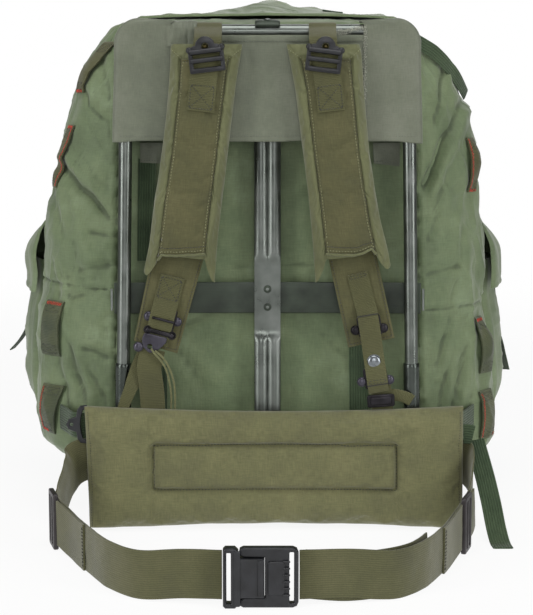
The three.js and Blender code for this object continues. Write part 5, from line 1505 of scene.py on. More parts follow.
def make_pocket(name, turn, spread, depth, seed):
    u = np.linspace(0, 1, 71)[None]
    v = np.linspace(0, 1, 61)[:, None]
    turns = turn + spread * (u - 0.5)
    rise = np.sin(np.minimum(1, v / 0.3) * math.pi / 2) ** 0.8 * (1 - 0.12 * v)
    heights = POCKET_BOTTOM + POCKET_HEIGHT * v + 0 * u
    body = outside_bag(turns, heights, 0.0)
    wrinkle = 1.6 * lumps(body, 24.0, seed) + 1.5 * np.clip(1 - 2 * np.abs(lumps(body, 17.0, seed + 1)), 0,
        1) ** 3
    wrinkle = wrinkle * smoothstep(np.minimum(u, 1 - u), 0, 0.12)
    outer = outside_bag(turns, heights, 0.95 + POCKET_WALL + depth * pocket_swell(u) * rise + wrinkle)
    inner = outside_bag(turns, heights, 0.95 + depth * pocket_swell(u) * rise + wrinkle)
    pocket = slab(name + "_cloth", outer, inner, packcloth, smooth_angle=70)
    stands_for(pocket, "bag_nylon", name)
    wide = turn + (spread + 4) * (u - 0.5)
    fall = np.sin(np.minimum(1, v / 0.55) * math.pi / 2)
    heights = FLAP_TOP - FLAP_HEIGHT * v - 4 * (u - 0.5) + 0 * u
    body = outside_bag(wide, heights, 0.0)
    edge = np.minimum(np.minimum(u, 1 - u) * 190, (1 - v) * FLAP_HEIGHT)
    wrinkle = 1.5 * lumps(body, 20.0, seed + 2) + 0.8 * ridge(edge - 2.5, 1.8) - 0.7 * ridge(edge - 7, 1.2)
    out = (depth + POCKET_WALL + SOFT_GAP + 3) * pocket_swell(u * 0.96 +
        0.02) * fall + 1.25 + np.maximum(wrinkle, -0.4)
    front = outside_bag(wide, heights, out + POCKET_WALL)
    back = outside_bag(wide, heights, out)
    flap = slab(name + "_flap_cloth", front, back, packcloth, smooth_angle=70)
    stands_for(flap, "bag_nylon", name + "_flap")


for number, pocket_row in enumerate(POCKETS):
    make_pocket(*pocket_row, 50 + 5 * number)

# Their straps: name, pocket, steps of the loose end, and width
POCKET_STRAPS = (
    ("left_pocket_strap", 0, [(-6, -6, -24), (-20, 0, -46), (-27, 4, -54)], 12.0),
    ("right_pocket_strap", 1, [(3, -4, -26), (10, -6, -52), (16, -8, -76)], 19.0),
    ("center_pocket_strap", 2, [(0, 2, -26), (0, 4, -60)], 19.0),
)


def make_pocket_strap(name, pocket, tail, width):
    _, turn, _, depth = POCKETS[pocket]
    on_flap = depth + POCKET_WALL * 2 + SOFT_GAP * 2 + 3.3 + WEBBING_THICK
    lead = [outside_bag(turn, FLAP_TOP - FLAP_HEIGHT * v, on_flap + 0.9) for v in (0.5, 0.7, 0.85, 1)]
    under = outside_bag(turn, lead[-1][2] - 30, on_flap + 0.2)
    path = [*lead, under, *(under + np.array(step) for step in tail)]
    outward = unit((lead[1] - TO_ROW) * (1, 1, 0))
    strap = Strap(path, width, np.cross(outward, UP), 2.0)
    piece = strap_piece(name + "_webbing", strap, WEBBING_THICK, green_webbing, steps=10, wave=0.5,
        seed=61 + pocket)
    stands_for(piece, "green_webbing", name)


for strap_row in POCKET_STRAPS:
    make_pocket_strap(*strap_row)

# Keepers sewn on the bag's sides: name, turn, top, bottom, lean, bow, width, cloth, and the bar tacks of red
# thread that the photograph shows, each from one place to another as shares across and along
TABS = (
    ("upper_left_tab", 208, 0.955, 0.855, -8, 5, 20, olive_webbing, [((0.1, 0.97), (0.9, 0.97))]),
    ("left_tab", 203, 0.79, 0.665, -2, 3, 16, olive_webbing,
     [((0.88, 0.02), (0.88, 0.98)), ((0.1, 0.03), (0.9, 0.03))]),
    ("mid_left_tab", 212, 0.437, 0.325, 0, 4, 30, dark_webbing, [((0.06, 0.05), (0.94, 0.05))]),
    ("bottom_left_tab", 211, 0.265, 0.165, -4, 4, 30, dark_webbing,
     [((0.1, 0.05), (0.1, 0.95)), ((0.1, 0.95), (0.6, 0.95))]),
    ("right_tab", -22, 0.765, 0.655, 2, 4, 16, olive_webbing,
     [((0.1, 0.02), (0.1, 0.98)), ((0.1, 0.97), (0.9, 0.97))]),
    ("mid_right_tab", -24, 0.4, 0.285, 1, 5, 22, dark_webbing, [((0.06, 0.05), (0.94, 0.05))]),
    ("bottom_right_tab", -26, 0.25, 0.15, 1, 4, 27, dark_webbing,
     [((0.08, 0.04), (0.08, 0.96)), ((0.9, 0.9), (0.9, 0.97))]),
)


def make_tabs():
    red = []
    dark = []
    for name, turn, top, bottom, lean, bow, width, cloth, tacks in TABS:
        tall = (top - bottom) * BAG_HEIGHT
        t = np.linspace(0, 1, 31)
        middle = outside_bag(turn + lean * (t - 0.5), (top + (bottom - top) * t) * BAG_HEIGHT, np.zeros(31))
        side = unit(outside_bag(turn + 1, middle[15, 2], 0.0) - outside_bag(turn - 1, middle[15, 2], 0.0))
        if side[0] < 0:
            side = -side
        outward = unit(np.cross(side, UP))
        outward = outward if outward @ ((middle[15] - TO_ROW) * (1, 1, 0)) > 0 else -outward
        across = np.linspace(-width / 2, width / 2, 11)
        flat = middle[:, None] + across[None, :, None] * side
        lift = bow * np.sin(math.pi * t)[:, None] ** 0.8 + 0.5 * lumps(flat, 9.0, 71)
        base = laid(flat, outward, 0.5 + lift * (0.8 + 0.2 * np.cos(across / width * 3))[None], 14)
        piece = slab(name + "_webbing", base + outward * WEBBING_THICK, base, cloth)
        stands_for(piece, "olive_webbing", name)
        face = Face(base + outward * WEBBING_THICK, outward)
        for start, end in tacks:
            length = np.hypot((end[0] - start[0]) * width, (end[1] - start[1]) * tall)
            along = abs(end[1] - start[1]) > 0.3
            reach = (1.1 / width, 1.1 / width) if along else (0.6 / width, 1.4 / tall)
            red.append(face.zigzag(start, end, reach, max(4, int(length / 1.3)), **TACK))
        dark += face.box(0.14, 0.86, 0.05, 0.2, **TAB_THREAD)
        dark += face.box(0.14, 0.86, 0.8, 0.95, **TAB_THREAD)
    stands_for(make_stitches("red_tacks", red, red_thread), "olive_webbing")
    stands_for(make_stitches("tab_stitches", dark, dark_thread), "olive_webbing")


make_tabs()


def make_upper_right_strap():
    turns = np.interp(np.linspace(0, 3, 40), np.arange(4), (-36, -27, -18, -10))
    heights = np.interp(np.linspace(0, 3, 40), np.arange(4), (0.955, 0.935, 0.9, 0.85)) * BAG_HEIGHT
    path = outside_bag(turns, heights, SOFT_GAP + 6 + 2.0 * np.sin(np.linspace(0, math.pi, 40)))
    strap = Strap(path, 14, UP, 2.0)
    piece = strap_piece("upper_right_webbing", strap, WEBBING_THICK, green_webbing, steps=8, wave=0.6,
        seed=72)
    stands_for(piece, "green_webbing", "upper_right_strap")


make_upper_right_strap()


def make_lid_straps():
    for name, u, seed in (("left_lid_strap", 0.25, 81), ("right_lid_strap", 0.75, 82)):
        path = [lid_points(u, v, LID_LIFT + LID_THICK + GAP + 2.6) for v in (0.68, 0.76, 0.84, 0.92, 0.99)]
        last = path[-1]
        for drop in (30, 62):
            height = last[2] - drop
            middle_y = bag_section(height)[2]
            rear = on_bag(np.array((last[0], float(middle_y), height)), np.array((0.0, 1.0, 0.0)))
            path.append(np.array((last[0], rear[1] + SOFT_GAP + 2 + WEBBING_THICK + 1.5, height)))
        strap = Strap(path, WEBBING, SIDEWAYS, 2.5)
        piece = strap_piece(name + "_webbing", strap, WEBBING_THICK, green_webbing, steps=10, wave=0.4,
            seed=seed)
        stands_for(piece, "green_webbing", name)
    u = np.linspace(0.72, 0.8, 16)
    tab = Strap(lid_points(u, 0.16, LID_LIFT + LID_THICK + GAP + 1.9), 12, (0, 1, 0), 1.5)
    piece = strap_piece("top_tab_webbing", tab, WEBBING_THICK, green_webbing, steps=8, wave=0.3, seed=83)
    stands_for(piece, "green_webbing", "top_tab")


make_lid_straps()


def four_cornered(corners, u, v):
    """Points in x and z between corners at the top left, top right, bottom left and bottom right."""
    top_left, top_right, low_left, low_right = (np.array(corner, float) for corner in corners)
    return (top_left * (1 - u) + top_right * u) * (1 - v) + (low_left * (1 - u) + low_right * u) * v


# Webbing that lies on the bag behind the frame, and the ends of the grey cloth beside the straps
def on_back_panel(name, corners, material, lift, slot="green_webbing", rows=40, columns=9, wave=0.3,
        seed=1):
    """A four-cornered patch on the bag's front."""
    u = np.linspace(0, 1, columns)[None, :, None]
    v = np.linspace(0, 1, rows)[:, None, None]
    flat = four_cornered(corners, u, v)
    points = np.stack((flat[..., 0], np.full(flat.shape[:2], -5.0), flat[..., 1]), -1)
    ripple = wave * lumps(points, 9.0, seed)
    out = np.array((0.0, -1.0, 0.0))
    base = laid(points, out, lift + ripple, 3)
    piece = slab(name, base + out * WEBBING_THICK, base, material)
    stands_for(piece, slot)
    return Face(base + out * WEBBING_THICK, out)


def make_back_panel_pieces():
    lines = []
    for name, corners, seed in (
        ("left_panel_webbing", ((-131, 376), (-113, 374), (-133, 272), (-116, 272)), 91),
        ("post_side_webbing", ((-121, 163), (-104, 163), (-121, 108), (-104, 108)), 92),
        ("right_panel_webbing", ((84, 188), (103, 186), (85, 112), (104, 112)), 93),
    ):
        on_back_panel(name, corners, green_webbing, 0.8, seed=seed)
    for name, corners, seed in (
        ("left_panel_end", ((-129, 392), (-107, 392), (-129, 372), (-108, 371)), 94),
        ("right_panel_end", ((107, 392), (134, 392), (108, 371), (134, 368)), 95),
    ):
        face = on_back_panel(name, corners, coated_nylon, 1.2, "envelope_nylon", rows=20, columns=16,
            wave=1.1, seed=seed)
        lines.append(face.seam([(0.0, 0.88), (1.0, 0.88)], pitch=2.6, length=1.7, width=0.6))
    stands_for(make_stitches("panel_end_stitches", lines, grey_thread), "envelope_nylon")


make_back_panel_pieces()


# Padded pieces: the grids are filled with air by a cloth simulation, then made finer
AIR_PRESSURE = 4.0
AIR_FRAMES = 20
CLOTH_SLACK = 0.012


def filled(front, back, sewn, most):
    """Blows up the front of a closed cushion. sewn is how firmly each front point is held, from 0 to 1.
    Returns the front's points, none of them moved by more than most mm."""
    rows, columns = front.shape[:2]
    index = np.arange(rows * columns).reshape(rows, columns)
    under = index + rows * columns
    sides = loop_between(rim_of(index), rim_of(under))
    faces = [quad_faces(index), *(quad_faces(grid)[..., (0, 3, 2, 1)] for grid in (under, sides))]
    faces = np.concatenate([face.reshape(-1, 4) for face in faces])
    mesh = bpy.data.meshes.new("cushion")
    points = part(np.concatenate((front.reshape(-1, 3), back.reshape(-1, 3))))
    mesh.from_pydata(points.tolist(), [], faces.tolist())
    work = bmesh.new()
    work.from_mesh(mesh)
    bmesh.ops.recalc_face_normals(work, faces=work.faces)
    work.to_mesh(mesh)
    work.free()
    cushion = new_object("cushion", mesh)
    scene = bpy.context.scene
    group = cushion.vertex_groups.new(name="sewn")
    for number, weight in enumerate(np.concatenate((sewn.ravel(), np.ones(rows * columns)))):
        group.add([number], float(weight), "REPLACE")
    air = cushion.modifiers.new("air", "CLOTH")
    air.settings.quality = 6
    air.settings.mass = 0.1
    air.settings.tension_stiffness = 14
    air.settings.compression_stiffness = 14
    air.settings.bending_stiffness = 0.4
    air.settings.use_pressure = True
    air.settings.uniform_pressure_force = AIR_PRESSURE
    air.settings.effector_weights.gravity = 0
    air.settings.vertex_group_mass = "sewn"
    air.settings.shrink_min = -CLOTH_SLACK
    air.point_cache.frame_start = 1
    air.point_cache.frame_end = AIR_FRAMES
    for frame in range(1, AIR_FRAMES + 1):
        scene.frame_set(frame)
    done = cushion.evaluated_get(bpy.context.evaluated_depsgraph_get()).to_mesh()
    moved = np.array([v.co[:] for v in done.vertices])[:rows * columns]
    scene.frame_set(1)
    bpy.data.objects.remove(cushion)
    step = moved.reshape(front.shape) / MM + TO_ROW - front
    size = np.linalg.norm(step, axis=-1, keepdims=True)
    return front + step * np.minimum(1, most / np.maximum(size, 1e-6))


def finer(grid, factor):
    """A grid with factor times as many steps each way, along smooth curves."""
    for axis in (0, 1):
        grid = np.moveaxis(grid, axis, 0)
        padded = np.concatenate((2 * grid[:1] - grid[1:2], grid, 2 * grid[-1:] - grid[-2:-1]))
        place = np.linspace(0, len(grid) - 1, (len(grid) - 1) * factor + 1)
        i = np.minimum(place.astype(int), len(grid) - 2)
        t = (place - i).reshape(-1, *([1] * (grid.ndim - 1)))
        a, b, c, d = (padded[i + k] for k in range(4))
        grid = 0.5 * (2 * b + (c - a) * t + (2 * a - 5 * b + 4 * c - d) * t ** 2 + (3 * b - a - 3 * c + d) *
            t ** 3)
        grid = np.moveaxis(grid, 0, axis)
    return grid


def with_relief(grid, relief, outward):
    face = Face(grid, outward)
    return grid + face.normal * relief[..., None]


SIDES = ((-1, "left"), (1, "right"))


def turned_point(middle, degrees, across, up, forward=0.0):
    """A point at distances across and up a piece that is turned in its own plane, and forward of it."""
    spin = math.radians(degrees)
    return (middle[0] + across * math.cos(spin) + up * math.sin(spin), middle[1] - forward,
            middle[2] + up * math.cos(spin) - across * math.sin(spin))


# Shoulder straps: where the left and right edges run, as height and x
STRAP_EDGES = {-1: (((494, -95), (446, -98), (399, -103), (371, -107), (338, -112.5), (292, -118.6),
    (258, -126)), ((494, -24), (456, -30.6), (424, -34.4), (371, -41), (297, -50), (258, -53))),
    1: (((494, 18), (446, 27.5), (402, 33), (341, 41), (286, 46), (258, 48)),
    ((494, 90), (483, 92.5), (434, 96.6), (384, 101.5), (347, 107), (316, 113), (286, 120.6), (258, 126))),}
STRAP_THICKNESS = ((0, 0.55), (0.05, 0.88), (0.2, 1), (0.69, 1), (0.87, 0.92), (0.95, 0.75), (1, 0.5))
STRAP_SEAM = 0.172
STRAP_PANEL_TOP = 475.0
STRAP_HEM = 281.0
# The pad's foot: two tongues of the side pieces beside the front panel, from the outer edge to the inner one
STRAP_FOOT = ((0, 264), (0.03, 261), (0.08, 262), (0.15, 271), (0.19, 282), (0.84, 277), (0.88, 268),
    (0.97, 254), (1, 253))
HEM_SLANT = 7.5


def strap_x(side, height, share):
    left, right = (np.interp(height, *zip(*edge[::-1])) for edge in STRAP_EDGES[side])
    return left + (right - left) * share


def strap_front(height):
    down = (STRAP_TOP - floats(height)) / STRAP_LENGTH
    return STRAP_BACK - STRAP_THICK * np.interp(down, *zip(*STRAP_THICKNESS))


def make_shoulder_pad(side, name):
    u = np.linspace(0, 1, 27)[None]
    v = np.linspace(0, 1, 65)[:, None]
    outer = u if side < 0 else 1 - u
    bottom = np.interp(outer, *zip(*STRAP_FOOT))
    if side > 0:
        bottom = bottom + 6 * smoothstep(0.5 - outer, 0, 0.3)
    z = STRAP_TOP + (bottom - STRAP_TOP) * v
    x = strap_x(side, z, u)
    edge = np.abs(2 * u - 1)
    seam = ridge(edge - (1 - 2 * STRAP_SEAM), 0.05) * smoothstep(z, 250, 275) * smoothstep(480 - z, 0, 6)
    across_seam = ridge(z - STRAP_PANEL_TOP, 1.8) * smoothstep(1 - 2 * STRAP_SEAM - edge, -0.02, 0.02)
    seam = np.maximum(seam, across_seam)
    profile = (1 - edge ** 9 * 0.72) * (1 - 0.16 * seam)
    y = STRAP_BACK + (strap_front(z) - STRAP_BACK) * profile
    front = np.stack(np.broadcast_arrays(x, y, z), -1)
    back = front.copy()
    back[..., 1] = STRAP_BACK
    sewn = np.clip(seam * 1.1, 0, 1)
    sewn[0] = sewn[-1] = 1
    sewn[:, 0] = sewn[:, -1] = 1
    full = filled(front, back, sewn, 1.6)
    fine = finer(full, 3)
    u_fine = np.linspace(0, 1, fine.shape[1])[None]
    z_fine = fine[..., 2]
    edge = np.abs(2 * u_fine - 1)
    line = 1 - 2 * STRAP_SEAM
    groove = -1.3 * ridge(edge - line, 0.022) * smoothstep(480 - z_fine, 0, 6)
    pucker = lumps(fine * (0.3, 0.3, 1.0), 5.0, 101 + side) * np.exp(-np.abs(edge - line) / 0.16)
    mitre = np.exp(-((((z_fine - 490) + 17 * (1 - edge) / (2 * STRAP_SEAM)) / 1.6) ** 2)) * (edge > line -
        0.02)
    relief = groove + 0.3 * pucker + 0.35 * lumps(fine, 22.0, 103 + side) - 1.0 * mitre * smoothstep(z_fine,
        470, 474)
    fine = with_relief(fine, relief, WEARER)
    under = finer(back, 3)
    pad = slab(name + "_body", fine, under, edge_cloth, smooth_angle=60)
    stands_for(pad, "strap_nylon", name)
    return Face(fine, WEARER)


def height_share(face, height):
    """The share along a face at which its middle column has a height."""
    column = face.points[:, face.points.shape[1] // 2, 2]
    return float(np.interp(-height, -column, np.linspace(0, 1, len(column))))


def cover(face, name, v0, v1, slant, seed):
    """The panel that lies on a pad between its seams, with a slanting lower edge."""
    columns, rows = 60, 140
    lift, thickness = 0.5, 0.9
    u = np.linspace(STRAP_SEAM, 1 - STRAP_SEAM, columns)[None]
    low = np.linspace(v1 - slant, v1 + slant, columns)[None]
    v = v0 + (low - v0) * np.linspace(0, 1, rows)[:, None]
    u = u + 0 * v
    points = face.at(u, v)
    normal = face.facing(u, v)
    hem = np.minimum(np.minimum(np.arange(columns), np.arange(columns)[::-1])[None] * 1.2,
                     np.minimum(np.arange(rows), np.arange(rows)[::-1])[:, None] * 1.2)
    rise = lift + 0.25 * lumps(points, 8.0, seed) - 0.5 * ridge(hem - 2.6, 1.0)
    piece = slab(name, points + normal * (rise + thickness)[..., None], points + normal * (lift * 0.4),
        strap_cloth)
    return piece, Face(points + normal * (rise + thickness)[..., None], WEARER)


def make_straps():
    dark = []
    pale = []
    for side, name in SIDES:
        pad = make_shoulder_pad(side, name + "_shoulder_pad")
        v0, v1 = height_share(pad, STRAP_PANEL_TOP), height_share(pad, STRAP_HEM)
        slant = HEM_SLANT / STRAP_LENGTH * side * 0.5
        panel, face = cover(pad, name + "_strap_panel", v0, v1, slant, 111 + side)
        stands_for(panel, "strap_nylon")
        for u in (STRAP_SEAM - 0.006, 1 - STRAP_SEAM + 0.006):
            dark.append(pad.seam([(u, v0), (u, 0.97)], **TOPSTITCH, lift=0.5))
        for u in (0.05, 0.95):
            pale.append(face.seam([(u, 0.01), (u, 0.99)], **SEWN))
        dark.append(face.seam([(0.04, 0.015), (0.96, 0.015)], pitch=3.0, length=2.1, width=0.7))
        pale.append(face.seam([(0.02, 0.975), (0.98, 0.975)], **SEWN))
        hem = face.at(np.linspace(0.0, 1.0, 14), np.full(14, 0.995), 0.6)
        stands_for(sweep(name + "_strap_hem", hem, 1.3, edge_cloth, sides=12), "strap_nylon")
        dark.append(face.seam([(0.02, 0.955), (0.98, 0.955)], pitch=2.6, length=2.2, width=0.8))
        for corner, inner in ((0.01, STRAP_SEAM), (0.99, 1 - STRAP_SEAM)):
            pale.append(pad.seam([(corner, 0.02), (inner, v0 - 0.005)], pitch=3.0, length=2.0, width=0.7))
    return dark, pale


dark_lines, pale_lines = make_straps()

PLATE_CORNERS = {
    -1: ((-112, 300), (-60, 292), (-135.5, 193), (-91.5, 180)),
    1: ((57, 296), (105, 301), (82, 186), (129, 196)),
}


def make_plate(side, name):
    u = np.linspace(0, 1, 41)[None, :, None]
    v = np.linspace(0, 1, 81)[:, None, None]
    flat = four_cornered(PLATE_CORNERS[side], u, v)
    points = np.stack((flat[..., 0], np.zeros(flat.shape[:2]), flat[..., 1]), -1)
    edge = np.minimum(np.minimum(u, 1 - u) * PLATE_WIDTH, np.minimum(v + 0.2, 1 - v) * PLATE_LENGTH)[..., 0]
    thick = PLATE_THICK * (1 - 0.35 * np.exp(-edge / 0.8)) - 0.5 * ridge(edge - 4.2, 0.9)
    wave = 0.35 * lumps(points, 12.0, 121 + side)
    front, back = points.copy(), points.copy()
    front[..., 1] = PLATE_BACK - thick + wave
    back[..., 1] = PLATE_BACK + wave * 0.5
    plate = slab(name + "_strap_plate_cloth", front, back, strap_cloth)
    stands_for(plate, "strap_nylon", name + "_strap_plate")
    face = Face(front, WEARER)
    for u_line in (0.05, 0.95):
        dark_lines.append(face.seam([(u_line, 0.14), (u_line, 0.98)], **SEWN))
    dark_lines.append(face.seam([(0.05, 0.975), (0.95, 0.975)], **SEWN))


for side, name in SIDES:
    make_plate(side, name)


def stitched_strap(name, path, width, across, material, node_name, seed, boxes=()):
    """A strap with sewn boxes, each with its start and end along the strap and whether it is crossed."""
    strap = Strap(path, width, across, 2.0)
    piece = strap_piece(name, strap, WEBBING_THICK, material, steps=12, wave=0.25, seed=seed)
    slot = "green_webbing" if material is green_webbing else "olive_webbing"
    stands_for(piece, slot, *([node_name] if node_name else []))
    half = np.ravel(width)[0] / 2 - 2.2
    flip = 1 if strap.normal[len(strap.normal) // 3, 1] < 0 else -1
    for first, last, cross in boxes:
        corners = [((-half, first), (half, first)), ((-half, last), (half, last)),
            ((-half, first), (-half, last)), ((half, first), (half, last))]
        if cross:
            corners += [((-half, first), (half, last)), ((-half, last), (half, first))]
        for (a0, d0), (a1, d1) in corners:
            share = np.linspace(0, 1, 24)
            distance = d0 + (d1 - d0) * share
            points = strap.at(a0 + (a1 - a0) * share, distance, flip * (WEBBING_THICK / 2 + 0.2) *
                np.ones(24))
            dark_lines.append(stitch_line(points, strap.facing(distance) * flip, pitch=2.8, length=1.9,
                width=0.8))
    return strap


def make_top_webbing(side, name):
    path = []
    for down in (0.295, 0.245, 0.2, 0.15, 0.1, 0.05):
        height = STRAP_TOP - STRAP_LENGTH * down
        x = float(strap_x(side, height, 0.5)) - side
        y = float(strap_front(height)) - 3.4 - WEBBING_THICK / 2
        path.append((x, y, height))
    top_x = path[-1][0] - side * 1.5
    path.append((top_x, float(strap_front(STRAP_TOP)) - 4.5, STRAP_TOP + 5))
    radius = UPPER_RADIUS + GAP + WEBBING_THICK / 2 + 0.2
    for degrees in range(150, -101, -25):
        turn = math.radians(degrees)
        path.append((top_x, radius * math.cos(turn), TOP_BAR + radius * math.sin(turn)))
    behind = ENVELOPE_FRONT - GAP - WEBBING_THICK / 2
    path += [(top_x, ENVELOPE_FRONT + 3.6, OPENING_HEIGHT + 3.2), (top_x, ENVELOPE_FRONT + 0.3,
        OPENING_HEIGHT + 2.6), (top_x, behind, OPENING_HEIGHT - 2), (top_x, behind, STRAP_TOP - 8),
        (top_x + side, behind, STRAP_TOP - 30)]
    stitched_strap(name + "_top_webbing_cloth", path, WEBBING, SIDEWAYS, olive_webbing,
        name + "_top_webbing", 131 + side, boxes=[(2.5, 25, True)])


def ladder_outlines(width, height):
    """A ladder buckle: a domed tab with a hole, above a frame with two slots."""
    w = width / 2
    shoulder = height * 0.17
    dome_radius = min(width, height) * 0.28
    outer = [(-w + 1, -height / 2), (w - 1, -height / 2), (w, -height / 2 + 1), (w, shoulder - 1),
        (w - 1.5, shoulder + 1.2), (dome_radius + 1.5, shoulder + 3.4),
        *arc(0, height / 2 - dome_radius, dome_radius, 8, 172, 16), (-dome_radius - 1.5, shoulder + 3.4),
        (-w + 1.5, shoulder + 1.2), (-w, shoulder - 1), (-w, -height / 2 + 1)]
    hole = circle(0, height / 2 - dome_radius, dome_radius * 0.36)
    slots = [rounded(width - 8, height * 0.14, 1, 0, height * level) for level in (-0.02, -0.29)]
    return [outer, hole, *slots]


def make_ladder_buckle(side, name):
    width, height, depth = 35.0, 35.0, 4.0
    z = STRAP_TOP - STRAP_LENGTH * 0.045
    y = float(strap_front(STRAP_TOP - STRAP_LENGTH * 0.1)) - 0.3 - WEBBING_THICK - 0.6 - 3.0
    x = float(strap_x(side, z, 0.5)) - side
    turn = (4.0, side * 7.0, 0.0)
    buckle = moulding(name + "_buckle_frame", ladder_outlines(width, height), depth, (x, y - depth / 2, z),
        turn, acetal, 0.9)
    stands_for(buckle, "black_plastic", name + "_ladder_buckle")
    # The two bars stand forward of the side rails, and the ears are knobs
    spin = side * 7.0
    middle = (x, y, z)
    for label, level, thick in (("upper", 0.09, 2.6), ("lower", -0.155, 2.3)):
        reach = width / 2 - 2
        bar = [turned_point(middle, spin, t, level * height, depth + 0.4) for t in np.linspace(-reach,
            reach, 12)]
        stands_for(sweep(f"{name}_{label}_bar", bar, thick, acetal, sides=16), "black_plastic")
    for end, label in SIDES:
        spot = turned_point(middle, spin, end * (width / 2 - 1.6), 5.5, depth - 0.3)
        stands_for(dome(f"{name}_buckle_ear_{label}", spot, 3.2, 2.4, acetal), "black_plastic")
    spot = turned_point(middle, spin, 0, height / 2 - 9.8, 1.2)
    rivet = dome(name + "_buckle_rivet", spot, 2.6, 1.5, brass_metal)
    stands_for(rivet, "hardware_metal")


for side, side_name in SIDES:
    make_top_webbing(side, side_name)
    make_ladder_buckle(side, side_name)


# Lower hardware on the plates
IN_PLATE = ON_PLATE - WEBBING_THICK / 2 - GAP
HARDWARE_THICK = 2.5
PLATE_TILT = math.degrees(math.atan2(PLATE_SPREAD, PLATE_LENGTH))


def on_plate(side, drop, aside=0.0):
    top = STRAP_TOP - STRAP_LENGTH + STRAP_NOTCH
    x = -2 + side * (88 + PLATE_SPREAD * drop / PLATE_LENGTH) + aside
    return np.array((x, ON_PLATE, top - drop))


def on_hardware(side, drop, aside=0.0):
    place = on_plate(side, drop, aside)
    place[1] = IN_PLATE - HARDWARE_THICK / 2
    return place


def make_left_hardware():
    # The webbing runs over the frame's upper bar and dives under its lower one
    rises = ((23, 0), (44, 0), (52, -2.6), (58, -4.4), (72, -4.6), (80, -3.4), (86, -0.6), (92, 0))
    path = [on_plate(-1, drop, 0.5) + (0, rise, 0) for drop, rise in rises]
    stitched_strap("left_lower_webbing_cloth", path, WEBBING - 2, (0.968, 0, -0.25), olive_webbing,
        "left_lower_webbing", 141, boxes=[(2.5, 24, True)])
    tilt = (0.0, PLATE_TILT, 0.0)
    outline = rounded(25, 24, 3)
    slots = [rounded(20, 5, 1, 0, 5.4), rounded(20, 5.5, 1, 0, -4.6)]
    frame_piece = moulding("release_frame_metal", [outline, *slots], HARDWARE_THICK, on_hardware(-1, 66, 2),
        tilt, black_steel, 0.8)
    stands_for(frame_piece, "hardware_metal", "release_frame")
    middle = on_hardware(-1, 66, 2)
    for label, end, aside, high, size in (("left", -1, 15.0, -1.0, 5.0), ("right", 1, 14.6, 0.5, 4.6),
                                          ("low", -1, 17.5, -34.0, 5.0)):
        spot = turned_point(middle, PLATE_TILT, end * aside, high, -1.2)
        stands_for(dome(f"release_ear_{label}", spot, size, 2.8, grey_steel, rim=0.8), "hardware_metal")
    for label, level, front, thick, reach in (("upper", -0.5, 4.6, 1.3, 11.0),
            ("lower", -14.0, 3.4, 2.6, 12.6)):
        bar = [turned_point(middle, PLATE_TILT, t, level, front) for t in np.linspace(-reach, reach, 12)]
        stands_for(sweep(f"release_{label}_bar", bar, thick, black_steel, sides=16), "hardware_metal")
        if label == "lower":
            for tip, side_name in ((0, "left"), (-1, "right")):
                spot = np.array(bar[tip]) + (0, 2.0, 0)
                knob = dome(f"release_knob_{side_name}", spot, 4.2, 5.4, black_steel, rim=1.6)
                stands_for(knob, "hardware_metal")
    lever = [(-10, 8), (-12.4, 6), (-13, 2), (-12, -3), (-10, -7), (-4.5, -10.8), (-2, -11.5), (0.5, -10.6),
        (6, -6), (10, 0), (11.5, 2.5), (11.5, 7), (10.5, 8)]
    hole = circle(-3.5, -5, 2.6)
    stands_for(moulding("release_lever_metal", [lever, hole], HARDWARE_THICK, on_hardware(-1, 90, -1), tilt,
        grey_steel, 0.8), "hardware_metal", "release_lever")
    end = on_plate(-1, PLATE_LENGTH)
    top = PAD_BOTTOM + PAD_HEIGHT
    path = [(end[0] - 1, ON_PLATE + 0.6, end[2] - 1.3), (end[0] - 5, ON_PLATE - 0.6, end[2] - 20),
        (end[0] - 3, PAD_BACK - 0.4, top + 16), (end[0] - 2, PAD_BACK + 1.1, top - 1),
        (end[0] - 2, PAD_BACK + 1.1, top - 9)]
    stitched_strap("left_frame_webbing_cloth", path, WEBBING - 2, SIDEWAYS, olive_webbing,
        "left_frame_webbing", 142)
    # Its other branch runs out over the side tube to the foot of the frame
    path = [(-119, -9.0, 182), (-127, -9.0, 168), (-136, -9.6, 151), (-143, -11.0, 135), (-148, -11.2, 122)]
    stitched_strap("left_frame_branch", path, [24, 20, 13, 11], (0.93, 0, -0.37), olive_webbing, None, 143)


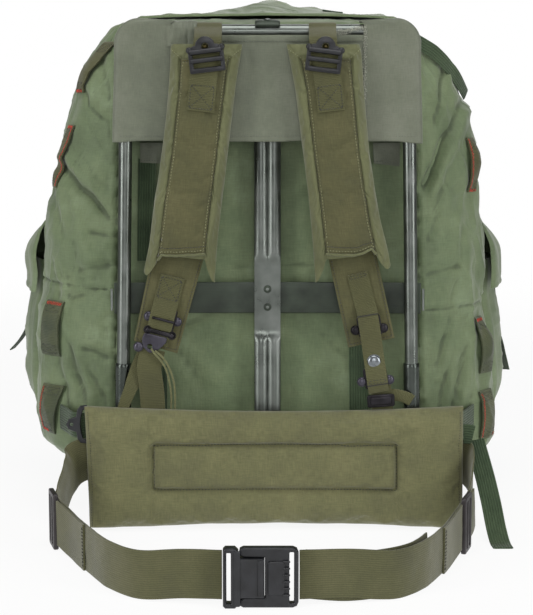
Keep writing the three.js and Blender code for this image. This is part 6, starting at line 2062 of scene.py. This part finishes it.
def make_right_hardware():
    rises = ((20, 0), (50, 0), (60, -3.6), (66, -4.6), (82, -4.6), (92, -2.4), (102, -0.6), (112, -2.6),
        (118, -4.6), (134, -4.6), (141, -1.5))
    drops = (20, 60, 90, 130, 141)
    asides = (-0.8, -1, -4, -8.5, -9.5)
    path = [on_plate(1, drop, np.interp(drop, drops, asides)) + (0, rise, 0) for drop, rise in rises]
    strap = stitched_strap("snap_strap_cloth", path, 21, (0.975, 0, 0.22), olive_webbing, "snap_strap", 144,
        boxes=[(1.6, 4.2, False), (112, 115, False)])
    # Painted shade: near-black rods across the strap's front where it folds, above the upper slide and below
    # the cap
    for distance, reach in ((44, 10.6), (117, 10.4)):
        fold = [strap.at(offset, distance, 0) + (0, -0.9, 0) for offset in np.linspace(-reach, reach, 8)]
        stands_for(sweep(f"snap_strap_fold_shade_line_{distance}", fold, 0.7, olive_thread, sides=8), "olive_webbing")
    tilt = (0.0, -PLATE_TILT * 0.7, 0.0)
    for label, drop, aside in (("upper_slide", 73, -2), ("lower_slide", 126, -9)):
        outlines = [rounded(24, 22, 3), rounded(17, 6.5, 1)]
        place = on_hardware(1, drop, aside)
        stands_for(moulding(label + "_metal", outlines, HARDWARE_THICK, place, tilt, black_steel, 0.8),
            "hardware_metal", label)
        for end, side_name in SIDES:
            spot = place + (end * 14.0, 0.6, end * 1.2 - 3.4)
            steel = black_steel if label == "upper_slide" else grey_steel
            stands_for(dome(f"{label}_ear_{side_name}", spot, 5.0, 3.0, steel, rim=0.8), "hardware_metal")
    place = on_plate(1, 110, -6.5)
    cap = dome("snap_cap_metal", (place[0], IN_PLATE, place[2]), 7.6, 4.0, snap_metal, rings=9, sides=36,
        rim=1.1)
    stands_for(cap, "hardware_metal", "snap_cap")
    end = on_plate(1, 124, -4)
    top = PAD_BOTTOM + PAD_HEIGHT
    path = [(end[0], ON_PLATE, end[2] - 3), (end[0] + 1, ON_PLATE, end[2] - 14),
        (end[0] + 2, PAD_BACK + 2, top + 4), (end[0] + 3, PAD_BACK + 1.1, top - 1),
        (end[0] + 3, PAD_BACK + 1.1, top - 9)]
    stitched_strap("right_frame_webbing_cloth", path, 21, SIDEWAYS, olive_webbing, "right_frame_webbing",
        145)
    place = np.array((end[0] + 1, ON_PLATE - WEBBING_THICK / 2 - GAP - HARDWARE_THICK / 2, end[2] - 26))
    buckle = moulding("frame_buckle_body", [rounded(28, 13, 2.5), rounded(21, 6.5, 1)], HARDWARE_THICK,
        place, (0, -4, 0), black_steel, 0.8)
    stands_for(buckle, "black_plastic", "frame_buckle")
    # The buckle's roller, which fills its opening
    roller = moulding("frame_buckle_roller", [rounded(22, 8.5, 2)], 3.2, place + (0, -0.8, 0), (0, -4, 0),
        black_steel, 1.4)
    stands_for(roller, "black_plastic")
    # Webbing that runs from this buckle to the side tube
    path = [(end[0] + 7, -11, 138), (end[0] + 17, -10.4, 137), (end[0] + 28, -10.2, 134),
        (end[0] + 33, -10, 131)]
    stitched_strap("right_frame_branch", path, 12, (0.1, 0, 1), olive_webbing, None, 146)


make_left_hardware()
make_right_hardware()


# Kidney pad
QUILT_LEFT, QUILT_RIGHT = -116.0, 131.0
QUILT_LOW, QUILT_HIGH = 42.0, 88.0


def quilt_seam(x, z, width):
    """How close a point of the kidney pad is to its quilting, from 0 to 1."""
    inside_x = smoothstep(x, QUILT_LEFT - 1, QUILT_LEFT + 1) * smoothstep(QUILT_RIGHT - x, -1, 1)
    inside_z = smoothstep(z, QUILT_LOW - 1, QUILT_LOW + 1) * smoothstep(QUILT_HIGH - z, -1, 1)
    lines = [ridge(z - level, width) * inside_x for level in (QUILT_LOW, QUILT_HIGH)]
    lines += [ridge(x - side, width) * inside_z for side in (QUILT_LEFT, QUILT_RIGHT)]
    return np.max(np.broadcast_arrays(*lines), axis=0)


# Creases of the kidney pad that the photograph shows: x and z of both ends
PAD_CREASES = ((-118, 90, -121, 124), (-118, 40, -122, 6), (-131, 112, -118, 92), (-140, 26, -120, 41),
    (133, 90, 136, 124), (133, 40, 137, 6), (150, 30, 134, 43), (152, 108, 134, 90),)


def make_kidney_pad():
    u = np.linspace(0, 1, 96)[None]
    v = np.linspace(0, 1, 37)[:, None]
    x = PAD_SHIFT + PAD_WIDTH * (u - 0.5) - 5 * (1 - v) * (1 - smoothstep(u, 0, 0.15))
    sag = 1 - np.abs(2 * u - 1) ** 2
    z_top = PAD_BOTTOM + PAD_HEIGHT - 3 - 5.5 * sag
    z_bottom = 0.8 + 4.0 * sag
    z = z_bottom + (z_top - z_bottom) * (1 - v)
    seam = quilt_seam(x, z, 3.2)
    crown = (1 - np.abs(2 * u - 1) ** 14) * (1 - np.abs(2 * v - 1) ** 7)
    depth = PAD_THICK * (0.32 + 0.6 * crown ** 0.5) * (1 - 0.24 * seam)
    # Its lower corners stand off the frame
    lean = -9.0 * (1 - sag) * v ** 2
    front = np.stack(np.broadcast_arrays(x, PAD_BACK - depth + lean, z), -1)
    back = front.copy()
    back[..., 1] = PAD_BACK + lean
    sewn = np.clip(seam * 1.2, 0, 1)
    sewn[0] = sewn[-1] = 1
    sewn[:, 0] = sewn[:, -1] = 1
    full = filled(front, back, sewn, 3.0)
    fine = finer(full, 3)
    fx, fz = fine[..., 0], fine[..., 2]
    tight = quilt_seam(fx, fz, 1.5)
    near = quilt_seam(fx, fz, 8.0)
    gather = lumps(fine * (1.0, 0.3, 0.35), 7.0, 151) * (np.abs(fz - 70) < 40) + lumps(fine * (0.35, 0.3,
        1.0), 7.0, 152)
    edge = np.minimum(np.minimum(fx - fx.min(), fx.max() - fx), np.minimum(fz - fz.min(), fz.max() - fz))
    relief = -1.7 * tight + 0.3 * near * gather + 0.8 * lumps(fine, 36.0, 153) + 0.2 * lumps(fine, 12.0,
        154)
    for line in PAD_CREASES:
        along, beside, length = from_line(fx, fz, line)
        beside = beside + 2 * lumps(fine, 14.0, 155)
        taper = smoothstep(along, -4, 12) * smoothstep(length - along, -4, 12)
        relief += taper * (0.5 * ridge(beside - 4, 3.5) - 0.9 * ridge(beside, 1.9))
    fine = with_relief(fine, relief * smoothstep(edge, -0.5, 3), WEARER)
    fine[..., 2] = np.maximum(fine[..., 2], PAD_BOTTOM - 0.5)
    pad = slab("kidney_pad_cloth", fine, finer(back, 3), pad_cloth, smooth_angle=60)
    stands_for(pad, "strap_nylon", "kidney_pad")
    face = Face(fine, WEARER)

    def place(px, pz):
        """The shares of the pad's face nearest to a point."""
        nearest = np.argmin((fine[..., 0] - px) ** 2 + (fine[..., 2] - pz) ** 2)
        row, column = np.unravel_index(nearest, fine.shape[:2])
        return column / (fine.shape[1] - 1), row / (fine.shape[0] - 1)

    quilt = [(QUILT_LEFT, QUILT_LOW), (QUILT_RIGHT, QUILT_LOW), (QUILT_RIGHT, QUILT_HIGH),
        (QUILT_LEFT, QUILT_HIGH), (QUILT_LEFT, QUILT_LOW)]
    for (x0, z0), (x1, z1) in zip(quilt, quilt[1:]):
        along = np.linspace(0, 1, 16)
        corners = [place(x0 + (x1 - x0) * t, z0 + (z1 - z0) * t) for t in along]
        dark_lines.append(face.seam(corners, **QUILTING))
    for u_line in (0.009, 0.991):
        dark_lines.append(face.seam([(u_line, 0.03), (u_line, 0.97)], pitch=2.6, length=1.8, width=0.7))


make_kidney_pad()


# Bag ties, the pad's buckle and the webbing in it
TIE_HEIGHT = PAD_BOTTOM + PAD_HEIGHT - 24


def make_ties():
    for side, name in SIDES:
        tube = tube_x(TIE_HEIGHT)
        y = -(LOWER_RADIUS + GAP + WEBBING_THICK / 2)
        start = on_bag(np.array((side * 150.0, BAG_MIDDLE, TIE_HEIGHT)), np.array((side * 0.62, -1.0, 0.0)),
            SOFT_GAP + 1.6)
        path = [(start[0], start[1], TIE_HEIGHT), (side * 207, start[1] * 0.4, TIE_HEIGHT),
            (side * 196, y * 0.7, TIE_HEIGHT), (side * 176, y, TIE_HEIGHT), (side * tube, y, TIE_HEIGHT),
            (side * (tube - 34), y, TIE_HEIGHT)]
        stitched_strap(name + "_bag_tie_cloth", path, WEBBING - 1, UP, green_webbing, name + "_bag_tie",
            161 + side)
    y = -(LOWER_RADIUS + GAP + WEBBING_THICK + GAP) - 2
    spot = (PAD_SHIFT - PAD_WIDTH / 2 - 12 - 2, y, TIE_HEIGHT + 2)
    outer = [(11, 20), (4, 19), (1, 15), (0, 8), (-8, 5), (-10.5, 0), (-8, -5), (0, -8), (1, -15), (4, -19),
        (11, -20), (11, -16), (7, -15), (5, -8), (4, 0), (5, 8), (7, 15), (11, 16)]
    buckle = moulding("pad_buckle_body", [outer, circle(-5, 0, 1.9)], 4, spot, (0, 0, 0), acetal, 0.8)
    stands_for(buckle, "black_plastic", "pad_ladder_buckle")


make_ties()


# Waist belt
ON_FLOOR = BELT / 2 + 0.6
AT_GLIDE = 28.0
AT_BUCKLE = 27.0
PAD_LEVEL = TIE_HEIGHT - WEBBING / 2 - GAP - BELT / 2
BELT_BEHIND_Y = -(LOWER_RADIUS + GAP + BELT_THICK / 2)
BELT_REACH = 268.0
BUCKLE_MIDDLE = -6.0
BUCKLE_LENGTH = 66.0
BUCKLE_WIDTH = 54.0
MOUTH_LEFT = BUCKLE_MIDDLE - BUCKLE_LENGTH / 2
MOUTH_RIGHT = BUCKLE_MIDDLE + BUCKLE_LENGTH / 2
BEHIND = -BELT_BEHIND_Y / BELT_REACH


def belt_path(*rows):
    """The points of a belt path from rows of x, the share of the belt's reach and the height."""
    return [(x, -share * BELT_REACH, height) for x, share, height in rows]


LEFT_BELT = belt_path(
    (-4, BEHIND, PAD_LEVEL), (-90, BEHIND, PAD_LEVEL), (-150, BEHIND, PAD_LEVEL),
    (-176, BEHIND, PAD_LEVEL), (-189, BEHIND, PAD_LEVEL), (-196, 0.045, PAD_LEVEL - 5),
    (-201, 0.082, PAD_LEVEL - 13), (-205, 0.149, AT_GLIDE + 16),
    (-208, 0.216, AT_GLIDE + 5), (-209, 0.28, AT_GLIDE),
    (-203, 0.358, AT_GLIDE), (-184, 0.496, ON_FLOOR),
    (-160, 0.709, ON_FLOOR), (-140, 0.851, ON_FLOOR),
    (-113, 0.948, ON_FLOOR), (-75, 0.989, AT_BUCKLE),
    (MOUTH_LEFT - 1, 1, AT_BUCKLE),
)
RIGHT_BELT = belt_path(
    (4, BEHIND, PAD_LEVEL), (90, BEHIND, PAD_LEVEL), (150, BEHIND, PAD_LEVEL),
    (180, BEHIND, PAD_LEVEL), (191, BEHIND, PAD_LEVEL), (200, BEHIND, PAD_LEVEL - 1),
    (206, 0.075, PAD_LEVEL - 9), (206, 0.157, AT_GLIDE + 16),
    (201, 0.246, AT_GLIDE + 5), (193, 0.336, AT_GLIDE),
    (186, 0.418, AT_GLIDE), (174, 0.53, ON_FLOOR),
    (160, 0.683, ON_FLOOR), (138, 0.851, ON_FLOOR),
    (112, 0.948, ON_FLOOR), (70, 0.985, AT_BUCKLE),
    (MOUTH_RIGHT + 1, 1, AT_BUCKLE),
)
TAIL = belt_path(
    (MOUTH_RIGHT + 4, 0.9905, AT_BUCKLE), (70, 0.972, ON_FLOOR),
    (106, 0.925, ON_FLOOR), (128, 0.858, ON_FLOOR),
    (146, 0.731, ON_FLOOR),
)


def make_belt():
    """The belt's halves with their second layers, which run back from the tri-glides to sewn ends."""
    for name, points, second, seed in (("left", LEFT_BELT, (280, 372), 171),
            ("right", RIGHT_BELT, (262, 388), 172)):
        strap = Strap(points, BELT, UP, 2.4)
        belt = strap_piece(f"{name}_belt_cloth", strap, BELT_THICK, belt_webbing, steps=18, wave=0.45,
            seed=seed)
        stands_for(belt, "olive_webbing", "waist_belt_" + name)
        out = 1 if strap.normal[-1, 1] < 0 else -1
        distance = np.arange(second[0], second[1], 2.4)
        offset = np.linspace(-BELT / 2 + 0.2, BELT / 2 - 0.2, 19)
        grid_d, grid_o = np.meshgrid(distance, offset, indexing="ij")
        gap = 1.35 + 1.6 * ridge(grid_d - second[0], 26.0) + 0.3 * lumps(strap.at(grid_o, grid_d), 16.0,
            seed + 5)
        outer = strap.at(grid_o, grid_d, out * (gap + BELT_THICK))
        inner = strap.at(grid_o, grid_d, out * gap)
        layer = slab(f"{name}_belt_layer", outer, inner, belt_webbing)
        stands_for(layer, "olive_webbing")
        face = Face(outer, WEARER)
        ends = face.box(0.07, 0.93, 0.965, 0.99, cross=False, pitch=3.0, length=2.1, width=0.8)
        dark_lines.extend(ends)
    tail = Strap(TAIL, BELT - 0.4, UP, 2.4)
    piece = strap_piece("belt_tail_cloth", tail, BELT_THICK, belt_webbing, steps=18, wave=0.3, seed=173)
    stands_for(piece, "olive_webbing", "belt_tail")


make_belt()


def make_tri_glide(name, before, after, outward_x):
    along = np.array((after[0] - before[0], after[1] - before[1], 0.0))
    along = along / np.linalg.norm(along)
    out = np.array((-along[1], along[0], 0.0))
    out = -out if out[0] * outward_x < 0 else out
    middle = np.array(((before[0] + after[0]) / 2, (before[1] + after[1]) / 2, AT_GLIDE))
    middle = middle + out * (BELT_THICK / 2 + 0.9)
    spin = math.degrees(math.atan2(out[1], out[0])) + 90
    length, height, depth = 30.0, 56.0, 5.0
    slots = [rounded(length * 0.24, BELT + 2, 1, length * x) for x in (-0.21, 0.21)]
    place = middle + np.array((math.sin(math.radians(spin)), -math.cos(math.radians(spin)),
        0.0)) * depth / 2
    glide = moulding(name + "_body", [rounded(length, height, 3), *slots], depth, place, (0, 0, spin),
        brown_acetal, 1.2)
    stands_for(glide, "black_plastic", name)


make_tri_glide("left_tri_glide", LEFT_BELT[9], LEFT_BELT[10], -1)
make_tri_glide("right_tri_glide", RIGHT_BELT[9], RIGHT_BELT[10], 1)


# Side release buckle
def make_side_buckle():
    width, length = BUCKLE_WIDTH, BUCKLE_LENGTH
    half = width / 2
    arm = 9.0
    socket_length = length * 0.55
    base = length - socket_length - 0.3
    reach = socket_length * 0.62
    low_y = -BELT_REACH - BELT_THICK / 2 - GAP
    start = socket_length - reach - 0.3
    socket = [(2, -half), (start - 3, -half), (start, -half + 3), (start, -half + arm - 2),
        (start + 2, -half + arm + 0.3), (socket_length - 1, -half + arm + 0.3),
        (socket_length, -half + arm + 1.3), (socket_length, half - arm - 1.3),
        (socket_length - 1, half - arm - 0.3), (start + 2, half - arm - 0.3), (start, half - arm + 2),
        (start, half - 3), (start - 3, half), (2, half), (0, half - 2), (0, -half + 2)]
    slot = rounded(4, BELT + 1, 1, 5)
    depth = 12.0
    place = (MOUTH_LEFT, low_y - depth / 2, AT_BUCKLE)
    stands_for(moulding("socket_body", [socket, slot], depth, place, (0, 0, 0), acetal, 1.6),
        "black_plastic", "buckle_socket")
    inner = socket_length - reach
    prongs = [(length, half - 5), (length, -half + 5), (length - 1.5, -half + 1.5), (length - 5, -half),
        (inner + 4, -half), (inner + 1, -half + 1.5), (inner, -half + arm - 3.5),
        (inner + 1.5, -half + arm - 1.5), (inner + 5, -half + arm), (length - base, -half + arm),
        (length - base, half - arm), (inner + 5, half - arm), (inner + 1.5, half - arm + 1.5),
        (inner, half - arm + 3.5), (inner + 1, half - 1.5), (inner + 4, half), (length - 5, half),
        (length - 1.5, half - 1.5)]
    slot = rounded(4, BELT + 1, 1, length - 6)
    depth = 9.0
    place = (MOUTH_LEFT, low_y - depth / 2, AT_BUCKLE)
    stands_for(moulding("prong_body", [prongs, slot], depth, place, (0, 0, 0), acetal, 1.6),
        "black_plastic", "buckle_prongs")
    # A raised centre bar with grip ribs on the prong half, and a lip round the socket's mouth
    bar = moulding("prong_spine", [rounded(15, 30, 2.5, length - 19.5)], 3.0,
        (MOUTH_LEFT, low_y - 9.4, AT_BUCKLE), (0, 0, 0), acetal, 1.0)
    stands_for(bar, "black_plastic")
    for k in range(6):
        x = MOUTH_LEFT + length - 12
        z = AT_BUCKLE - 15 + 6 * k
        rib = [(x - 1.5, low_y - 11.0, z), (x + 4.5, low_y - 10.6, z)]
        stands_for(sweep(f"grip_rib_{k + 1}", rib, 0.9, acetal, sides=10), "black_plastic")
    lip = moulding("socket_lip", [rounded(5, width - 2 * arm - 3, 1.5, socket_length - 3.4)], 2.4,
        (MOUTH_LEFT, low_y - 12.2, AT_BUCKLE), (0, 0, 0), acetal, 0.9)
    stands_for(lip, "black_plastic")
    band = moulding("socket_band", [rounded(5.5, width - 4, 1.5, 12.5)], 2.0,
        (MOUTH_LEFT, low_y - 12.0, AT_BUCKLE), (0, 0, 0), acetal, 0.8)
    stands_for(band, "black_plastic")


make_side_buckle()


def make_floor_tail():
    path = [(213, -2, 88), (219.5, -22, 62), (224.5, -46, 36), (228, -66, 12), (230, -80, 2), (231, -96, 1)]
    stitched_strap("floor_tail_webbing", path, 20, SIDEWAYS, green_webbing, "floor_tail", 181)
    # Webbing ends that stick out beside the kidney pad
    path = [(200, -13, TIE_HEIGHT - 8), (205, -13.5, TIE_HEIGHT - 8), (210, -14, TIE_HEIGHT - 9)]
    stitched_strap("pad_stub", path, 20, UP, green_webbing, None, 182)


make_floor_tail()

stands_for(make_stitches("dark_stitches", dark_lines, olive_thread), "strap_nylon")
stands_for(make_stitches("pale_stitches", pale_lines, pale_thread), "strap_nylon")


# Floor and light
WHITE = (1, 1, 1, 1)
WORLD_FILL = 0.13
# Most of the floor is plain white light, so that only a faint shadow shows under the pack
FLOOR_GLOW = 0.9
# In metres: how far from the pack the floor starts to fade and where it is gone, and the reach of its edge
FLOOR_FADE = 0.7
FLOOR_GONE = 2.2
FLOOR_EDGE = 2.4
# Lamps: name, place, aim, width and height in metres, and power in watts
LAMPS = (
    ("left_strip", (-1.7, -1.35, 0.8), (0, 0, 0.27), 0.5, 1.7, 21),
    ("right_strip", (1.7, -1.35, 0.8), (0, 0, 0.27), 0.5, 1.7, 19),
    ("overhead", (0, -0.7, 2.1), (0, 0, 0.2), 1.4, 1.4, 21),
    ("front", (0.2, -3.2, 0.9), (0, 0, 0.25), 1.2, 1.2, 16),
    ("rear", (0.5, 2.3, 1.3), (0, 0, 0.25), 1.4, 1.4, 16),
)


def make_stage():
    floor_material, tree = new_material("pale_floor")
    space = node(tree, "TexCoord").outputs["Object"]
    reach = node(tree, "VectorMath", {0: space}, operation="LENGTH").outputs["Value"]
    fade = node(tree, "MapRange", {"Value": reach, "From Min": FLOOR_FADE, "From Max": FLOOR_GONE},
        interpolation_type="SMOOTHSTEP")
    paint = node(tree, "BsdfDiffuse", {"Color": colour("f4f4f2")})
    glow = node(tree, "Emission", {"Color": WHITE, "Strength": 1.0})
    paint = node(tree, "MixShader", {0: FLOOR_GLOW, 1: paint.outputs[0], 2: glow.outputs[0]})
    clear = node(tree, "BsdfTransparent")
    mixed = node(tree, "MixShader", {0: fade.outputs[0], 1: paint.outputs[0], 2: clear.outputs[0]})
    node(tree, "OutputMaterial", {"Surface": mixed.outputs[0]})
    mesh = bpy.data.meshes.new("floor")
    edge = FLOOR_EDGE
    mesh.from_pydata([(-edge, -edge, 0), (edge, -edge, 0), (edge, edge, 0), (-edge, edge, 0)], [],
        [(0, 1, 2, 3)])
    mesh.materials.append(floor_material)
    floor = new_object("floor", mesh)


def make_lamp(name, place, target, width, height, power):
    data = bpy.data.lights.new(name, "AREA")
    data.shape = "RECTANGLE"
    data.size = width
    data.size_y = height
    data.energy = power
    lamp = new_object(name, data)
    lamp.location = place
    lamp.rotation_euler = (Vector(target) - Vector(place)).to_track_quat("-Z", "Y").to_euler()


def make_light():
    world = bpy.data.worlds.new("studio")
    world.use_nodes = True
    tree = world.node_tree
    tree.nodes.clear()
    seen = node(tree, "LightPath").outputs["Is Camera Ray"]
    fill = node(tree, "Background", {"Color": WHITE, "Strength": WORLD_FILL})
    white = node(tree, "Background", {"Color": WHITE, "Strength": 1.0})
    mixed = node(tree, "MixShader", {0: seen, 1: fill.outputs[0], 2: white.outputs[0]})
    node(tree, "OutputWorld", {"Surface": mixed.outputs[0]})
    bpy.context.scene.world = world
    for lamp in LAMPS:
        make_lamp(*lamp)



make_stage()
make_light()
